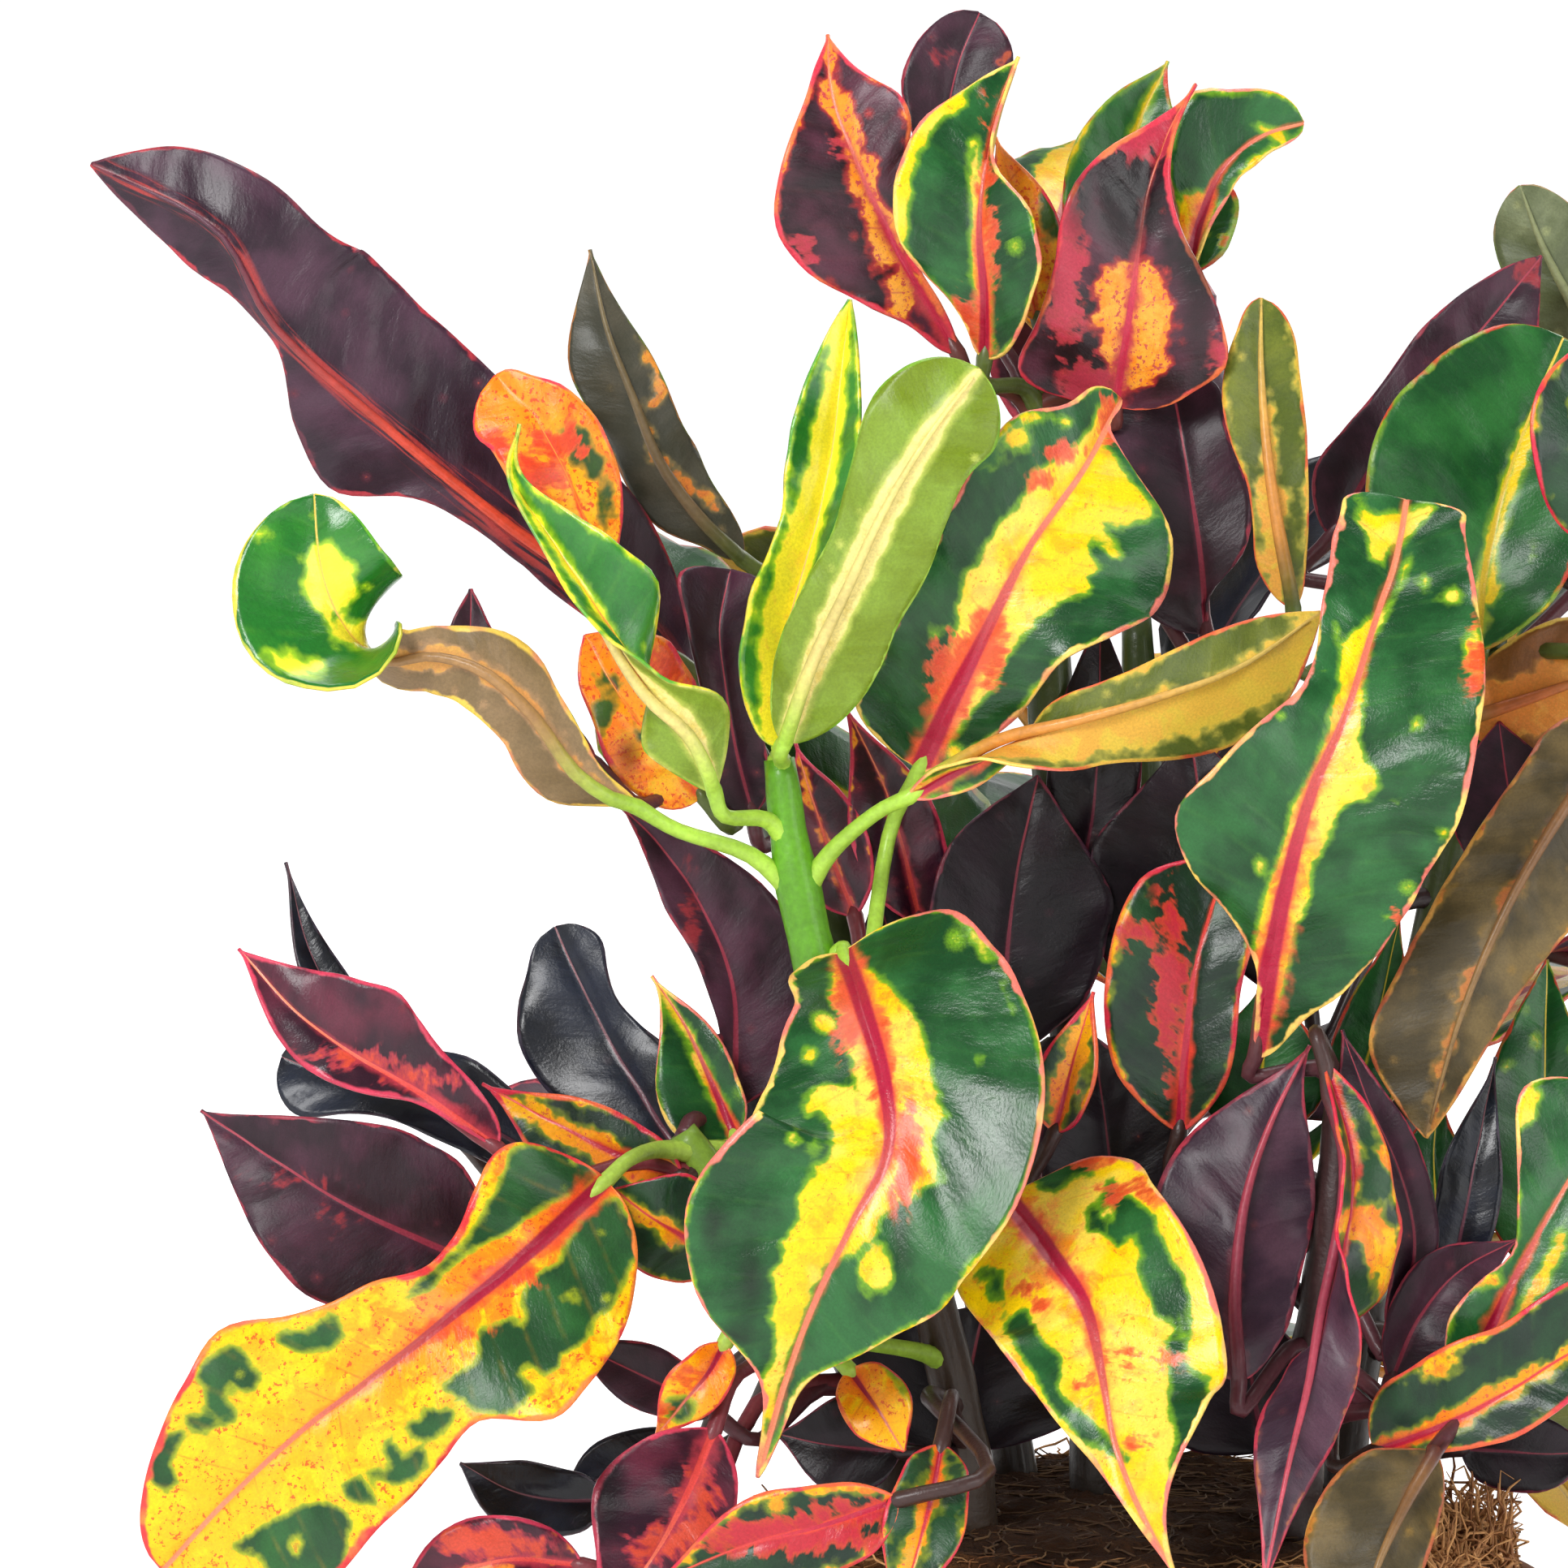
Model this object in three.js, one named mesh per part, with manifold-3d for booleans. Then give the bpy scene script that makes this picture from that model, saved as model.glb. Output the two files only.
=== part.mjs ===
// A potted croton: a plain nursery pot, a mounded root ball and seven leafy stems with broad, curled, waved leaves.
// Millimetres, +Z up. The pot stands on Z = 0 with its axis on Z, and the front of the plant looks along -Y.
// Leaves at the front are placed one by one, as seen by a viewer; leaves at the right and the back follow a rule.

import * as THREE from "three";
import { mergeVertices } from "three/addons/utils/BufferGeometryUtils.js";
import Module from "manifold-3d";

const manifold = await Module();
manifold.setup();

// Driving dimensions

const POT_HEIGHT = 140;
const POT_TOP_RADIUS = 76;
const POT_BASE_RADIUS = 56;
const POT_WALL = 2.4;
const POT_FLOOR = 3;
const RIM_HEIGHT = 18;
const RIM_STEP = 3.2;
const DRAIN_RADIUS = 4.5;
const DRAIN_CIRCLE = 34;
const DRAIN_COUNT = 6;
const POT_SIDES = 36;

const SOIL_TOP = 153;
const SOIL_EDGE = 136;
const SOIL_SIDES = 24;
const FIT_GAP = 0.3;

const STEM_RADIUS = 4.2;
const STEM_SUNK = 28;
const STEM_PLAY = 1.2;
const STEM_SIDES = 7;
const STEM_STEPS = 8;
const PETIOLE_ROOT_RADIUS = 1.9;
const PETIOLE_TIP_RADIUS = 1.3;
const PETIOLE_SIDES = 4;
const PETIOLE_STEPS = 3;
const BLADE_THICKNESS = 0.7;
const LEAST_HALF_WIDTH = 1.1;

// The viewer stands in front of the plant and looks down a little. A place in that view is [u, v, d]: to the right of
// the pot's axis, above the top of the soil, and toward the viewer, in millimetres as they show in the axis's plane.
const VIEW_DISTANCE = 2000;
const VIEW_TILT = THREE.MathUtils.degToRad(8);
const VIEW_CENTRE = [-65, 136];
const VIEW_RIGHT = new THREE.Vector3(1, 0, 0);
const VIEW_UP = new THREE.Vector3(0, Math.sin(VIEW_TILT), Math.cos(VIEW_TILT));
const TOWARD_VIEWER = new THREE.Vector3(0, -Math.cos(VIEW_TILT), Math.sin(VIEW_TILT));
const SOIL_POINT = new THREE.Vector3(0, 0, SOIL_TOP);

// How a blade closes toward its base and its tip: the share of its length, and the power of the rounding
const BASE_END = [0.2, 0.6];
const TIP_ENDS = {
  round: [0.24, 0.5], blunt: [0.1, 0.5], point: [0.42, 0.85], drawn: [0.6, 1.25], cut: [0.04, 0.5],
};

// The leafy stems, each with its path in the view, from the top of the soil to its growing tip
const STEMS = {
  front: [[-30, 4, 20], [-34, 26, 23], [-43, 60, 29], [-56, 92, 33], [-63, 120, 34], [-66, 141, 35]],
  low: [[-44, 4, -2], [-48, 22, 4], [-60, 42, 14], [-74, 58, 22], [-84, 72, 24]],
  crown: [[-8, 8, -8], [-10, 60, -6], [-14, 120, -2], [-17, 175, 4], [-18, 206, 8]],
  left: [[-22, 6, -28], [-30, 50, -24], [-48, 96, -14], [-64, 126, -6], [-73, 146, -2]],
  right: [[30, 4, 26], [32, 26, 30], [36, 52, 34], [38, 80, 36]],
  far: [[38, 6, -16], [44, 50, -18], [54, 104, -14], [63, 148, -8], [66, 168, -6]],
  back: [[4, 15, -48], [4, 60, -54], [2, 120, -60], [0, 168, -62]],
};

// The leaves at the front. rib: from the blade's base to its tip; left and right: half widths along it, seen on the
// upper face with the tip up; roll: degrees turned from facing the viewer, 180 shows the underside; fold: degrees that
// the halves rise toward the upper face; wave: [height, count, phase] of the margins; at: share of the stem.
const LEAVES = [
  { name: "hero", stem: "front", at: 0.66, tip: "round", roll: [0, -4, 0, 6, 0, -5], fold: [22, 12, 6, 10,
    6], rib: [[-54, 105, 38], [-50.5, 95, 53], [-46.5, 81, 64], [-46, 68, 69], [-52.5, 55, 71], [-59, 41.5,
    70], [-64.5, 27, 67], [-70, 8, 62]], left: [29.5, 29.5, 28, 28.5, 29, 28, 25.5, 23.5, 22.5, 21, 16,
    10.5, 4, 3, 2.5], right: [16, 16, 13, 17.5, 21.5, 25, 25, 24.5, 26, 28, 28, 24.5, 18, 6, 2.5, 2], wave:
    [2.6, 2.2, 0.4] },
  { name: "low_gold", stem: "low", at: 0.93, tip: "round", roll: [10, 4, 0, -8, -4], fold: [12, 8, 4, 6],
    rib: [[-98, 63, 42], [-112, 50, 52], [-126, 38.5, 59], [-140, 27.5, 63], [-154, 17, 64], [-168, 4, 63],
    [-180, -9, 60]], left: [21.5, 21.5, 23.5, 25.5, 26, 18, 19.5, 21.5, 22, 23, 25, 28, 28], right: [21.5,
    21.5, 15.5, 11, 10, 13.5, 15.5, 18.5, 23.5, 21, 18, 16, 16], wave: [3, 2.5, 1.2] },
  { name: "centre_gold", stem: "front", at: 0.3, tip: "drawn", roll: [-12, 0, 8, 14, 20], fold: [10, 8,
    10], rib: [[-24, 60, 42], [-16.5, 50.5, 54], [-9.5, 40, 64], [-6.5, 28, 71], [-4.5, 16.5, 76], [0, 3.5,
    80], [8, -12, 83]], left: [24.5, 24.5, 22.5, 22.5, 23, 24, 25.5, 26, 22, 14, 8], right: [19, 19, 18,
    17.5, 17, 14, 11.5, 8, 6, 5, 4], wave: [2.2, 2, 2.2] },
  { name: "young_green", stem: "front", at: 1, tip: "point", roll: [-20, -15, -10], fold: [38, 42, 30],
    rib: [[-66, 143, 37], [-66, 152, 37], [-64, 167, 36], [-59, 185, 35], [-56, 200, 34], [-53, 226, 32]],
    left: [6, 6, 8.5, 8.5, 8, 8, 10, 12.5, 12.5], right: [6, 6, 7, 9.5, 9.5, 9.5, 9.5, 9.5, 9.5], wave:
    [1.6, 2.5, 0] },
  { name: "pale_paddle", stem: "front", at: 0.97, tip: "round", roll: [180, 176, 180, 186], fold: [12, 8,
    6], rib: [[-65, 144, 43], [-60, 158, 49], [-53, 173, 54], [-46, 188, 57], [-37.5, 202, 58], [-29, 213,
    56]], left: [10.5, 10.5, 11.5, 11, 12, 11, 10, 12.5, 12.5], right: [6.5, 6.5, 7.5, 7.5, 7, 9, 12, 12.5,
    12.5], wave: [1, 2, 1] },
  { name: "big_gold", stem: "front", at: 0.5, tip: "blunt", roll: [-6, -4, 0, 8, 20, 30], fold: [10, 6, 4,
    8], rib: [[-40, 139, 26], [-34, 152, 35], [-27, 166, 41], [-19.5, 180.5, 43], [-10, 194, 40], [-2.5,
    207.5, 32]], left: [19.5, 19.5, 15, 15.5, 15.5, 15.5, 17, 18, 17, 9.5, 9.5], right: [7.5, 7.5, 10, 12.5,
    13.5, 15, 21, 25, 26, 24.5, 17, 1.5, 1.5], wave: [2.2, 2.2, 2.4] },
  { name: "olive_arm", stem: "front", at: 0.76, tip: "point", roll: [20, 70, 160, 180, 184, 180], fold:
    [20, 16, 10], rib: [[-42, 134, 42], [-28, 141, 47], [-13, 147, 51], [3, 152, 53], [19, 158, 53], [34,
    168, 49]], left: [4, 6, 7.5, 8, 9.5, 12.5, 15, 16, 14], right: [4, 4, 5, 6, 6, 7, 9, 11.5, 11.5], wave:
    [1.2, 1.5, 0.5] },
  { name: "right_green", stem: "right", at: 1, tip: "cut", roll: [0, 6, 4, 0, -6, -4], fold: [14, 8, 6,
    10], rib: [[22, 86, 42], [24.5, 102, 54], [28, 119, 64], [32.5, 135, 69], [39, 150, 69], [44, 166, 63],
    [48, 178, 56], [50, 189, 49]], left: [1.5, 1.5, 2.5, 8.5, 18.5, 23, 18, 13.5, 9.5, 8.5, 10, 11, 12,
    11.5, 11.5], right: [9.5, 9.5, 15, 19.5, 23, 24.5, 26, 26, 24, 22.5, 20.5, 17.5, 14, 11.5, 11.5], wave:
    [2.2, 2, 0.8] },
  { name: "young_curl", stem: "front", at: 0.84, tip: "drawn", roll: [190, 176, 100, 30, 14, 8, 0], fold:
    [10, 20, 40, 40], rib: [[-78, 135, 46], [-83, 146, 51], [-90, 155, 54], [-99, 168, 55], [-107, 180, 52],
    [-115, 193, 49], [-114, 203, 47]], left: [5, 9, 6, 6, 5, 4, 3], right: [5, 9, 7, 12, 10, 5, 3], wave:
    [0.8, 2, 0] },
  { name: "curled_arm", stem: "front", at: 0.76, tip: "round", roll: [150, 165, 180, 180, 175, 130, 40, 5,
    0], fold: [22, 12, 8], rib: [[-92, 132, 40], [-103, 138.5, 44], [-111.5, 149, 46], [-120.5, 157, 46],
    [-130, 160, 44], [-138.5, 160, 43], [-145.5, 164.5, 46], [-150.5, 175.5, 50], [-152, 190, 50]], left:
    [3.5, 3.5, 4.5, 5.5, 6.5, 8.5, 8.5, 7, 5.5, 5, 9, 14, 17, 19.5, 19.5, 18.5, 17], right: [3.5, 7.5, 10,
    9, 7.5, 7.5, 7.5, 7, 7, 7.5, 9, 12, 14, 14, 14, 14, 13], wave: [0.8, 2, 1] },
  { name: "round_orange", stem: "left", at: 0.96, tip: "round", roll: [0, 4, 0], fold: [10, 6, 6], rib:
    [[-99, 176.5, 24], [-102, 185.5, 31], [-106, 195, 34], [-111.5, 204.5, 34], [-118.5, 212, 32]], left:
    [5, 5, 7.5, 9.5, 10, 10, 10, 11.5, 11.5], right: [5.5, 5.5, 7.5, 9, 9.5, 9.5, 8, 5.5, 5.5], wave: [0.8,
    2, 0] },
  { name: "long_plum", stem: "left", at: 0.9, tip: "point", roll: [178, 176, 174, 170, 166], fold: [8, 8,
    12, 18, 20], rib: [[-80, 146, 0], [-99, 171, 8], [-117, 185, 15], [-138, 202, 20], [-159, 221, 24],
    [-170, 239, 25], [-193, 251, 20]], left: [12, 12, 14.5, 18, 20, 20, 20, 20.5, 21, 22, 22, 19, 19.5, 24,
    24], right: [3, 3, 4.5, 5.5, 4.5, 4.5, 7, 16, 12, 3, 4, 11, 15.5, 17.5, 17.5], wave: [1.2, 1.8, 0.5] },
  { name: "grey_blade", stem: "left", at: 0.86, tip: "drawn", roll: [180, 176, 184], fold: [10, 16, 10],
    rib: [[-73, 178, 2], [-81, 186, 6], [-88, 196, 9], [-93, 208, 10], [-98, 221, 9], [-101, 235, 7]], left:
    [5.5, 5.5, 6, 7, 7, 8, 9, 9, 9], right: [4, 4, 7.5, 8, 8, 11, 15, 15, 15], wave: [1.6, 2.2, 1.4] },
  { name: "plum_upright", stem: "left", at: 0.7, tip: "blunt", roll: [10, 0, -10], fold: [20, 24, 20],
    rib: [[-71, 131, 14], [-74, 143, 19], [-76, 155, 21], [-77, 166, 21], [-75, 176, 19]], left: [7, 7, 5,
    4.5, 5, 5.5, 6.5, 9, 9], right: [5.5, 5.5, 5.5, 6, 7, 8, 9, 9, 9], wave: [0.8, 1.5, 0] },
  { name: "orange_spotted", stem: "left", at: 0.78, tip: "point", roll: [0, 5, 0], fold: [10, 8], rib:
    [[-80, 134, 22], [-87, 142, 26], [-95, 152, 28], [-102, 164, 26]], left: [8, 8, 9.5, 9.5, 7, 7.5, 7.5],
    right: [6.5, 6.5, 9.5, 12.5, 13.5, 17, 17], wave: [0.8, 1.5, 1] },
  { name: "plum_point", stem: "left", at: 0.86, tip: "point", roll: [0, 10, 0], fold: [14, 10], rib:
    [[-100, 140, 30], [-112, 150, 33], [-122, 160.5, 33], [-123, 172.5, 32]], left: [3, 4, 5.5, 4], right:
    [3, 4, 5.5, 3.5], wave: [0.8, 1.5, 2] },
  { name: "hanging_plum", stem: "low", at: 0.98, tip: "drawn", roll: [0, 10, 14, 6], fold: [12, 8], rib:
    [[-75, 76, 10], [-74, 87, 12], [-75, 101, 14], [-81, 115, 15], [-88, 125, 14], [-95, 132, 12]], left:
    [3, 3, 3, 5, 6, 8, 7.5, 7.5, 7.5], right: [5, 11, 15, 12, 8, 4], wave: [1, 1.5, 1] },
  { name: "slate_spoon", stem: "low", at: 0.84, tip: "round", roll: [0, -6, -4], fold: [14, 8, 6], rib:
    [[-84, 67, 8], [-91.5, 79, 5], [-97.5, 89, 2], [-103, 100, 0], [-107.5, 110, -2]], left: [6, 6, 10.5,
    13.5, 15, 15, 12.5, 9, 9], right: [10, 10, 10, 8.5, 6.5, 5, 6, 8, 8], wave: [0.8, 1.6, 0] },
  { name: "olive_point", stem: "low", at: 0.9, tip: "drawn", roll: [0, 8], fold: [16, 14], rib: [[-74, 71,
    18], [-78, 80, 17], [-83, 91, 16], [-89.5, 101, 14]], left: [9, 11, 8, 3], right: [4, 5, 5, 3], wave:
    [0.4, 1, 0] },
  { name: "purple_red", stem: "low", at: 0.8, tip: "drawn", roll: [10, 6, 0, 6], fold: [12, 10, 8], rib:
    [[-118, 69, 33], [-132, 79, 37], [-144, 86, 39], [-155, 94, 39], [-166, 106, 35]], left: [1, 1, 2, 4.5,
    6.5, 8.5, 9.5, 9.5, 9.5], right: [7, 7, 8.5, 11.5, 14.5, 15, 16.5, 16.5, 16.5], wave: [1.2, 2, 1] },
  { name: "dark_tongue", stem: "low", at: 0.66, tip: "drawn", roll: [4, 0, -4], fold: [10, 8], rib:
    [[-118, 46, 26], [-132, 52, 29], [-145, 58, 31], [-158, 66, 31], [-173, 76, 28]], left: [11.5, 11.5, 15,
    17, 18.5, 18.5, 19.5, 19.5, 19.5], right: [11.5, 11.5, 16, 17, 17.5, 17.5, 17.5, 17.5, 17.5], wave:
    [1.2, 1.6, 0.5] },
  { name: "slate_behind", stem: "low", at: 0.72, tip: "round", roll: [0, 10], fold: [10, 6], rib: [[-108,
    66, 8], [-122, 74, 6], [-136, 79, 3], [-148, 82, 0], [-158, 86, -3]], left: [6, 6, 6, 5, 6, 9.5, 9.5],
    right: [8, 8, 10.5, 9, 8, 7.5, 7.5], wave: [1, 1.6, 0] },
  { name: "grey_tip", stem: "low", at: 0.6, tip: "drawn", roll: [30, 20], fold: [16, 12], rib: [[-126, 72,
    -14], [-141, 86, -20], [-152, 104, -24], [-157, 122, -26]], left: [4, 5, 5, 3], right: [4, 5, 5, 3],
    wave: [0.6, 1, 0] },
  { name: "red_green", stem: "low", at: 0.88, tip: "drawn", roll: [0, 4, 0], fold: [14, 10], rib: [[-84,
    64, 26], [-96, 68, 27], [-108, 74, 25], [-121, 81, 20]], left: [12, 14, 10, 5], right: [4, 7, 7, 4],
    wave: [1.2, 1.5, 1] },
  { name: "low_plum_red", stem: "low", at: 0.36, tip: "drawn", roll: [-6, 0, 6], fold: [10, 8], rib:
    [[-78, 17, 50], [-84, 3, 60], [-91, -9, 66], [-101, -21, 68]], left: [5, 10, 11, 6], right: [6, 15, 15,
    8], wave: [1, 1.5, 0] },
  { name: "low_pink", stem: "low", at: 0.3, tip: "drawn", roll: [0, 10], fold: [10, 8], rib: [[-102.5, -8,
    44], [-115.5, -7, 48], [-127.5, -10, 48], [-138.5, -17, 46]], left: [4, 9, 9, 5], right: [4, 8, 9, 5],
    wave: [1, 1.5, 1] },
  { name: "low_dark_left", stem: "low", at: 0.42, tip: "point", roll: [0, 20], fold: [14, 8], rib: [[-98,
    4, 12], [-107, 4, 14], [-116, 6, 14], [-125, 11, 12]], left: [4, 7, 7, 4], right: [4, 6, 6, 3], wave:
    [0.8, 1.5, 0] },
  { name: "low_dark_mid", stem: "low", at: 0.38, tip: "point", roll: [20, 10], fold: [14, 8], rib:
    [[-82.5, 13.5, 2], [-90.5, 11.5, 2], [-98.5, 8.5, 2], [-106.5, 3.5, 2]], left: [4, 5, 5, 3], right: [4,
    6, 6, 3], wave: [0.6, 1.5, 1] },
  { name: "low_red_edge", stem: "front", at: 0.16, tip: "drawn", roll: [0, -10, -6], fold: [10, 8], rib:
    [[-44, 4, 86], [-59, -1, 89], [-74, -5, 88], [-90, -12, 84]], left: [6, 9, 9, 5], right: [4, 8, 9, 5],
    wave: [0.8, 1.5, 0] },
  { name: "low_narrow", stem: "front", at: 0.1, tip: "drawn", roll: [0, 10], fold: [20, 14], rib: [[-36,
    14, 72], [-38, 4, 83], [-41, -7, 88], [-45, -19, 90]], left: [4, 7, 8, 5], right: [4, 7, 8, 5], wave:
    [0.6, 1, 0] },
  { name: "small_ochre", stem: "front", at: 0.22, tip: "point", roll: [0, 14], fold: [12, 8], rib: [[-53,
    28, 46], [-48, 21, 52], [-43, 13, 54]], left: [4, 7, 4], right: [4, 6, 4], wave: [0.4, 1, 0] },
  { name: "crimson_inner", stem: "crown", at: 0.42, tip: "drawn", roll: [-10, 0], fold: [16, 12], rib:
    [[-52, 112, 12], [-56, 122, 13], [-60, 134, 13], [-63, 144, 11]], left: [4, 7, 7, 3], right: [4, 8, 7,
    3], wave: [0.6, 1.5, 0] },
  { name: "top_left", stem: "crown", at: 0.97, tip: "drawn", roll: [0, -8, -4, 0], fold: [20, 12, 10, 20],
    rib: [[-33, 216, 12], [-42, 231, 15], [-48.5, 244, 17], [-53, 254.5, 17], [-56.5, 265, 15], [-57, 275,
    13]], left: [6, 6, 11, 16.5, 18.5, 18, 15.5, 12.5, 9, 9, 9], right: [2.5, 2.5, 2, 3.5, 6.5, 10, 14.5,
    17, 16, 16, 16], wave: [1.2, 1.5, 0] },
  { name: "top_round", stem: "crown", at: 0.94, tip: "round", roll: [10, 0, -6], fold: [16, 8, 6], rib:
    [[-33, 236, 0], [-35, 248, -2], [-35, 259, -3], [-33, 269, -4], [-29, 279, -5]], left: [1, 1, 1, 5, 7.5,
    9.5, 9, 8, 8], right: [2.5, 2.5, 2.5, 6.5, 7, 7, 9, 10.5, 10.5], wave: [0.6, 1.5, 0] },
  { name: "top_green", stem: "crown", at: 0.99, tip: "drawn", roll: [-16, -14, -20, -30], fold: [26, 22,
    24, 30], rib: [[-28, 215, 22], [-28, 226, 27], [-29, 238, 29], [-28, 250, 29], [-26, 260, 27], [-22,
    271, 23]], left: [4, 4, 6.5, 11, 15, 16.5, 17.5, 19, 19.5, 19.5, 19.5], right: [8.5, 8.5, 10, 13, 12.5,
    10.5, 3.5, 1, 1.5, 1.5, 1.5], wave: [1, 1.5, 1] },
  { name: "top_coral", stem: "crown", at: 0.92, tip: "drawn", roll: [10, 0], fold: [12, 10], rib: [[-18,
    222, 10], [-20, 233, 12], [-22.5, 245, 12], [-26, 256, 10]], left: [4, 7, 7, 4], right: [4, 7, 7, 4],
    wave: [0.6, 1.5, 1] },
  { name: "top_flame", stem: "crown", at: 1, tip: "drawn", roll: [0, 4, 0, -10, -16], fold: [16, 14, 16,
    24, 30], rib: [[-4, 206, 14], [-2, 218, 21], [0, 232, 25], [2, 245, 26], [6, 257, 24], [11, 266, 18]],
    left: [20, 22, 18.5, 16.5, 15.5, 16, 15.5, 13, 8, 4, 3], right: [15.5, 15.5, 19, 17, 13, 8.5, 6, 4, 3,
    3, 3], wave: [1.2, 1.8, 0] },
  { name: "top_behind", stem: "crown", at: 0.96, tip: "drawn", roll: [0, 6], fold: [12, 10], rib: [[-4,
    226, 2], [-3, 243, 2], [0, 257, 1], [6, 270, -1]], left: [10, 10, 11, 11.5, 11.5, 12, 12], right: [14,
    20, 22, 21, 16, 10, 8], wave: [1, 1.6, 0] },
  { name: "top_lobe", stem: "crown", at: 0.98, tip: "round", roll: [-10, -6, 0], fold: [20, 12, 10], rib:
    [[9.5, 231, 8], [12, 241, 10], [16, 250, 11], [23, 256, 11], [31, 258.5, 10]], left: [3, 3, 5, 8.5,
    11.5, 14, 10, 8, 8], right: [2, 2, 2.5, 3.5, 3.5, 4, 3.5, 3.5, 3.5], wave: [1, 1.5, 1] },
  { name: "dark_shoulder", stem: "crown", at: 0.82, tip: "round", roll: [10, 0, -8], fold: [10, 6], rib:
    [[13, 164, 10], [12, 178, 12], [10, 191, 12], [8, 203, 10], [6, 212, 7]], left: [14, 14, 14.5, 15, 14.5,
    14.5, 14, 15, 15], right: [1, 1, 7.5, 10.5, 10.5, 9, 8.5, 9.5, 9.5], wave: [1, 1.5, 0] },
  { name: "brown_paddle", stem: "far", at: 0.98, tip: "round", roll: [180, 176, 184], fold: [14, 10, 8],
    rib: [[29, 169, 24], [26, 185, 26], [24, 200, 25], [23, 214, 23], [23, 226, 20]], left: [4.5, 4.5, 6, 7,
    7.5, 7.5, 7, 7, 7], right: [5.5, 5.5, 4.5, 4.5, 6.5, 7.5, 6.5, 5, 5], wave: [0.6, 1.5, 0] },
  { name: "dark_wing", stem: "far", at: 0.92, tip: "point", roll: [0, -6, 0], fold: [12, 10], rib: [[36,
    182, -16], [45, 197, -19], [56, 211, -21], [66, 223, -22], [75, 234, -24]], left: [10, 10, 8.5, 8, 8.5,
    8.5, 8, 8, 8], right: [6, 13, 15, 12, 6], wave: [1, 1.5, 0] },
  { name: "broad_green", stem: "far", at: 0.96, tip: "round", roll: [0, -4, 0], fold: [12, 8, 8], rib:
    [[63, 161, 18], [64.5, 176, 18], [68, 191, 16], [73, 205, 12], [79, 219, 6]], left: [18, 18, 22, 24.5,
    25.5, 24.5, 21, 18, 18], right: [8, 15, 17, 16, 10], wave: [1.6, 1.8, 0.6] },
  { name: "pink_edge", stem: "far", at: 1, tip: "point", roll: [0, 10, 20], fold: [14, 10], rib: [[87,
    180, 34], [84, 193, 40], [83, 206, 40], [86, 220, 36]], left: [5, 10, 11, 7], right: [5, 10, 11, 7],
    wave: [1, 1.5, 1] },
  { name: "grey_far", stem: "far", at: 0.9, tip: "round", roll: [180, 170], fold: [12, 10], rib: [[88,
    210, -36], [81, 224, -38], [75, 236, -38], [71, 247, -37]], left: [4, 8, 9, 6], right: [4, 8, 9, 6],
    wave: [0.8, 1.5, 0] },
  { name: "brown_blade", stem: "far", at: 0.86, tip: "point", roll: [180, 176, 180], fold: [10, 8, 10],
    rib: [[91.5, 149, 34], [80, 133.5, 42], [69, 115, 46], [60, 94, 47], [53.5, 71, 45]], left: [11, 11,
    10.5, 11, 11.5, 12.5, 16, 24, 24], right: [15, 15, 16.5, 15, 12.5, 10, 9, 8.5, 8.5], wave: [1.4, 1.6,
    0.4] },
  { name: "orange_under", stem: "far", at: 0.8, tip: "point", roll: [180, 184], fold: [10, 8], rib: [[60,
    148, 8], [72, 152, 10], [84, 156, 10], [97, 158, 8]], left: [6, 12, 13, 7], right: [6, 11, 12, 7], wave:
    [1, 1.5, 1] },
  { name: "magenta_rim", stem: "right", at: 0.7, tip: "round", roll: [-6, -4, 0], fold: [12, 8], rib: [[8,
    72, 26], [9, 86, 29], [10.5, 100, 30], [13.5, 112, 29], [17, 122, 26]], left: [6, 14, 16, 15, 9], right:
    [5, 9, 9, 9, 6], wave: [0.8, 1.5, 0] },
  { name: "folded_plum", stem: "right", at: 0.4, tip: "drawn", roll: [180, 184, 176, 180], fold: [14, 16,
    10], rib: [[19, 26, 46], [18, 42, 44], [20, 59, 43], [25, 74, 42], [32, 88, 40]], left: [8, 12, 14, 13,
    7], right: [8, 13, 17, 15, 8], wave: [1.6, 1.6, 0.5] },
  { name: "plum_side", stem: "right", at: 0.55, tip: "drawn", roll: [14, 10, 0], fold: [14, 12], rib:
    [[47, 35, 44], [51.5, 49.5, 47], [49, 64, 48], [43, 77.5, 47], [38, 91, 45]], left: [4, 4, 5, 5.5, 6.5,
    10.5, 10.5], right: [3, 3, 4.5, 5, 6, 6, 6], wave: [0.8, 1.5, 0] },
  { name: "red_twist", stem: "right", at: 0.96, tip: "drawn", roll: [-30, -36, -60, -150, -178, -186],
    fold: [34, 28, 18, 12], rib: [[35, 84.5, 58], [40, 67, 62], [38, 48, 66], [33, 28, 73], [28, 10, 82],
    [23, -14, 88]], left: [4, 7, 12, 9, 13, 8], right: [3, 6, 8, 9, 11, 8], wave: [1, 1.5, 0.5] },
  { name: "low_right", stem: "right", at: 0.3, tip: "round", roll: [0, -6, 0], fold: [12, 10], rib: [[58,
    22, 58], [65, 35, 64], [72, 49, 66], [80, 63, 65], [90, 78, 60]], left: [5.5, 5.5, 7.5, 5.5, 2.5, 6,
    11.5, 18.5, 18.5], right: [9, 9, 11.5, 14, 14.5, 15, 14.5, 15.5, 15.5], wave: [1.4, 1.6, 0] },
  { name: "low_spread", stem: "right", at: 0.24, tip: "round", roll: [-10, 0, 10], fold: [16, 12], rib:
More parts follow.
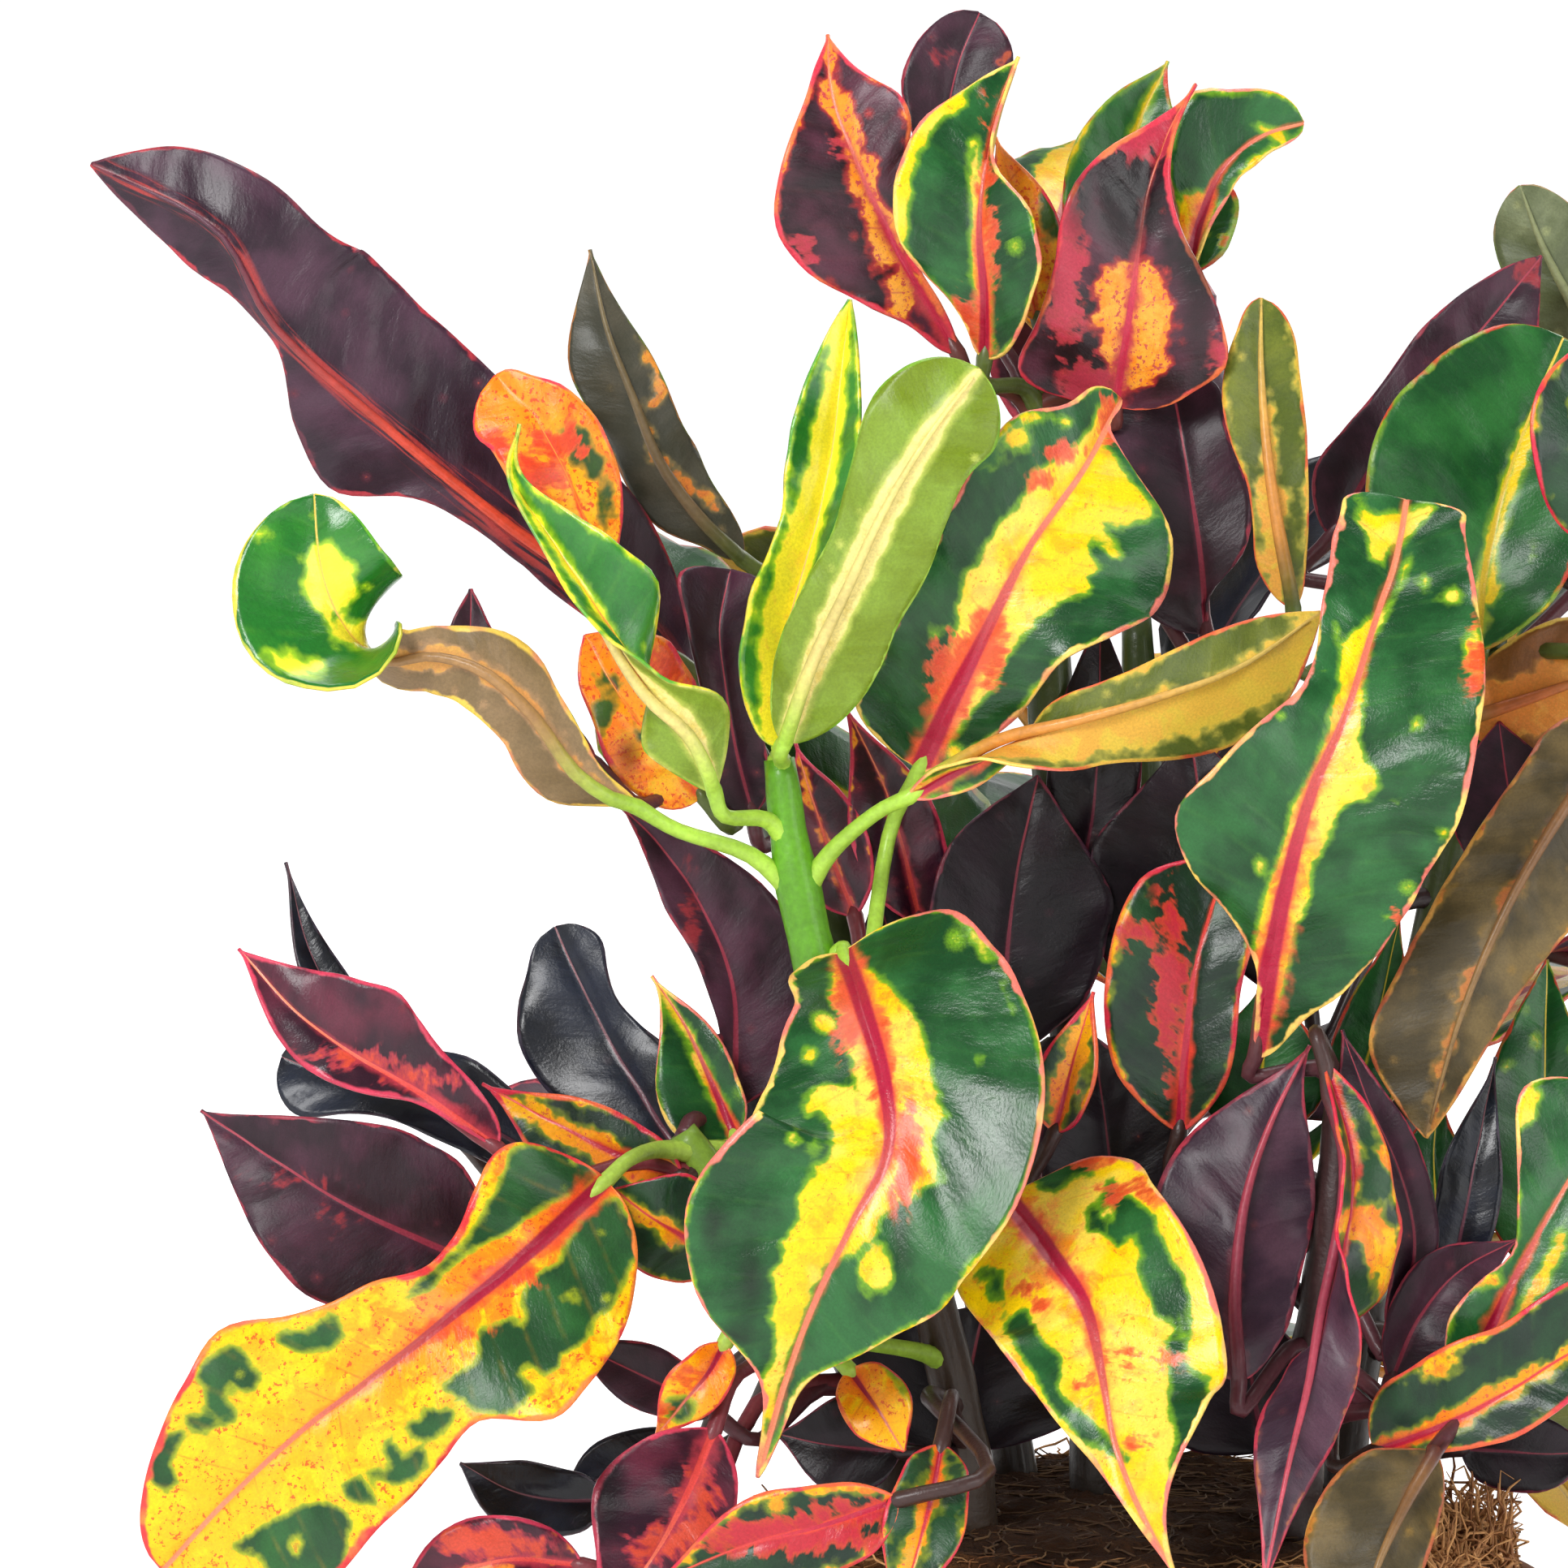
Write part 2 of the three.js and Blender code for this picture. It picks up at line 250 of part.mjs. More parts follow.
    [[44, 13, 60], [55, 17, 66], [67, 23, 69], [80, 31, 69], [94, 38, 66]], left: [11.5, 11.5, 12, 13, 13,
    11.5, 12, 13.5, 13.5], right: [2.5, 2.5, 4.5, 6.5, 8, 7.5, 6.5, 5.5, 5.5], wave: [1.2, 1.6, 1] },
  { name: "low_olive", stem: "right", at: 0.18, tip: "round", roll: [180, 184], fold: [12, 8], rib: [[55,
    13, 70], [50, 4, 79], [45, -7, 85], [41, -19, 88]], left: [6, 13, 14, 9], right: [5, 7, 8, 6], wave:
    [0.8, 1.5, 0] },
  { name: "inner_dark_a", stem: "crown", at: 0.36, tip: "point", roll: [20, 10], fold: [12, 8], rib:
    [[-24, 86, 8], [-24, 102, 12], [-22, 120, 13], [-18, 138, 10]], left: [8, 15, 16, 9], right: [8, 17, 18,
    9], wave: [1.2, 1.5, 0] },
  { name: "inner_dark_b", stem: "crown", at: 0.5, tip: "point", roll: [-10, 0], fold: [12, 8], rib: [[6,
    92, 4], [10, 110, 8], [12, 128, 9], [10, 146, 6]], left: [9, 19, 19, 10], right: [7, 13, 14, 8], wave:
    [1.2, 1.5, 1] },
  { name: "inner_dark_c", stem: "front", at: 0.46, tip: "point", roll: [0, 10], fold: [12, 8], rib: [[-34,
    62, 6], [-38, 80, 4], [-42, 98, 2], [-48, 116, 0]], left: [7, 14, 14, 8], right: [7, 14, 14, 8], wave:
    [1.2, 1.5, 2] },
  { name: "inner_dark_d", stem: "left", at: 0.34, tip: "point", roll: [0, -10], fold: [12, 8], rib: [[-66,
    56, -6], [-64, 74, -8], [-62, 92, -10], [-62, 110, -12]], left: [7, 12, 12, 7], right: [7, 12, 12, 7],
    wave: [1.2, 1.5, 3] },
  { name: "inner_dark_e", stem: "right", at: 0.5, tip: "point", roll: [10, 0], fold: [12, 8], rib: [[-2,
    44, 16], [-4, 60, 18], [-6, 76, 18], [-8, 90, 16]], left: [7, 13, 12, 7], right: [7, 13, 12, 7], wave:
    [1.2, 1.5, 1] },
  { name: "inner_dark_f", stem: "far", at: 0.56, tip: "point", roll: [-10, 0], fold: [12, 8], rib: [[32,
    96, -2], [26, 114, 0], [22, 132, 0], [20, 150, -2]], left: [7, 13, 13, 7], right: [7, 13, 13, 7], wave:
    [1.2, 1.5, 0] },
  { name: "inner_stripe", stem: "right", at: 0.62, tip: "drawn", roll: [-20, -10], fold: [24, 16], rib:
    [[-15, 72, 30], [-12, 84, 33], [-8, 98, 33]], left: [4, 6, 4], right: [4, 6, 4], wave: [0.4, 1, 0] },
  { name: "inner_cream", stem: "crown", at: 0.47, tip: "drawn", roll: [10, 0], fold: [12, 8], rib: [[-40,
    111, 8], [-43, 124, 12], [-47, 137, 13], [-54, 151, 12]], left: [5, 9, 9, 5], right: [6, 8, 7, 3], wave:
    [0.8, 1.5, 1] },
  { name: "far_plum", stem: "far", at: 0.56, tip: "point", roll: [0, -10], fold: [12, 8], rib: [[73, 117,
    10], [70.5, 127.5, 12], [68.5, 137, 12], [67, 148, 10]], left: [6, 11, 11, 6], right: [6, 10, 10, 5],
    wave: [0.8, 1.5, 0] },
  { name: "inner_olive", stem: "right", at: 0.72, tip: "drawn", roll: [0, 8], fold: [12, 8], rib: [[22.5,
    71, 20], [23, 81, 22], [24, 90, 23], [24, 101, 22]], left: [7, 12, 12, 6], right: [7, 12, 11, 6], wave:
    [0.8, 1.5, 1] },
  { name: "far_dark", stem: "far", at: 0.24, tip: "point", roll: [0, 6], fold: [10, 8], rib: [[75.5, 45,
    16], [75.5, 62, 20], [75.5, 80, 21], [76, 104, 18]], left: [6, 11.5, 12, 7], right: [6, 9, 9, 5], wave:
    [1, 1.5, 0] },
  { name: "far_green", stem: "far", at: 0.2, tip: "drawn", roll: [0, -6], fold: [12, 8], rib: [[58.5, 43,
    14], [56, 55, 18], [55, 67, 19], [56, 81, 16]], left: [5, 9, 9, 4], right: [5, 8, 8, 4], wave: [0.8,
    1.5, 2] },
  { name: "slate_far", stem: "right", at: 0.36, tip: "drawn", roll: [6, 0], fold: [14, 10], rib: [[58, 43,
    34], [61, 58, 36], [63.5, 71, 36], [66.5, 86, 32]], left: [4, 6, 6, 3], right: [4, 6, 5, 3], wave: [0.6,
    1.5, 0] },
  { name: "small_stripe", stem: "low", at: 0.7, tip: "point", roll: [0, 6], fold: [10, 8], rib: [[-77,
    47.5, 32], [-83.5, 52.5, 36], [-90, 56.5, 38], [-96.5, 61.5, 38]], left: [5, 9, 9, 5], right: [6, 10,
    10, 6], wave: [0.6, 1.5, 0] },
  { name: "plum_strip", stem: "low", at: 0.25, tip: "drawn", roll: [0, 4], fold: [8, 8], rib: [[-78, 20,
    28], [-86, 24.5, 30], [-95.5, 29, 30], [-106, 34, 28]], left: [3, 5.5, 6.5, 4], right: [3, 5.5, 6.5, 4],
    wave: [0.4, 1, 0] },
  { name: "red_notch", stem: "low", at: 0.4, tip: "drawn", roll: [0, 0], fold: [8, 8], rib: [[-76, 33,
    48], [-79.5, 27, 51], [-84.5, 21, 51], [-89.5, 15, 48]], left: [3, 5, 5, 3], right: [3, 5, 6, 3], wave:
    [0.4, 1, 0] },
  { name: "inner_black_a", stem: "front", at: 0.08, tip: "point", roll: [0, 6], fold: [8, 6], rib:
    [[-31.5, 13, 8], [-31.5, 22, 9], [-30, 31, 9], [-28, 40.5, 7]], left: [12, 22, 20, 8], right: [14, 21,
    16, 8], wave: [0.8, 1.5, 0] },
  { name: "inner_black_b", stem: "right", at: 0.1, tip: "point", roll: [0, 0], fold: [8, 6], rib: [[24,
    13, 16], [22, 22, 15], [21, 31, 14], [21, 41, 12]], left: [14, 16, 12, 6], right: [7, 12, 10, 6], wave:
    [0.8, 1.5, 1] },
  { name: "plum_low", stem: "right", at: 0.28, tip: "drawn", roll: [0, 0], fold: [10, 8], rib: [[47, 26,
    48], [52.5, 38, 49], [60, 46.5, 48], [71, 52.5, 44]], left: [3, 6, 7, 4], right: [4, 10, 10, 6], wave:
    [0.8, 1.5, 0] },
  { name: "plum_pocket", stem: "front", at: 0.06, tip: "drawn", roll: [0, 4], fold: [10, 8], rib: [[-43.5,
    13, 34], [-51, 13.5, 36], [-58.5, 14.5, 36], [-67.5, 16.5, 33]], left: [4, 8, 9, 5], right: [4, 9, 10,
    5], wave: [0.6, 1.5, 0] },
  { name: "mid_plum", stem: "crown", at: 0.4, tip: "point", roll: [0, 6], fold: [10, 8], rib: [[-11, 115,
    2], [-8, 131, 4], [-7, 146, 5], [-6.5, 167, 3]], left: [7, 9, 9, 6], right: [6, 8, 8, 5], wave: [0.8,
    1.5, 0] },
  { name: "gap_green", stem: "right", at: 0.8, tip: "drawn", roll: [0, 6], fold: [10, 8], rib: [[38, 71,
    24], [42, 83, 27], [45.5, 97, 28], [49, 113, 24]], left: [4, 7, 7, 4], right: [4, 7, 7, 4], wave: [0.8,
    1.5, 0] },
  { name: "far_low", stem: "far", at: 0.16, tip: "point", roll: [0, 6], fold: [8, 8], rib: [[60, 13.5, 6],
    [67.5, 13, 9], [76, 12.5, 10], [85, 13, 8]], left: [4, 7, 7, 4], right: [4, 7, 7, 4], wave: [0.6, 1.5,
    0] },
];

// Leaves that follow a rule: on each stem they stand a golden angle apart inside a sector of compass bearings, 0 along
// +X and 90 along +Y, and go from hanging ones at the foot to upright ones at the tip.
const GOLDEN_SHARE = 0.381966;
const RULES = [
  { stem: "back", count: 12, from: 0.12, bearings: [10, 170], lengths: [100, 74], rises: [-4, 66], seed: 11 },
  { stem: "far", count: 9, from: 0.16, bearings: [-40, 80], lengths: [108, 78], rises: [-6, 56], seed: 23 },
  { stem: "left", count: 8, from: 0.16, bearings: [100, 190], lengths: [98, 76], rises: [-4, 58], seed: 37 },
  { stem: "right", count: 5, from: 0.2, bearings: [-55, 0], lengths: [88, 70], rises: [-8, 34], seed: 41 },
  { stem: "crown", count: 8, from: 0.5, bearings: [20, 165], lengths: [86, 66], rises: [26, 72], seed: 53 },
];
const TRIES = 60;
const PICTURE_EDGE = 76;
const COVER = 5;
const TENTHS = [0.1, 0.2, 0.3, 0.4, 0.5, 0.6, 0.7, 0.8, 0.9];
const CLEARANCE = 6;
const RULE_WIDTH_SHARE = 0.235;

const degrees = THREE.MathUtils.degToRad;

/** The point in the object's own frame that the viewer sees at a place [u, v, d]. */
function seen([u, v, d]) {
  const eye = SOIL_POINT.clone()
    .addScaledVector(VIEW_RIGHT, VIEW_CENTRE[0])
    .addScaledVector(VIEW_UP, VIEW_CENTRE[1])
    .addScaledVector(TOWARD_VIEWER, VIEW_DISTANCE);
  const inPlane = SOIL_POINT.clone().addScaledVector(VIEW_RIGHT, u).addScaledVector(VIEW_UP, v);
  return eye.lerp(inPlane, (VIEW_DISTANCE - d) / VIEW_DISTANCE);
}

/** The place [u, v, d] at which the viewer sees a point of the object: seen, turned round. */
function placeOf(point) {
  const from = point.clone().sub(SOIL_POINT);
  const depth = from.dot(TOWARD_VIEWER);
  const grown = VIEW_DISTANCE / (VIEW_DISTANCE - depth);
  const u = VIEW_CENTRE[0] + (from.dot(VIEW_RIGHT) - VIEW_CENTRE[0]) * grown;
  const v = VIEW_CENTRE[1] + (from.dot(VIEW_UP) - VIEW_CENTRE[1]) * grown;
  return [u, v, depth];
}

/** Whether a place lies behind one of the places of the front leaves, or right of what they show. */
function covered([u, v, d], cover) {
  if (u > PICTURE_EDGE) return true;
  return cover.some(([x, y, z]) => z > d && Math.hypot(x - u, y - v) < COVER);
}

/** A value that runs smoothly through evenly spaced keys, at a share t of the way. */
function keyed(keys, t) {
  if (keys.length === 1) return keys[0];
  const place = t * (keys.length - 1);
  const i = Math.min(Math.floor(place), keys.length - 2);
  const f = place - i;
  const start = keys[i];
  const end = keys[i + 1];
  const before = i > 0 ? keys[i - 1] : 2 * start - end;
  const after = i < keys.length - 2 ? keys[i + 2] : 2 * end - start;
  const leave = (end - before) / 2;
  const arrive = (after - start) / 2;
  const square = 3 * (end - start) - 2 * leave - arrive;
  const cube = 2 * (start - end) + leave + arrive;
  return start + f * (leave + f * (square + f * cube));
}

/** The point at a share t of a path of points, run through them by the same rule as keyed. */
function along(points, t) {
  const axis = (name) => keyed(points.map((point) => point[name]), t);
  return new THREE.Vector3(axis("x"), axis("y"), axis("z"));
}

/** How far a blade has opened at a share t from one of its ends. */
function opened(t, [share, power]) {
  const x = Math.min(1, Math.max(0, t / share));
  return Math.pow(x * (2 - x), power);
}

/** A seeded stream of even draws between 0 and 1. */
function drawsFrom(seed) {
  let state = seed * 7919 + 17;
  return () => {
    state = (state * 16807) % 2147483647;
    return state / 2147483647;
  };
}

/** One blade: its rib in the object's frame and its mid surface at any share of length and width. */
class Blade {
  constructor(spec) {
    this.spec = spec;
    this.rib = spec.points ?? spec.rib.map(seen);
    this.face = spec.face ?? TOWARD_VIEWER;
  }

  frame(t) {
    const step = 0.01;
    const before = along(this.rib, Math.max(0, t - step));
    const tangent = along(this.rib, Math.min(1, t + step)).sub(before).normalize();
    const faceOn = this.face.clone().addScaledVector(tangent, -this.face.dot(tangent)).normalize();
    const sideOn = tangent.clone().cross(faceOn);
    const roll = degrees(keyed(this.spec.roll, t));
    const up = faceOn.clone().multiplyScalar(Math.cos(roll)).addScaledVector(sideOn, Math.sin(roll));
    const side = sideOn.clone().multiplyScalar(Math.cos(roll)).addScaledVector(faceOn, -Math.sin(roll));
    return { tangent, up, side };
  }

  halfWidth(t, q) {
    const keys = q < 0 ? this.spec.left : this.spec.right;
    const width = keyed(keys, t) * opened(t, BASE_END) * opened(1 - t, TIP_ENDS[this.spec.tip]);
    return Math.max(LEAST_HALF_WIDTH, width);
  }

  at(t, q) {
    const { up, side } = this.frame(t);
    const across = Math.abs(q);
    const reach = across * this.halfWidth(t, q);
    const fold = degrees(keyed(this.spec.fold, t));
    const [height, count, phase] = this.spec.wave;
    const turn = 2 * Math.PI * (count * t + (q < 0 ? 0.25 : 0)) + phase;
    const wave = height * Math.sin(turn) * Math.pow(across, 1.8) * Math.sin(Math.PI * Math.min(1, t + 0.08));
    return along(this.rib, t)
      .addScaledVector(side, Math.sign(q) * reach * Math.cos(fold))
      .addScaledVector(up, reach * Math.sin(fold) + wave);
  }
}

/** A closed geometry from its corner points and its triangles. */
function closedGeometry(points, faces) {
  const geometry = new THREE.BufferGeometry();
  const flat = points.flatMap((point) => [point.x, point.y, point.z]);
  geometry.setAttribute("position", new THREE.Float32BufferAttribute(flat, 3));
  geometry.setIndex(faces);
  return geometry;
}

/** The triangles that join two rings of corners, each given as [corner, share of the way round]. */
function bridge(ring, next) {
  const faces = [];
  let i = 0;
  let k = 0;
  const round = (list, n) => list[n % list.length][1] + Math.floor(n / list.length);
  while (i < ring.length || k < next.length) {
    const [a] = ring[i % ring.length];
    const [b] = next[k % next.length];
    if (k === next.length || (i < ring.length && round(ring, i + 1) < round(next, k + 1))) {
      i += 1;
      faces.push(a, b, ring[i % ring.length][0]);
    } else {
      k += 1;
      faces.push(a, b, next[k % next.length][0]);
    }
  }
  return faces;
}

/** A leaf as one closed solid: a petiole that widens into a thin blade, both faces split into triangles alike. */
function leafGeometry(blade, stalk, lengthCells, widthCells) {
  const points = [];
  const faces = [];
  const middle = [];
  for (let i = 0; i <= lengthCells; i++) {
    for (let j = 0; j <= widthCells; j++) {
      middle.push(blade.at(i / lengthCells, (2 * j) / widthCells - 1));
    }
  }
  const row = widthCells + 1;
  const held = (k, most) => Math.min(most, Math.max(0, k));
  const at = (i, j) => middle[held(i, lengthCells) * row + held(j, widthCells)];
  const upper = [];
  const lower = [];
  for (let i = 0; i <= lengthCells; i++) {
    for (let j = 0; j <= widthCells; j++) {
      const lengthways = at(i + 1, j).clone().sub(at(i - 1, j));
      const crossways = at(i, j + 1).clone().sub(at(i, j - 1));
      const normal = crossways.cross(lengthways).normalize().multiplyScalar(BLADE_THICKNESS / 2);
      upper.push(at(i, j).clone().add(normal));
      lower.push(at(i, j).clone().sub(normal));
    }
  }
  points.push(...upper, ...lower);
  const under = upper.length;
  for (let i = 0; i < lengthCells; i++) {
    for (let j = 0; j < widthCells; j++) {
      const a = i * row + j;
      const b = a + 1;
      const c = a + row;
      const d = c + 1;
      const split = j < widthCells / 2 ? [a, b, c, b, d, c] : [a, b, d, a, d, c];
      faces.push(...split);
      faces.push(...split.map((corner) => corner + under).reverse());
    }
  }
  const edge = [];
  for (let i = 0; i < lengthCells; i++) edge.push(i * row + widthCells);
  for (let j = widthCells; j > 0; j--) edge.push(lengthCells * row + j);
  for (let i = lengthCells; i >= 0; i--) edge.push(i * row);
  edge.slice(0, -1).forEach((corner, k) => {
    const next = edge[k + 1];
    faces.push(corner, corner + under, next, next, corner + under, next + under);
  });
  const rings = stalkRings(blade, stalk);
  const baseRing = [];
  for (let j = 0; j <= widthCells; j++) baseRing.push([j, 0.02 + (0.46 * j) / widthCells]);
  for (let j = widthCells; j >= 0; j--) baseRing.push([under + j, 0.98 - (0.46 * j) / widthCells]);
  const numbered = rings.map((ring) => ring.map((point, k) => {
    points.push(point);
    return [points.length - 1, k / ring.length];
  }));
  numbered.push(baseRing);
  for (let i = 0; i + 1 < numbered.length; i++) faces.push(...bridge(numbered[i + 1], numbered[i]));
  const root = numbered[0].map(([corner]) => corner);
  for (let k = 1; k + 1 < root.length; k++) faces.push(root[0], root[k + 1], root[k]);
  return closedGeometry(points, faces);
}

/** The corners round a petiole, ring by ring from its root, each ring from the blade's left over its upper face. */
function stalkRings(blade, stalk) {
  const steps = PETIOLE_STEPS;
  let { side } = blade.frame(0);
  const rings = [];
  for (let i = steps - 1; i >= 0; i--) {
    const t = i / steps;
    const step = 0.02;
    const tangent = along(stalk, t + step).sub(along(stalk, Math.max(0, t - step))).normalize();
    side = side.clone().addScaledVector(tangent, -side.dot(tangent)).normalize();
    const up = side.clone().cross(tangent);
    const radius = PETIOLE_ROOT_RADIUS + (PETIOLE_TIP_RADIUS - PETIOLE_ROOT_RADIUS) * t;
    const ring = [];
    for (let k = 0; k < PETIOLE_SIDES; k++) {
      const turn = Math.PI - (2 * Math.PI * k) / PETIOLE_SIDES;
      ring.push(along(stalk, t)
        .addScaledVector(side, radius * Math.cos(turn))
        .addScaledVector(up, radius * Math.sin(turn)));
    }
    rings.unshift(ring);
  }
  return rings;
}

/** A round tube with closed ends along a path of points. */
function tubeGeometry(points, radius, sides, steps) {
  const section = new THREE.Shape();
  for (let k = 0; k < sides; k++) {
    const turn = (2 * Math.PI * k) / sides;
    const corner = [radius * Math.cos(turn), radius * Math.sin(turn)];
    if (k === 0) section.moveTo(...corner);
    else section.lineTo(...corner);
  }
  section.closePath();
  const path = new THREE.CatmullRomCurve3(points, false, "catmullrom", 0.5);
  return new THREE.ExtrudeGeometry(section, { steps, extrudePath: path, bevelEnabled: false });
}

/** The solid inside a closed geometry, with its shared corners merged and its faces pointing out. */
function solid(geometry) {
  const bare = geometry.clone();
  bare.deleteAttribute("normal");
  bare.deleteAttribute("uv");
  const merged = mergeVertices(bare, 1e-4);
  const vertProperties = Float32Array.from(merged.attributes.position.array);
  const triVerts = Uint32Array.from(merged.index.array);
  const made = new manifold.Manifold(new manifold.Mesh({ numProp: 3, vertProperties, triVerts }));
  if (made.volume() > 0) return made;
  const turned = Uint32Array.from(triVerts).reverse();
  return new manifold.Manifold(new manifold.Mesh({ numProp: 3, vertProperties, triVerts: turned }));
}

/** A geometry with the corners and triangles of a solid. */
function geometryOf(body) {
  const mesh = body.getMesh();
  const points = [];
  for (let k = 0; k < mesh.numVert; k++) {
    const [x, y, z] = mesh.vertProperties.subarray(k * mesh.numProp, k * mesh.numProp + 3);
    points.push(new THREE.Vector3(x, y, z));
  }
  return closedGeometry(points, Array.from(mesh.triVerts));
}

/** The whole path of a stem: straight through the soil, then on through its own places. */
function stemPath(places) {
  const above = places.map(seen);
  const foot = above[0].clone().setZ(SOIL_TOP - STEM_SUNK);
  return [foot, above[0].clone().setZ(SOIL_TOP - STEM_SUNK / 2), ...above];
}

/** The share of a stem's whole path that lies at a share of what stands above the soil. */
function stemShare(stem, at) {
  return (2 + at * (stem.length - 3)) / (stem.length - 1);
}

/** A petiole from the middle of its stem, out and along the stem's side, to the base of its blade. */
function petiolePath(stem, at, blade) {
  const share = stemShare(stem, at);
  const start = along(stem, share);
  const below = along(stem, Math.max(0, share - 0.02));
  const stemLine = along(stem, Math.min(1, share + 0.02)).sub(below).normalize();
  const end = along(blade.rib, 0);
  const gap = start.distanceTo(end);
  const outward = end.clone().sub(start).normalize().addScaledVector(stemLine, 0.35).normalize();
  const bladeLine = blade.frame(0).tangent;
  const first = start.clone().addScaledVector(outward, gap * 0.36);
  const second = end.clone().addScaledVector(bladeLine, -gap * 0.26);
  return [start, first, second, end];
}

/** Sample points over a blade, which keep leaves clear of one another. */
function samples(blade) {
  const points = [];
  for (let i = 0; i <= 8; i++) {
    for (let j = -2; j <= 2; j++) points.push(blade.at(i / 8, j / 2));
  }
  return points;
}

/** Whether every point of one set is farther than a distance from every point of another. */
function apart(points, others, distance) {
  const limit = distance * distance;
  return points.every((point) => others.every((other) => point.distanceToSquared(other) > limit));
}

/** The spec of a leaf that a rule gives: its index on the stem, and draws for what varies. */
function ruledSpec(rule, index, path, draw) {
  const share = rule.count > 1 ? index / (rule.count - 1) : 0;
  const at = rule.from + (0.98 - rule.from) * share;
  const spread = (index * GOLDEN_SHARE + draw() * 0.3) % 1;
  const bearing = degrees(rule.bearings[0] + (rule.bearings[1] - rule.bearings[0]) * spread);
  const length = (rule.lengths[0] + (rule.lengths[1] - rule.lengths[0]) * share) * (0.86 + 0.3 * draw());
  const rise = degrees(rule.rises[0] + (rule.rises[1] - rule.rises[0]) * share + 24 * (draw() - 0.5));
  const droop = degrees(8 + 44 * draw());
  const outward = new THREE.Vector3(Math.cos(bearing), Math.sin(bearing), 0);
  const sideways = new THREE.Vector3(-Math.sin(bearing), Math.cos(bearing), 0);
  const stalk = 16 + 16 * draw();
  const sweep = (draw() - 0.5) * 0.5;
  const point = along(path, stemShare(path, at)).addScaledVector(outward, stalk * Math.cos(rise));
  point.z += stalk * Math.sin(rise) + 4;
  const points = [point.clone()];
  for (let k = 0; k < 4; k++) {
    const slope = rise - droop * (k / 3);
    point.addScaledVector(outward, (length / 4) * Math.cos(slope));
    point.addScaledVector(sideways, (length / 4) * sweep * (k / 3));
    point.z += (length / 4) * Math.sin(slope);
    points.push(point.clone());
  }
  const width = length * RULE_WIDTH_SHARE * (0.85 + 0.35 * draw());
  const side = () => [0.55, 1, 1.05, 0.72].map((key) => width * key * (0.9 + 0.2 * draw()));
  const start = 26 * (draw() - 0.5);
  const twist = (draw() < 0.5 ? -1 : 1) * (20 + 70 * draw() * draw());
  return {
    name: `${rule.stem}_${index + 1}`, stem: rule.stem, at, tip: draw() < 0.4 ? "round" : "drawn", points,
    face: new THREE.Vector3(outward.x * 0.45, outward.y * 0.45, 1).normalize(),
    roll: [start, start + twist * 0.3, start + twist], fold: [14, 8 + 10 * draw(), 8],
    left: side(), right: side(), wave: [1.4 + 1.6 * draw(), 1.6 + 0.6 * draw(), 6 * draw()],
  };
}

/** Every blade: those placed by hand, and then those of the rules, each drawn until it is clear. */
function allBlades(paths) {
  const blades = LEAVES.map((spec) => new Blade(spec));
  const taken = blades.map((blade) => samples(blade));
  const cover = blades.flatMap((blade) => TENTHS.flatMap((t) =>
    [-0.75, -0.25, 0.25, 0.75].map((q) => placeOf(blade.at(t, q)))));
  Object.values(paths).forEach((path) => {
    taken.push(Array.from({ length: 17 }, (_, k) => along(path, k / 16)));
  });
  for (const rule of RULES) {
    for (let index = 0; index < rule.count; index++) {
      for (let attempt = 0; attempt < TRIES; attempt++) {
        const draw = drawsFrom(rule.seed + 101 * index + 1009 * attempt);
        draw();
        const blade = new Blade(ruledSpec(rule, index, paths[rule.stem], draw));
        const points = samples(blade);
        const low = Math.min(...points.map((point) => point.z));
        if (low < POT_HEIGHT - 60) continue;
        if (!points.every(clearOfPot)) continue;
        if (!points.every((point) => covered(placeOf(point), cover))) continue;
        if (!taken.every((others) => apart(points, others, CLEARANCE))) continue;
        blades.push(blade);
        taken.push(points);
        break;
      }
    }
  }
  return blades;
}

/** Whether a point stands clear of the pot and the soil. */
function clearOfPot(point) {
  const radius = Math.hypot(point.x, point.y);
  return point.z > SOIL_TOP + 6 || radius > POT_TOP_RADIUS + RIM_STEP + 5;
}

/** How many cells a blade has along and across. */
function cellsOf(blade) {
  if (blade.spec.points !== undefined) return [5, 2];
  if (blade.spec.rib.length <= 3) return [4, 2];
  if (blade.spec.rib.length <= 4) return [5, 2];
  return blade.spec.rib.length <= 5 ? [5, 4] : [7, 4];
}

/** One leafy stem: the stem, and the petioles and blades that grow on it, in one body. */
function leafyStem(name, path, blades) {
  let body = solid(tubeGeometry(path, STEM_RADIUS, STEM_SIDES, STEM_STEPS));
  for (const blade of blades.filter((each) => each.spec.stem === name)) {
    body = body.add(solid(leafGeometry(blade, petiolePath(path, blade.spec.at, blade), ...cellsOf(blade))));
  }
  return body;
}

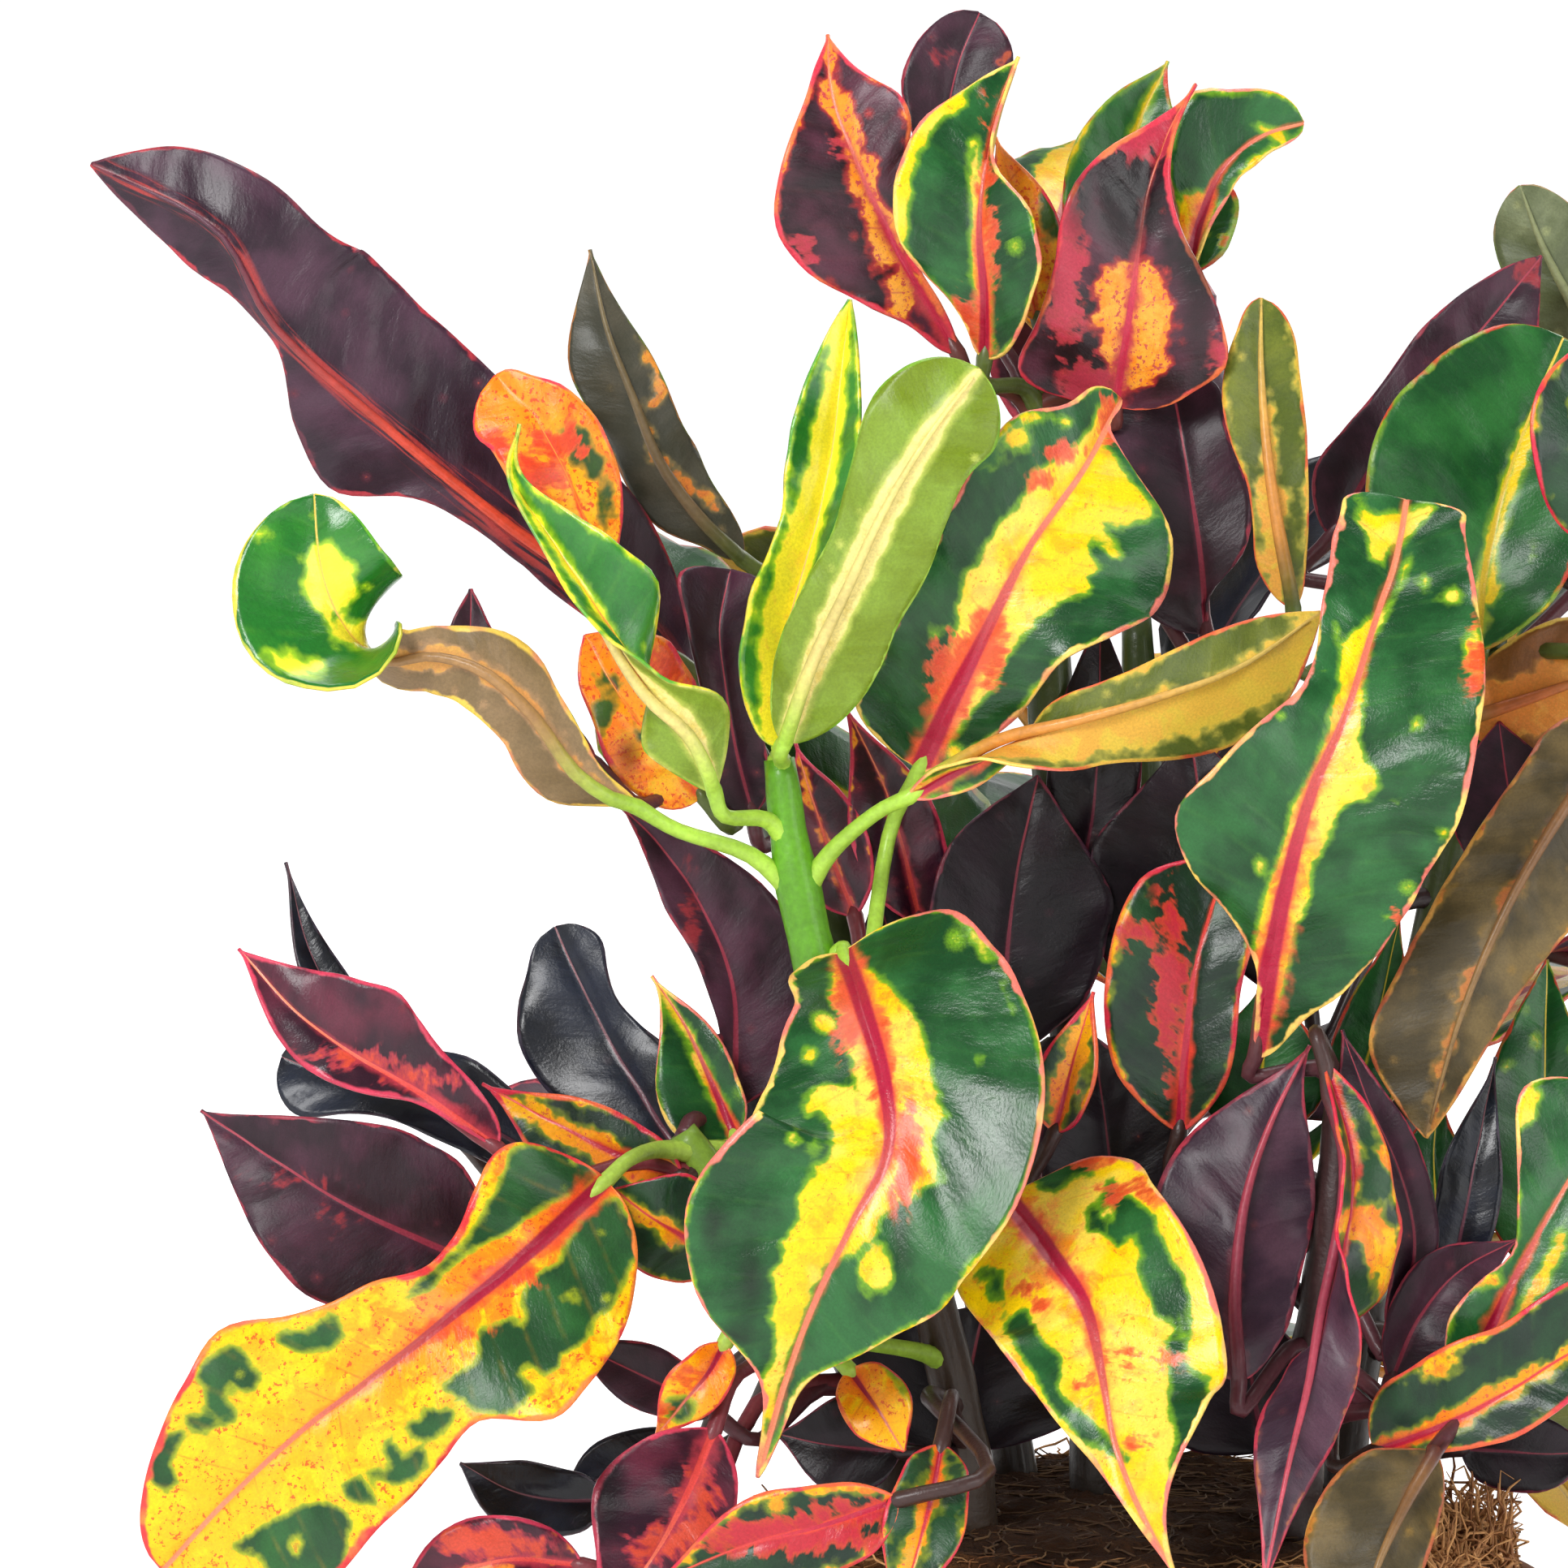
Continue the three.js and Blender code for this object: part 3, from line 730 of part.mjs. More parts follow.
/** The pot: a tapered wall with a stepped rim, turned in one piece, with drain holes in its floor. */
function pot() {
  const rimBottom = POT_HEIGHT - RIM_HEIGHT;
  const outline = [
    [0, 0],
    [POT_BASE_RADIUS - 1, 0],
    [POT_BASE_RADIUS, 1],
    [POT_TOP_RADIUS, rimBottom],
    [POT_TOP_RADIUS + RIM_STEP, rimBottom + 2],
    [POT_TOP_RADIUS + RIM_STEP, POT_HEIGHT - 1.2],
    [POT_TOP_RADIUS + RIM_STEP - 1.2, POT_HEIGHT],
    [POT_TOP_RADIUS - POT_WALL + 1, POT_HEIGHT],
    [POT_TOP_RADIUS - POT_WALL, POT_HEIGHT - 1],
    [POT_TOP_RADIUS - POT_WALL, rimBottom],
    [POT_BASE_RADIUS - POT_WALL, POT_FLOOR],
    [0, POT_FLOOR],
  ].map(([r, z]) => new THREE.Vector2(r, z));
  let body = solid(new THREE.LatheGeometry(outline, POT_SIDES).rotateX(Math.PI / 2));
  for (let k = 0; k < DRAIN_COUNT; k++) {
    const turn = (2 * Math.PI * (k + 0.5)) / DRAIN_COUNT;
    const hole = new THREE.CylinderGeometry(DRAIN_RADIUS, DRAIN_RADIUS, 3 * POT_FLOOR, 12);
    hole.rotateX(Math.PI / 2);
    hole.translate(DRAIN_CIRCLE * Math.cos(turn), DRAIN_CIRCLE * Math.sin(turn), POT_FLOOR / 2);
    body = body.subtract(solid(hole));
  }
  return body;
}

/** The root ball: it fills the pot, mounds over the rim, and has a plain hole for each stem. */
function soil(paths) {
  const rimBottom = POT_HEIGHT - RIM_HEIGHT;
  const inside = POT_TOP_RADIUS - POT_WALL - FIT_GAP;
  const bottom = POT_FLOOR + FIT_GAP;
  const outline = [
    [0, bottom],
    [POT_BASE_RADIUS - POT_WALL - FIT_GAP - 0.3, bottom],
    [inside, rimBottom + 1],
    [inside, SOIL_EDGE],
    [inside - 1.5, SOIL_TOP - 10],
    [inside - 7, SOIL_TOP - 1],
    [inside - 18, SOIL_TOP + 4],
    [inside - 38, SOIL_TOP + 5],
    [0, SOIL_TOP + 6],
  ].map(([r, z]) => new THREE.Vector2(r, z));
  let body = solid(new THREE.LatheGeometry(outline, SOIL_SIDES).rotateX(Math.PI / 2));
  for (const path of Object.values(paths)) {
    const foot = path[0];
    const depth = SOIL_TOP + 30 - foot.z + FIT_GAP;
    const radius = STEM_RADIUS + STEM_PLAY;
    const hole = new THREE.CylinderGeometry(radius, radius, depth, 12).rotateX(Math.PI / 2);
    hole.translate(foot.x, foot.y, foot.z - FIT_GAP + depth / 2);
    body = body.subtract(solid(hole));
  }
  return body;
}

const PLASTIC = new THREE.MeshStandardMaterial({ color: 0x7a4a35, roughness: 0.6, metalness: 0 });
const COIR = new THREE.MeshStandardMaterial({ color: 0x6b4226, roughness: 0.95, metalness: 0 });
const FOLIAGE_COLOURS = {
  front: 0x4f9a2c, low: 0x8a3a44, crown: 0xd06a2c, left: 0x4a2f42, right: 0x2f6b3a, far: 0x5d7a2e, back: 0x6a3348,
};

const croton = new THREE.Group();

function place(name, body, material) {
  const mesh = new THREE.Mesh(geometryOf(body), material);
  mesh.name = name;
  croton.add(mesh);
}

const paths = Object.fromEntries(Object.entries(STEMS).map(([name, places]) => [name, stemPath(places)]));
const blades = allBlades(paths);

place("pot", pot(), PLASTIC);
place("soil", soil(paths), COIR);
for (const [name, path] of Object.entries(paths)) {
  const foliage = new THREE.MeshStandardMaterial({ color: FOLIAGE_COLOURS[name], roughness: 0.4, metalness: 0 });
  place(`leafy_stem_${name}`, leafyStem(name, path, blades), foliage);
}

export default croton;
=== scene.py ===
"""A potted croton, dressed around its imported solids.

Leaves, stems, root ball and pot are built again with fine surfaces on the forms of the solids. Leaves at the front are
placed one by one, as a viewer sees them, and the others follow the same rule as the solids. Lengths are millimetres
until a mesh is made, and metres in Blender.
"""

import logging
import math
from dataclasses import dataclass
from enum import Enum

import bmesh
import bpy
import numpy as np
from mathutils import Matrix, Vector, noise


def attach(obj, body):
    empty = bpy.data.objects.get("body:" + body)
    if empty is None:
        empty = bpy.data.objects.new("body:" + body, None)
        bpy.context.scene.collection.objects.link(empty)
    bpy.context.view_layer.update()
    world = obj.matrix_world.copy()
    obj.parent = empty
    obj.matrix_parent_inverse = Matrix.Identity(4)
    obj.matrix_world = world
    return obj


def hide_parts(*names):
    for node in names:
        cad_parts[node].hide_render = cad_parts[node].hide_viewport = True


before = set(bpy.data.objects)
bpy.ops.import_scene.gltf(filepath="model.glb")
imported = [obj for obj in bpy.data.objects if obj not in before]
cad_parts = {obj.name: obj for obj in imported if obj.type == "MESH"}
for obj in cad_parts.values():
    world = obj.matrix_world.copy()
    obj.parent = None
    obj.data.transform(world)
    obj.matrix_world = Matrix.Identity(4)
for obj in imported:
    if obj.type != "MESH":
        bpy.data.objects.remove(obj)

logging.basicConfig(level=logging.INFO, format="%(name)s: %(message)s")
log = logging.getLogger("croton")

MM = 0.001
POT_HEIGHT = 140.0
POT_TOP_RADIUS = 76.0
POT_BASE_RADIUS = 56.0
POT_WALL = 2.4
POT_FLOOR = 3.0
RIM_HEIGHT = 18.0
RIM_STEP = 3.2
SOIL_TOP = 153.0
STEM_RADIUS = 4.2
STEM_SUNK = 28.0
LEAST_HALF_WIDTH = 1.1
# the least half width of the finer leaves, whose tips are sharper than those of the solids
FINE_HALF_WIDTH = 0.3
# the share of a turn from one leaf of a stem to the next
GOLDEN_SHARE = 0.381966
# how often a rule draws a leaf before it goes without
TRIES = 60
# the photograph's right edge, and how near a place must lie to one of a front leaf to count as covered by it
PICTURE_EDGE = 76.0
COVER = 5.0
# what leaves of the rules keep from other leaves and stems, from the soil and from the pot, and the lowest they hang
CLEARANCE = 6.0
SOIL_CLEARANCE = 6.0
POT_CLEARANCE = 5.0
LOWEST = POT_HEIGHT - 60
# half of a rule's leaf is this share of its length wide
RULE_WIDTH_SHARE = 0.235
# vertices of a turned skin that lie this near, in metres, are one
WELD = 1e-6
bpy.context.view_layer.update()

Array = np.ndarray


def keyed(keys: Array, t: Array) -> Array:
    """Runs smoothly through evenly spaced keys.

    Args:
        keys: One value or point for each key.
        t: Shares of the way from the first key to the last.

    Returns:
        The value or point at each share.
    """
    keys = np.asarray(keys, float)
    t = np.atleast_1d(np.asarray(t, float))
    if len(keys) == 1:
        return np.repeat(keys, len(t), axis=0)
    place = t * (len(keys) - 1)
    i = np.minimum(np.floor(place).astype(int), len(keys) - 2)
    f = place - i
    padded = np.concatenate([[2 * keys[0] - keys[1]], keys, [2 * keys[-1] - keys[-2]]])
    before, start, end, after = (padded[i + k] for k in range(4))
    leave = (end - before) / 2
    arrive = (after - start) / 2
    if keys.ndim > 1:
        f = f[:, None]
    square = 3 * (end - start) - 2 * leave - arrive
    cube = 2 * (start - end) + leave + arrive
    return start + f * (leave + f * (square + f * cube))


def opened(t: Array, share: float, power: float) -> Array:
    """How far a blade has opened at shares t from one of its ends."""
    x = np.clip(t / share, 0, 1)
    return (x * (2 - x)) ** power


def unit(vectors: Array) -> Array:
    """The same directions with a length of one."""
    return vectors / np.linalg.norm(vectors, axis=-1, keepdims=True)


def smooth(value: Array, low: float, high: float) -> Array:
    """A soft step from 0 at low to 1 at high."""
    x = np.clip((value - low) / (high - low), 0, 1)
    return x * x * (3 - 2 * x)


class Draws:
    """A seeded stream of even draws between 0 and 1."""

    SPACING = 7919
    OFFSET = 17
    FACTOR = 16807
    MODULUS = 2147483647

    def __init__(self, seed: int) -> None:
        """Starts the stream.

        Args:
            seed: Any whole number; each gives its own stream.
        """
        self.state = seed * self.SPACING + self.OFFSET

    def __call__(self) -> float:
        """The next draw."""
        self.state = (self.state * self.FACTOR) % self.MODULUS
        return self.state / self.MODULUS


@dataclass(frozen=True)
class View:
    """The viewer, who stands in front of the plant and looks down a little.

    A place in the view is (u, v, d): to the right of the pot's axis, above the top of the soil, and toward the viewer.
    """

    distance: float = 2000.0
    tilt: float = math.radians(8)
    centre: tuple[float, float] = (-65.0, 136.0)
    width: float = 289.8
    sensor: float = 36.0

    @property
    def axes(self) -> tuple[Array, Array, Array]:
        """The view's right and up, and the way toward the viewer."""
        low, high = math.sin(self.tilt), math.cos(self.tilt)
        return np.array([1, 0, 0.0]), np.array([0, low, high]), np.array([0, -high, low])

    @property
    def aim(self) -> Array:
        """The point that the viewer looks at, in the plane through the pot's axis."""
        right, up, _ = self.axes
        return np.array([0, 0, SOIL_TOP]) + right * self.centre[0] + up * self.centre[1]

    def seen(self, places: Array) -> Array:
        """Finds the points that the viewer sees at some places.

        Args:
            places: One (u, v, d) for each point.

        Returns:
            The points in the object's own frame.
        """
        right, up, toward = self.axes
        places = np.asarray(places, float)
        eye = self.aim + toward * self.distance
        plane = np.array([0, 0, SOIL_TOP]) + places[:, :1] * right + places[:, 1:2] * up
        return eye + (plane - eye) * ((self.distance - places[:, 2:3]) / self.distance)

    def places(self, points: Array) -> Array:
        """Finds the places (u, v, d) of some points: seen, turned round."""
        right, up, toward = self.axes
        away = points - np.array([0, 0, SOIL_TOP])
        depth = away @ toward
        grown = self.distance / (self.distance - depth)
        u = self.centre[0] + (away @ right - self.centre[0]) * grown
        v = self.centre[1] + (away @ up - self.centre[1]) * grown
        return np.stack([u, v, depth], axis=-1)


VIEW = View()


class Tip(Enum):
    """How a blade closes toward its tip: the share of its length, and the power of the rounding."""

    ROUND = (0.24, 0.5)
    BLUNT = (0.1, 0.5)
    POINT = (0.42, 0.85)
    DRAWN = (0.6, 1.25)
    CUT = (0.04, 0.5)


BASE_END = (0.2, 0.6)


@dataclass(frozen=True)
class LeafSpec:
    """One leaf as the viewer sees it.

    The rib runs from the blade's base to its tip. Left and right are half widths along it, seen on the upper face with
    the tip up. Roll is the turn from facing the viewer, fold is how far the halves rise toward the upper face, and wave
    is the height, count and phase of the margins' waves.
    """

    name: str
    stem: str
    at: float
    tip: Tip
    rib: tuple = ()
    left: tuple = ()
    right: tuple = ()
    roll: tuple = (0,)
    fold: tuple = (0,)
    wave: tuple = (0, 1, 0)
    points: Array | None = None
    face: Array | None = None


STEMS = {
    "front": ((-30, 4, 20), (-34, 26, 23), (-43, 60, 29), (-56, 92, 33), (-63, 120, 34), (-66, 141, 35)),
    "low": ((-44, 4, -2), (-48, 22, 4), (-60, 42, 14), (-74, 58, 22), (-84, 72, 24)),
    "crown": ((-8, 8, -8), (-10, 60, -6), (-14, 120, -2), (-17, 175, 4), (-18, 206, 8)),
    "left": ((-22, 6, -28), (-30, 50, -24), (-48, 96, -14), (-64, 126, -6), (-73, 146, -2)),
    "right": ((30, 4, 26), (32, 26, 30), (36, 52, 34), (38, 80, 36)),
    "far": ((38, 6, -16), (44, 50, -18), (54, 104, -14), (63, 148, -8), (66, 168, -6)),
    "back": ((4, 15, -48), (4, 60, -54), (2, 120, -60), (0, 168, -62)),
}


LEAVES = (
    LeafSpec("hero", "front", 0.66, Tip.ROUND, rib=((-54, 105, 38), (-50.5, 95, 53), (-46.5, 81, 64), (-46, 68, 69),
        (-52.5, 55, 71), (-59, 41.5, 70), (-64.5, 27, 67), (-70, 8, 62)), left=(29.5, 29.5, 28, 28.5, 29, 28, 25.5,
        23.5, 22.5, 21, 16, 10.5, 4, 3, 2.5), right=(16, 16, 13, 17.5, 21.5, 25, 25, 24.5, 26, 28, 28, 24.5, 18, 6,
        2.5, 2), roll=(0, -4, 0, 6, 0, -5), fold=(22, 12, 6, 10, 6), wave=(2.6, 2.2, 0.4)),
    LeafSpec("low_gold", "low", 0.93, Tip.ROUND, rib=((-98, 63, 42), (-112, 50, 52), (-126, 38.5, 59), (-140, 27.5,
        63), (-154, 17, 64), (-168, 4, 63), (-180, -9, 60)), left=(21.5, 21.5, 23.5, 25.5, 26, 18, 19.5, 21.5, 22, 23,
        25, 28, 28), right=(21.5, 21.5, 15.5, 11, 10, 13.5, 15.5, 18.5, 23.5, 21, 18, 16, 16), roll=(10, 4, 0, -8,
        -4), fold=(12, 8, 4, 6), wave=(3, 2.5, 1.2)),
    LeafSpec("centre_gold", "front", 0.3, Tip.DRAWN, rib=((-24, 60, 42), (-16.5, 50.5, 54), (-9.5, 40, 64), (-6.5, 28,
        71), (-4.5, 16.5, 76), (0, 3.5, 80), (8, -12, 83)), left=(24.5, 24.5, 22.5, 22.5, 23, 24, 25.5, 26, 22, 14,
        8), right=(19, 19, 18, 17.5, 17, 14, 11.5, 8, 6, 5, 4), roll=(-12, 0, 8, 14, 20), fold=(10, 8, 10), wave=(2.2,
        2, 2.2)),
    LeafSpec("young_green", "front", 1, Tip.POINT, rib=((-66, 143, 37), (-66, 152, 37), (-64, 167, 36), (-59, 185,
        35), (-56, 200, 34), (-53, 226, 32)), left=(6, 6, 8.5, 8.5, 8, 8, 10, 12.5, 12.5), right=(6, 6, 7, 9.5, 9.5,
        9.5, 9.5, 9.5, 9.5), roll=(-20, -15, -10), fold=(38, 42, 30), wave=(1.6, 2.5, 0)),
    LeafSpec("pale_paddle", "front", 0.97, Tip.ROUND, rib=((-65, 144, 43), (-60, 158, 49), (-53, 173, 54), (-46, 188,
        57), (-37.5, 202, 58), (-29, 213, 56)), left=(10.5, 10.5, 11.5, 11, 12, 11, 10, 12.5, 12.5), right=(6.5, 6.5,
        7.5, 7.5, 7, 9, 12, 12.5, 12.5), roll=(180, 176, 180, 186), fold=(12, 8, 6), wave=(1, 2, 1)),
    LeafSpec("big_gold", "front", 0.5, Tip.BLUNT, rib=((-40, 139, 26), (-34, 152, 35), (-27, 166, 41), (-19.5, 180.5,
        43), (-10, 194, 40), (-2.5, 207.5, 32)), left=(19.5, 19.5, 15, 15.5, 15.5, 15.5, 17, 18, 17, 9.5, 9.5),
        right=(7.5, 7.5, 10, 12.5, 13.5, 15, 21, 25, 26, 24.5, 17, 1.5, 1.5), roll=(-6, -4, 0, 8, 20, 30), fold=(10,
        6, 4, 8), wave=(2.2, 2.2, 2.4)),
    LeafSpec("olive_arm", "front", 0.76, Tip.POINT, rib=((-42, 134, 42), (-28, 141, 47), (-13, 147, 51), (3, 152, 53),
        (19, 158, 53), (34, 168, 49)), left=(4, 6, 7.5, 8, 9.5, 12.5, 15, 16, 14), right=(4, 4, 5, 6, 6, 7, 9, 11.5,
        11.5), roll=(20, 70, 160, 180, 184, 180), fold=(20, 16, 10), wave=(1.2, 1.5, 0.5)),
    LeafSpec("right_green", "right", 1, Tip.CUT, rib=((22, 86, 42), (24.5, 102, 54), (28, 119, 64), (32.5, 135, 69),
        (39, 150, 69), (44, 166, 63), (48, 178, 56), (50, 189, 49)), left=(1.5, 1.5, 2.5, 8.5, 18.5, 23, 18, 13.5,
        9.5, 8.5, 10, 11, 12, 11.5, 11.5), right=(9.5, 9.5, 15, 19.5, 23, 24.5, 26, 26, 24, 22.5, 20.5, 17.5, 14,
        11.5, 11.5), roll=(0, 6, 4, 0, -6, -4), fold=(14, 8, 6, 10), wave=(2.2, 2, 0.8)),
    LeafSpec("young_curl", "front", 0.84, Tip.DRAWN, rib=((-78, 135, 46), (-83, 146, 51), (-90, 155, 54), (-99, 168,
        55), (-107, 180, 52), (-115, 193, 49), (-114, 203, 47)), left=(5, 9, 6, 6, 5, 4, 3), right=(5, 9, 7, 12, 10,
        5, 3), roll=(190, 176, 100, 30, 14, 8, 0), fold=(10, 20, 40, 40), wave=(0.8, 2, 0)),
    LeafSpec("curled_arm", "front", 0.76, Tip.ROUND, rib=((-92, 132, 40), (-103, 138.5, 44), (-111.5, 149, 46),
        (-120.5, 157, 46), (-130, 160, 44), (-138.5, 160, 43), (-145.5, 164.5, 46), (-150.5, 175.5, 50), (-152, 190,
        50)), left=(3.5, 3.5, 4.5, 5.5, 6.5, 8.5, 8.5, 7, 5.5, 5, 9, 14, 17, 19.5, 19.5, 18.5, 17), right=(3.5, 7.5,
        10, 9, 7.5, 7.5, 7.5, 7, 7, 7.5, 9, 12, 14, 14, 14, 14, 13), roll=(150, 165, 180, 180, 175, 130, 40, 5, 0),
        fold=(22, 12, 8), wave=(0.8, 2, 1)),
    LeafSpec("round_orange", "left", 0.96, Tip.ROUND, rib=((-99, 176.5, 24), (-102, 185.5, 31), (-106, 195, 34),
        (-111.5, 204.5, 34), (-118.5, 212, 32)), left=(5, 5, 7.5, 9.5, 10, 10, 10, 11.5, 11.5), right=(5.5, 5.5, 7.5,
        9, 9.5, 9.5, 8, 5.5, 5.5), roll=(0, 4, 0), fold=(10, 6, 6), wave=(0.8, 2, 0)),
    LeafSpec("long_plum", "left", 0.9, Tip.POINT, rib=((-80, 146, 0), (-99, 171, 8), (-117, 185, 15), (-138, 202, 20),
        (-159, 221, 24), (-170, 239, 25), (-193, 251, 20)), left=(12, 12, 14.5, 18, 20, 20, 20, 20.5, 21, 22, 22, 19,
        19.5, 24, 24), right=(3, 3, 4.5, 5.5, 4.5, 4.5, 7, 16, 12, 3, 4, 11, 15.5, 17.5, 17.5), roll=(178, 176, 174,
        170, 166), fold=(8, 8, 12, 18, 20), wave=(1.2, 1.8, 0.5)),
    LeafSpec("grey_blade", "left", 0.86, Tip.DRAWN, rib=((-73, 178, 2), (-81, 186, 6), (-88, 196, 9), (-93, 208, 10),
        (-98, 221, 9), (-101, 235, 7)), left=(5.5, 5.5, 6, 7, 7, 8, 9, 9, 9), right=(4, 4, 7.5, 8, 8, 11, 15, 15, 15),
        roll=(180, 176, 184), fold=(10, 16, 10), wave=(1.6, 2.2, 1.4)),
    LeafSpec("plum_upright", "left", 0.7, Tip.BLUNT, rib=((-71, 131, 14), (-74, 143, 19), (-76, 155, 21), (-77, 166,
        21), (-75, 176, 19)), left=(7, 7, 5, 4.5, 5, 5.5, 6.5, 9, 9), right=(5.5, 5.5, 5.5, 6, 7, 8, 9, 9, 9),
        roll=(10, 0, -10), fold=(20, 24, 20), wave=(0.8, 1.5, 0)),
    LeafSpec("orange_spotted", "left", 0.78, Tip.POINT, rib=((-80, 134, 22), (-87, 142, 26), (-95, 152, 28), (-102,
        164, 26)), left=(8, 8, 9.5, 9.5, 7, 7.5, 7.5), right=(6.5, 6.5, 9.5, 12.5, 13.5, 17, 17), roll=(0, 5, 0),
        fold=(10, 8), wave=(0.8, 1.5, 1)),
    LeafSpec("plum_point", "left", 0.86, Tip.POINT, rib=((-100, 140, 30), (-112, 150, 33), (-122, 160.5, 33), (-123,
        172.5, 32)), left=(3, 4, 5.5, 4), right=(3, 4, 5.5, 3.5), roll=(0, 10, 0), fold=(14, 10), wave=(0.8, 1.5, 2)),
    LeafSpec("hanging_plum", "low", 0.98, Tip.DRAWN, rib=((-75, 76, 10), (-74, 87, 12), (-75, 101, 14), (-81, 115,
        15), (-88, 125, 14), (-95, 132, 12)), left=(3, 3, 3, 5, 6, 8, 7.5, 7.5, 7.5), right=(5, 11, 15, 12, 8, 4),
        roll=(0, 10, 14, 6), fold=(12, 8), wave=(1, 1.5, 1)),
    LeafSpec("slate_spoon", "low", 0.84, Tip.ROUND, rib=((-84, 67, 8), (-91.5, 79, 5), (-97.5, 89, 2), (-103, 100, 0),
        (-107.5, 110, -2)), left=(6, 6, 10.5, 13.5, 15, 15, 12.5, 9, 9), right=(10, 10, 10, 8.5, 6.5, 5, 6, 8, 8),
        roll=(0, -6, -4), fold=(14, 8, 6), wave=(0.8, 1.6, 0)),
    LeafSpec("olive_point", "low", 0.9, Tip.DRAWN, rib=((-74, 71, 18), (-78, 80, 17), (-83, 91, 16), (-89.5, 101,
        14)), left=(9, 11, 8, 3), right=(4, 5, 5, 3), roll=(0, 8), fold=(16, 14), wave=(0.4, 1, 0)),
    LeafSpec("purple_red", "low", 0.8, Tip.DRAWN, rib=((-118, 69, 33), (-132, 79, 37), (-144, 86, 39), (-155, 94, 39),
        (-166, 106, 35)), left=(1, 1, 2, 4.5, 6.5, 8.5, 9.5, 9.5, 9.5), right=(7, 7, 8.5, 11.5, 14.5, 15, 16.5, 16.5,
        16.5), roll=(10, 6, 0, 6), fold=(12, 10, 8), wave=(1.2, 2, 1)),
    LeafSpec("dark_tongue", "low", 0.66, Tip.DRAWN, rib=((-118, 46, 26), (-132, 52, 29), (-145, 58, 31), (-158, 66,
        31), (-173, 76, 28)), left=(11.5, 11.5, 15, 17, 18.5, 18.5, 19.5, 19.5, 19.5), right=(11.5, 11.5, 16, 17,
        17.5, 17.5, 17.5, 17.5, 17.5), roll=(4, 0, -4), fold=(10, 8), wave=(1.2, 1.6, 0.5)),
    LeafSpec("slate_behind", "low", 0.72, Tip.ROUND, rib=((-108, 66, 8), (-122, 74, 6), (-136, 79, 3), (-148, 82, 0),
        (-158, 86, -3)), left=(6, 6, 6, 5, 6, 9.5, 9.5), right=(8, 8, 10.5, 9, 8, 7.5, 7.5), roll=(0, 10), fold=(10,
        6), wave=(1, 1.6, 0)),
    LeafSpec("grey_tip", "low", 0.6, Tip.DRAWN, rib=((-126, 72, -14), (-141, 86, -20), (-152, 104, -24), (-157, 122,
        -26)), left=(4, 5, 5, 3), right=(4, 5, 5, 3), roll=(30, 20), fold=(16, 12), wave=(0.6, 1, 0)),
    LeafSpec("red_green", "low", 0.88, Tip.DRAWN, rib=((-84, 64, 26), (-96, 68, 27), (-108, 74, 25), (-121, 81, 20)),
        left=(12, 14, 10, 5), right=(4, 7, 7, 4), roll=(0, 4, 0), fold=(14, 10), wave=(1.2, 1.5, 1)),
    LeafSpec("low_plum_red", "low", 0.36, Tip.DRAWN, rib=((-78, 17, 50), (-84, 3, 60), (-91, -9, 66), (-101, -21,
        68)), left=(5, 10, 11, 6), right=(6, 15, 15, 8), roll=(-6, 0, 6), fold=(10, 8), wave=(1, 1.5, 0)),
    LeafSpec("low_pink", "low", 0.3, Tip.DRAWN, rib=((-102.5, -8, 44), (-115.5, -7, 48), (-127.5, -10, 48), (-138.5,
        -17, 46)), left=(4, 9, 9, 5), right=(4, 8, 9, 5), roll=(0, 10), fold=(10, 8), wave=(1, 1.5, 1)),
    LeafSpec("low_dark_left", "low", 0.42, Tip.POINT, rib=((-98, 4, 12), (-107, 4, 14), (-116, 6, 14), (-125, 11,
        12)), left=(4, 7, 7, 4), right=(4, 6, 6, 3), roll=(0, 20), fold=(14, 8), wave=(0.8, 1.5, 0)),
    LeafSpec("low_dark_mid", "low", 0.38, Tip.POINT, rib=((-82.5, 13.5, 2), (-90.5, 11.5, 2), (-98.5, 8.5, 2),
        (-106.5, 3.5, 2)), left=(4, 5, 5, 3), right=(4, 6, 6, 3), roll=(20, 10), fold=(14, 8), wave=(0.6, 1.5, 1)),
    LeafSpec("low_red_edge", "front", 0.16, Tip.DRAWN, rib=((-44, 4, 86), (-59, -1, 89), (-74, -5, 88), (-90, -12,
        84)), left=(6, 9, 9, 5), right=(4, 8, 9, 5), roll=(0, -10, -6), fold=(10, 8), wave=(0.8, 1.5, 0)),
    LeafSpec("low_narrow", "front", 0.1, Tip.DRAWN, rib=((-36, 14, 72), (-38, 4, 83), (-41, -7, 88), (-45, -19, 90)),
        left=(4, 7, 8, 5), right=(4, 7, 8, 5), roll=(0, 10), fold=(20, 14), wave=(0.6, 1, 0)),
    LeafSpec("small_ochre", "front", 0.22, Tip.POINT, rib=((-53, 28, 46), (-48, 21, 52), (-43, 13, 54)), left=(4, 7,
        4), right=(4, 6, 4), roll=(0, 14), fold=(12, 8), wave=(0.4, 1, 0)),
    LeafSpec("crimson_inner", "crown", 0.42, Tip.DRAWN, rib=((-52, 112, 12), (-56, 122, 13), (-60, 134, 13), (-63,
        144, 11)), left=(4, 7, 7, 3), right=(4, 8, 7, 3), roll=(-10, 0), fold=(16, 12), wave=(0.6, 1.5, 0)),
    LeafSpec("top_left", "crown", 0.97, Tip.DRAWN, rib=((-33, 216, 12), (-42, 231, 15), (-48.5, 244, 17), (-53, 254.5,
        17), (-56.5, 265, 15), (-57, 275, 13)), left=(6, 6, 11, 16.5, 18.5, 18, 15.5, 12.5, 9, 9, 9), right=(2.5, 2.5,
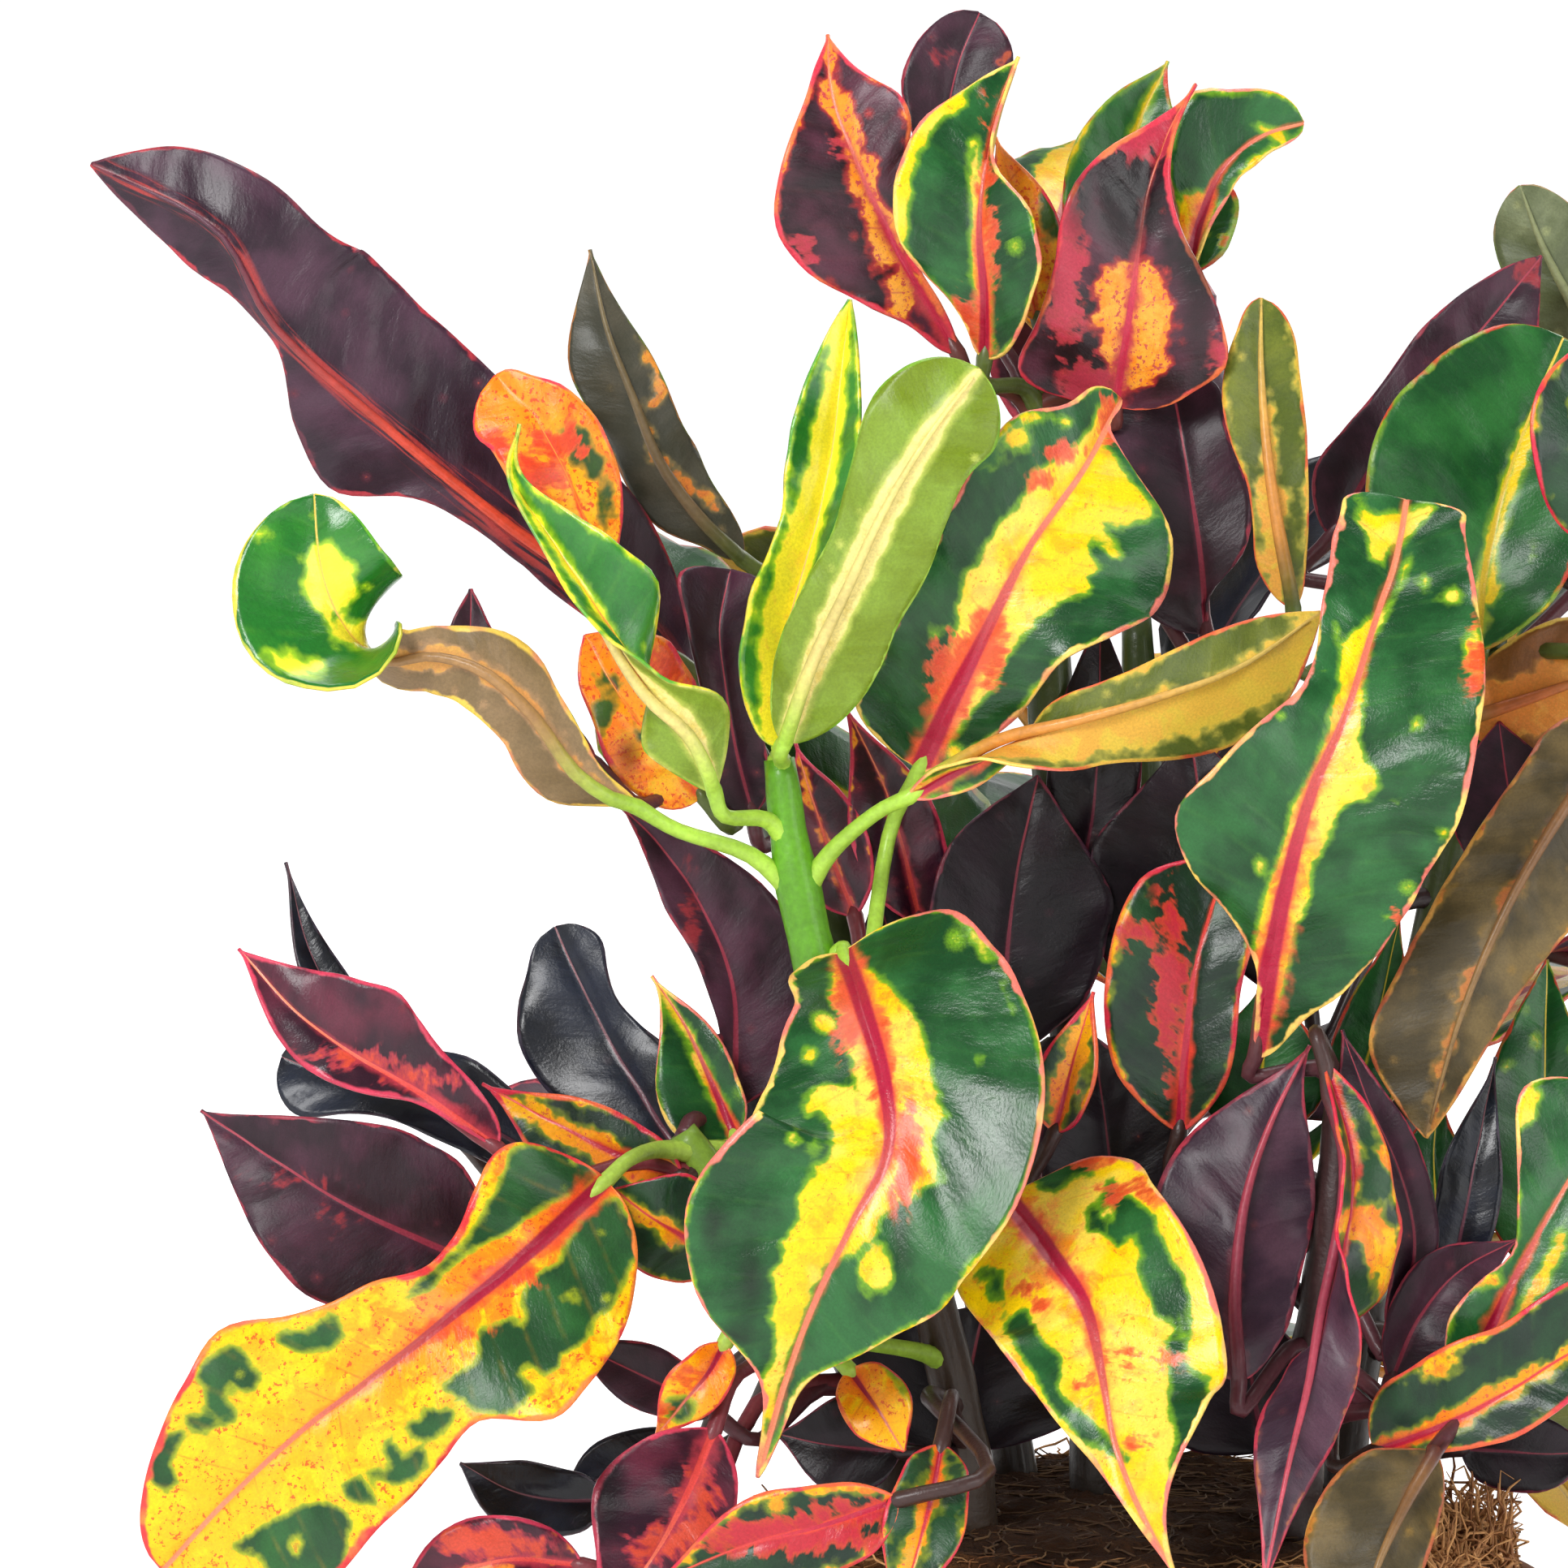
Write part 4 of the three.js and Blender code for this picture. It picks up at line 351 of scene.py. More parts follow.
        2, 3.5, 6.5, 10, 14.5, 17, 16, 16, 16), roll=(0, -8, -4, 0), fold=(20, 12, 10, 20), wave=(1.2, 1.5, 0)),
    LeafSpec("top_round", "crown", 0.94, Tip.ROUND, rib=((-33, 236, 0), (-35, 248, -2), (-35, 259, -3), (-33, 269,
        -4), (-29, 279, -5)), left=(1, 1, 1, 5, 7.5, 9.5, 9, 8, 8), right=(2.5, 2.5, 2.5, 6.5, 7, 7, 9, 10.5, 10.5),
        roll=(10, 0, -6), fold=(16, 8, 6), wave=(0.6, 1.5, 0)),
    LeafSpec("top_green", "crown", 0.99, Tip.DRAWN, rib=((-28, 215, 22), (-28, 226, 27), (-29, 238, 29), (-28, 250,
        29), (-26, 260, 27), (-22, 271, 23)), left=(4, 4, 6.5, 11, 15, 16.5, 17.5, 19, 19.5, 19.5, 19.5), right=(8.5,
        8.5, 10, 13, 12.5, 10.5, 3.5, 1, 1.5, 1.5, 1.5), roll=(-16, -14, -20, -30), fold=(26, 22, 24, 30), wave=(1,
        1.5, 1)),
    LeafSpec("top_coral", "crown", 0.92, Tip.DRAWN, rib=((-18, 222, 10), (-20, 233, 12), (-22.5, 245, 12), (-26, 256,
        10)), left=(4, 7, 7, 4), right=(4, 7, 7, 4), roll=(10, 0), fold=(12, 10), wave=(0.6, 1.5, 1)),
    LeafSpec("top_flame", "crown", 1, Tip.DRAWN, rib=((-4, 206, 14), (-2, 218, 21), (0, 232, 25), (2, 245, 26), (6,
        257, 24), (11, 266, 18)), left=(20, 22, 18.5, 16.5, 15.5, 16, 15.5, 13, 8, 4, 3), right=(15.5, 15.5, 19, 17,
        13, 8.5, 6, 4, 3, 3, 3), roll=(0, 4, 0, -10, -16), fold=(16, 14, 16, 24, 30), wave=(1.2, 1.8, 0)),
    LeafSpec("top_behind", "crown", 0.96, Tip.DRAWN, rib=((-4, 226, 2), (-3, 243, 2), (0, 257, 1), (6, 270, -1)),
        left=(10, 10, 11, 11.5, 11.5, 12, 12), right=(14, 20, 22, 21, 16, 10, 8), roll=(0, 6), fold=(12, 10), wave=(1,
        1.6, 0)),
    LeafSpec("top_lobe", "crown", 0.98, Tip.ROUND, rib=((9.5, 231, 8), (12, 241, 10), (16, 250, 11), (23, 256, 11),
        (31, 258.5, 10)), left=(3, 3, 5, 8.5, 11.5, 14, 10, 8, 8), right=(2, 2, 2.5, 3.5, 3.5, 4, 3.5, 3.5, 3.5),
        roll=(-10, -6, 0), fold=(20, 12, 10), wave=(1, 1.5, 1)),
    LeafSpec("dark_shoulder", "crown", 0.82, Tip.ROUND, rib=((13, 164, 10), (12, 178, 12), (10, 191, 12), (8, 203,
        10), (6, 212, 7)), left=(14, 14, 14.5, 15, 14.5, 14.5, 14, 15, 15), right=(1, 1, 7.5, 10.5, 10.5, 9, 8.5, 9.5,
        9.5), roll=(10, 0, -8), fold=(10, 6), wave=(1, 1.5, 0)),
    LeafSpec("brown_paddle", "far", 0.98, Tip.ROUND, rib=((29, 169, 24), (26, 185, 26), (24, 200, 25), (23, 214, 23),
        (23, 226, 20)), left=(4.5, 4.5, 6, 7, 7.5, 7.5, 7, 7, 7), right=(5.5, 5.5, 4.5, 4.5, 6.5, 7.5, 6.5, 5, 5),
        roll=(180, 176, 184), fold=(14, 10, 8), wave=(0.6, 1.5, 0)),
    LeafSpec("dark_wing", "far", 0.92, Tip.POINT, rib=((36, 182, -16), (45, 197, -19), (56, 211, -21), (66, 223, -22),
        (75, 234, -24)), left=(10, 10, 8.5, 8, 8.5, 8.5, 8, 8, 8), right=(6, 13, 15, 12, 6), roll=(0, -6, 0),
        fold=(12, 10), wave=(1, 1.5, 0)),
    LeafSpec("broad_green", "far", 0.96, Tip.ROUND, rib=((63, 161, 18), (64.5, 176, 18), (68, 191, 16), (73, 205, 12),
        (79, 219, 6)), left=(18, 18, 22, 24.5, 25.5, 24.5, 21, 18, 18), right=(8, 15, 17, 16, 10), roll=(0, -4, 0),
        fold=(12, 8, 8), wave=(1.6, 1.8, 0.6)),
    LeafSpec("pink_edge", "far", 1, Tip.POINT, rib=((87, 180, 34), (84, 193, 40), (83, 206, 40), (86, 220, 36)),
        left=(5, 10, 11, 7), right=(5, 10, 11, 7), roll=(0, 10, 20), fold=(14, 10), wave=(1, 1.5, 1)),
    LeafSpec("grey_far", "far", 0.9, Tip.ROUND, rib=((88, 210, -36), (81, 224, -38), (75, 236, -38), (71, 247, -37)),
        left=(4, 8, 9, 6), right=(4, 8, 9, 6), roll=(180, 170), fold=(12, 10), wave=(0.8, 1.5, 0)),
    LeafSpec("brown_blade", "far", 0.86, Tip.POINT, rib=((91.5, 149, 34), (80, 133.5, 42), (69, 115, 46), (60, 94,
        47), (53.5, 71, 45)), left=(11, 11, 10.5, 11, 11.5, 12.5, 16, 24, 24), right=(15, 15, 16.5, 15, 12.5, 10, 9,
        8.5, 8.5), roll=(180, 176, 180), fold=(10, 8, 10), wave=(1.4, 1.6, 0.4)),
    LeafSpec("orange_under", "far", 0.8, Tip.POINT, rib=((60, 148, 8), (72, 152, 10), (84, 156, 10), (97, 158, 8)),
        left=(6, 12, 13, 7), right=(6, 11, 12, 7), roll=(180, 184), fold=(10, 8), wave=(1, 1.5, 1)),
    LeafSpec("magenta_rim", "right", 0.7, Tip.ROUND, rib=((8, 72, 26), (9, 86, 29), (10.5, 100, 30), (13.5, 112, 29),
        (17, 122, 26)), left=(6, 14, 16, 15, 9), right=(5, 9, 9, 9, 6), roll=(-6, -4, 0), fold=(12, 8), wave=(0.8,
        1.5, 0)),
    LeafSpec("folded_plum", "right", 0.4, Tip.DRAWN, rib=((19, 26, 46), (18, 42, 44), (20, 59, 43), (25, 74, 42), (32,
        88, 40)), left=(8, 12, 14, 13, 7), right=(8, 13, 17, 15, 8), roll=(180, 184, 176, 180), fold=(14, 16, 10),
        wave=(1.6, 1.6, 0.5)),
    LeafSpec("plum_side", "right", 0.55, Tip.DRAWN, rib=((47, 35, 44), (51.5, 49.5, 47), (49, 64, 48), (43, 77.5, 47),
        (38, 91, 45)), left=(4, 4, 5, 5.5, 6.5, 10.5, 10.5), right=(3, 3, 4.5, 5, 6, 6, 6), roll=(14, 10, 0),
        fold=(14, 12), wave=(0.8, 1.5, 0)),
    LeafSpec("red_twist", "right", 0.96, Tip.DRAWN, rib=((35, 84.5, 58), (40, 67, 62), (38, 48, 66), (33, 28, 73),
        (28, 10, 82), (23, -14, 88)), left=(4, 7, 12, 9, 13, 8), right=(3, 6, 8, 9, 11, 8), roll=(-30, -36, -60, -150,
        -178, -186), fold=(34, 28, 18, 12), wave=(1, 1.5, 0.5)),
    LeafSpec("low_right", "right", 0.3, Tip.ROUND, rib=((58, 22, 58), (65, 35, 64), (72, 49, 66), (80, 63, 65), (90,
        78, 60)), left=(5.5, 5.5, 7.5, 5.5, 2.5, 6, 11.5, 18.5, 18.5), right=(9, 9, 11.5, 14, 14.5, 15, 14.5, 15.5,
        15.5), roll=(0, -6, 0), fold=(12, 10), wave=(1.4, 1.6, 0)),
    LeafSpec("low_spread", "right", 0.24, Tip.ROUND, rib=((44, 13, 60), (55, 17, 66), (67, 23, 69), (80, 31, 69), (94,
        38, 66)), left=(11.5, 11.5, 12, 13, 13, 11.5, 12, 13.5, 13.5), right=(2.5, 2.5, 4.5, 6.5, 8, 7.5, 6.5, 5.5,
        5.5), roll=(-10, 0, 10), fold=(16, 12), wave=(1.2, 1.6, 1)),
    LeafSpec("low_olive", "right", 0.18, Tip.ROUND, rib=((55, 13, 70), (50, 4, 79), (45, -7, 85), (41, -19, 88)),
        left=(6, 13, 14, 9), right=(5, 7, 8, 6), roll=(180, 184), fold=(12, 8), wave=(0.8, 1.5, 0)),
    # the inner dark and black leaves, with plum_pocket, mid_plum and far_low, are leaves inside the crown coloured
    # near-black as painted shade in its gaps
    LeafSpec("inner_dark_a", "crown", 0.36, Tip.POINT, rib=((-24, 86, 8), (-24, 102, 12), (-22, 120, 13), (-18, 138,
        10)), left=(8, 15, 16, 9), right=(8, 17, 18, 9), roll=(20, 10), fold=(12, 8), wave=(1.2, 1.5, 0)),
    LeafSpec("inner_dark_b", "crown", 0.5, Tip.POINT, rib=((6, 92, 4), (10, 110, 8), (12, 128, 9), (10, 146, 6)),
        left=(9, 19, 19, 10), right=(7, 13, 14, 8), roll=(-10, 0), fold=(12, 8), wave=(1.2, 1.5, 1)),
    LeafSpec("inner_dark_c", "front", 0.46, Tip.POINT, rib=((-34, 62, 6), (-38, 80, 4), (-42, 98, 2), (-48, 116, 0)),
        left=(7, 14, 14, 8), right=(7, 14, 14, 8), roll=(0, 10), fold=(12, 8), wave=(1.2, 1.5, 2)),
    LeafSpec("inner_dark_d", "left", 0.34, Tip.POINT, rib=((-66, 56, -6), (-64, 74, -8), (-62, 92, -10), (-62, 110,
        -12)), left=(7, 12, 12, 7), right=(7, 12, 12, 7), roll=(0, -10), fold=(12, 8), wave=(1.2, 1.5, 3)),
    LeafSpec("inner_dark_e", "right", 0.5, Tip.POINT, rib=((-2, 44, 16), (-4, 60, 18), (-6, 76, 18), (-8, 90, 16)),
        left=(7, 13, 12, 7), right=(7, 13, 12, 7), roll=(10, 0), fold=(12, 8), wave=(1.2, 1.5, 1)),
    LeafSpec("inner_dark_f", "far", 0.56, Tip.POINT, rib=((32, 96, -2), (26, 114, 0), (22, 132, 0), (20, 150, -2)),
        left=(7, 13, 13, 7), right=(7, 13, 13, 7), roll=(-10, 0), fold=(12, 8), wave=(1.2, 1.5, 0)),
    LeafSpec("inner_stripe", "right", 0.62, Tip.DRAWN, rib=((-15, 72, 30), (-12, 84, 33), (-8, 98, 33)), left=(4, 6,
        4), right=(4, 6, 4), roll=(-20, -10), fold=(24, 16), wave=(0.4, 1, 0)),
    LeafSpec("inner_cream", "crown", 0.47, Tip.DRAWN, rib=((-40, 111, 8), (-43, 124, 12), (-47, 137, 13), (-54, 151,
        12)), left=(5, 9, 9, 5), right=(6, 8, 7, 3), roll=(10, 0), fold=(12, 8), wave=(0.8, 1.5, 1)),
    LeafSpec("far_plum", "far", 0.56, Tip.POINT, rib=((73, 117, 10), (70.5, 127.5, 12), (68.5, 137, 12), (67, 148,
        10)), left=(6, 11, 11, 6), right=(6, 10, 10, 5), roll=(0, -10), fold=(12, 8), wave=(0.8, 1.5, 0)),
    LeafSpec("inner_olive", "right", 0.72, Tip.DRAWN, rib=((22.5, 71, 20), (23, 81, 22), (24, 90, 23), (24, 101, 22)),
        left=(7, 12, 12, 6), right=(7, 12, 11, 6), roll=(0, 8), fold=(12, 8), wave=(0.8, 1.5, 1)),
    LeafSpec("far_dark", "far", 0.24, Tip.POINT, rib=((75.5, 45, 16), (75.5, 62, 20), (75.5, 80, 21), (76, 104, 18)),
        left=(6, 11.5, 12, 7), right=(6, 9, 9, 5), roll=(0, 6), fold=(10, 8), wave=(1, 1.5, 0)),
    LeafSpec("far_green", "far", 0.2, Tip.DRAWN, rib=((58.5, 43, 14), (56, 55, 18), (55, 67, 19), (56, 81, 16)),
        left=(5, 9, 9, 4), right=(5, 8, 8, 4), roll=(0, -6), fold=(12, 8), wave=(0.8, 1.5, 2)),
    LeafSpec("slate_far", "right", 0.36, Tip.DRAWN, rib=((58, 43, 34), (61, 58, 36), (63.5, 71, 36), (66.5, 86, 32)),
        left=(4, 6, 6, 3), right=(4, 6, 5, 3), roll=(6, 0), fold=(14, 10), wave=(0.6, 1.5, 0)),
    LeafSpec("small_stripe", "low", 0.7, Tip.POINT, rib=((-77, 47.5, 32), (-83.5, 52.5, 36), (-90, 56.5, 38), (-96.5,
        61.5, 38)), left=(5, 9, 9, 5), right=(6, 10, 10, 6), roll=(0, 6), fold=(10, 8), wave=(0.6, 1.5, 0)),
    LeafSpec("plum_strip", "low", 0.25, Tip.DRAWN, rib=((-78, 20, 28), (-86, 24.5, 30), (-95.5, 29, 30), (-106, 34,
        28)), left=(3, 5.5, 6.5, 4), right=(3, 5.5, 6.5, 4), roll=(0, 4), fold=(8, 8), wave=(0.4, 1, 0)),
    LeafSpec("red_notch", "low", 0.4, Tip.DRAWN, rib=((-76, 33, 48), (-79.5, 27, 51), (-84.5, 21, 51), (-89.5, 15,
        48)), left=(3, 5, 5, 3), right=(3, 5, 6, 3), roll=(0, 0), fold=(8, 8), wave=(0.4, 1, 0)),
    LeafSpec("inner_black_a", "front", 0.08, Tip.POINT, rib=((-31.5, 13, 8), (-31.5, 22, 9), (-30, 31, 9), (-28, 40.5,
        7)), left=(12, 22, 20, 8), right=(14, 21, 16, 8), roll=(0, 6), fold=(8, 6), wave=(0.8, 1.5, 0)),
    LeafSpec("inner_black_b", "right", 0.1, Tip.POINT, rib=((24, 13, 16), (22, 22, 15), (21, 31, 14), (21, 41, 12)),
        left=(14, 16, 12, 6), right=(7, 12, 10, 6), roll=(0, 0), fold=(8, 6), wave=(0.8, 1.5, 1)),
    LeafSpec("plum_low", "right", 0.28, Tip.DRAWN, rib=((47, 26, 48), (52.5, 38, 49), (60, 46.5, 48), (71, 52.5, 44)),
        left=(3, 6, 7, 4), right=(4, 10, 10, 6), roll=(0, 0), fold=(10, 8), wave=(0.8, 1.5, 0)),
    LeafSpec("plum_pocket", "front", 0.06, Tip.DRAWN, rib=((-43.5, 13, 34), (-51, 13.5, 36), (-58.5, 14.5, 36),
        (-67.5, 16.5, 33)), left=(4, 8, 9, 5), right=(4, 9, 10, 5), roll=(0, 4), fold=(10, 8), wave=(0.6, 1.5, 0)),
    LeafSpec("mid_plum", "crown", 0.4, Tip.POINT, rib=((-11, 115, 2), (-8, 131, 4), (-7, 146, 5), (-6.5, 167, 3)),
        left=(7, 9, 9, 6), right=(6, 8, 8, 5), roll=(0, 6), fold=(10, 8), wave=(0.8, 1.5, 0)),
    LeafSpec("gap_green", "right", 0.8, Tip.DRAWN, rib=((38, 71, 24), (42, 83, 27), (45.5, 97, 28), (49, 113, 24)),
        left=(4, 7, 7, 4), right=(4, 7, 7, 4), roll=(0, 6), fold=(10, 8), wave=(0.8, 1.5, 0)),
    LeafSpec("far_low", "far", 0.16, Tip.POINT, rib=((60, 13.5, 6), (67.5, 13, 9), (76, 12.5, 10), (85, 13, 8)),
        left=(4, 7, 7, 4), right=(4, 7, 7, 4), roll=(0, 6), fold=(8, 8), wave=(0.6, 1.5, 0)),
)


class Look(Enum):
    """How a leaf is coloured: the finishes of its upper side and of its underside."""

    GREEN_GOLD = ("waxy_green_gold", "matt_olive")
    GREEN = ("waxy_green", "matt_olive")
    GREEN_RED = ("waxy_green_red", "matt_plum")
    GOLD = ("waxy_gold", "matt_ochre")
    YOUNG = ("young_green", "young_underside")
    FLAME_GOLD = ("waxy_orange", "matt_ochre")
    FLAME = ("waxy_flame", "matt_plum")
    PLUM = ("waxy_plum", "matt_plum")
    STRIPED_PLUM = ("waxy_plum", "striped_plum")
    # near-black leaves inside the crown, coloured as painted shade
    DARK = ("waxy_painted_shade", "matt_plum")
    OLIVE_DARK = ("waxy_green", "matt_grey")
    WINE = ("waxy_wine", "matt_plum")
    SLATE = ("waxy_slate", "matt_plum")
    TAN_YOUNG = ("young_green", "matt_tan")
    GREY_UNDER = ("waxy_green", "matt_grey")
    BROWN_UNDER = ("waxy_green", "matt_brown")
    SAGE_UNDER = ("waxy_green", "matt_sage")
    ORANGE_UNDER = ("waxy_gold", "matt_orange")


@dataclass(frozen=True)
class Marks:
    """The markings of one leaf.

    Left and right are the half widths of its golden band along the rib, and rim is the golden strip along its margin.
    Patches are outlines of more gold, and islands are outlines of green in the gold, each a row of u and v by turns as
    the viewer sees them. Gold, green, blush and dark are spots over these, each (u, v, half width, half height).
    """

    look: Look
    left: tuple = (-9,)
    right: tuple = (-9,)
    rim: float = -9.0
    patches: tuple = ()
    islands: tuple = ()
    gold: tuple = ()
    green: tuple = ()
    blush: tuple = ()
    dark: tuple = ()

    FAR_OUT = -30.0
    DEEPEST = 12

    @staticmethod
    def within(places: Array, outlines: tuple) -> Array:
        """How deep places lie inside the nearest of some outlines, in millimetres, and less than 0 outside."""
        depth = np.full(len(places), Marks.FAR_OUT)
        for outline in outlines:
            corners = np.reshape(outline, (-1, 2))
            runs = np.roll(corners, -1, axis=0) - corners
            away = places[:, None, :2] - corners
            share = np.clip(np.sum(away * runs, axis=-1) / np.sum(runs * runs, axis=-1), 0, 1)
            gap = np.min(np.linalg.norm(away - share[..., None] * runs, axis=-1), axis=1)
            rises = (away[..., 1] >= 0) != (away[..., 1] >= runs[:, 1])
            slope = np.where(runs[:, 1] == 0, 1, runs[:, 1])
            crossed = rises & (away[..., 0] < away[..., 1] * runs[:, 0] / slope)
            depth = np.maximum(depth, np.where(np.sum(crossed, axis=1) % 2 == 1, gap, -gap))
        return depth

    @staticmethod
    def inside(places: Array, blotches: tuple) -> Array:
        """How deep places lie inside the nearest of some blotches, in millimetres."""
        depth = np.full(len(places), Marks.FAR_OUT)
        for u, v, wide, high in blotches:
            far = np.hypot((places[:, 0] - u) / wide, (places[:, 1] - v) / high)
            depth = np.maximum(depth, (1 - far) * min(wide, high))
        return depth

    def tint(self, places: Array, t: Array, across: Array, edge: Array) -> Array:
        """Finds what colours a leaf.

        Args:
            places: Where the viewer sees each point.
            t: The points' shares of the leaf's length.
            across: How far they lie from the rib, signed.
            edge: How far they lie from the margin.

        Returns:
            For each point, its depth in the gold, its blush and its darkness.
        """
        band = np.where(across < 0, keyed(self.left, t), keyed(self.right, t)) - np.abs(across)
        depth = np.maximum(np.maximum(band, self.rim - edge), self.within(places, self.patches))
        depth = np.maximum(np.minimum(depth, -self.within(places, self.islands)), self.inside(places, self.gold))
        depth = np.minimum(depth, -self.inside(places, self.green))
        blush = smooth(self.inside(places, self.blush), -2.5, 3)
        dark = smooth(self.inside(places, self.dark), -2, 2)
        return np.stack([np.clip(depth, -self.DEEPEST, self.DEEPEST), blush, dark], axis=-1)


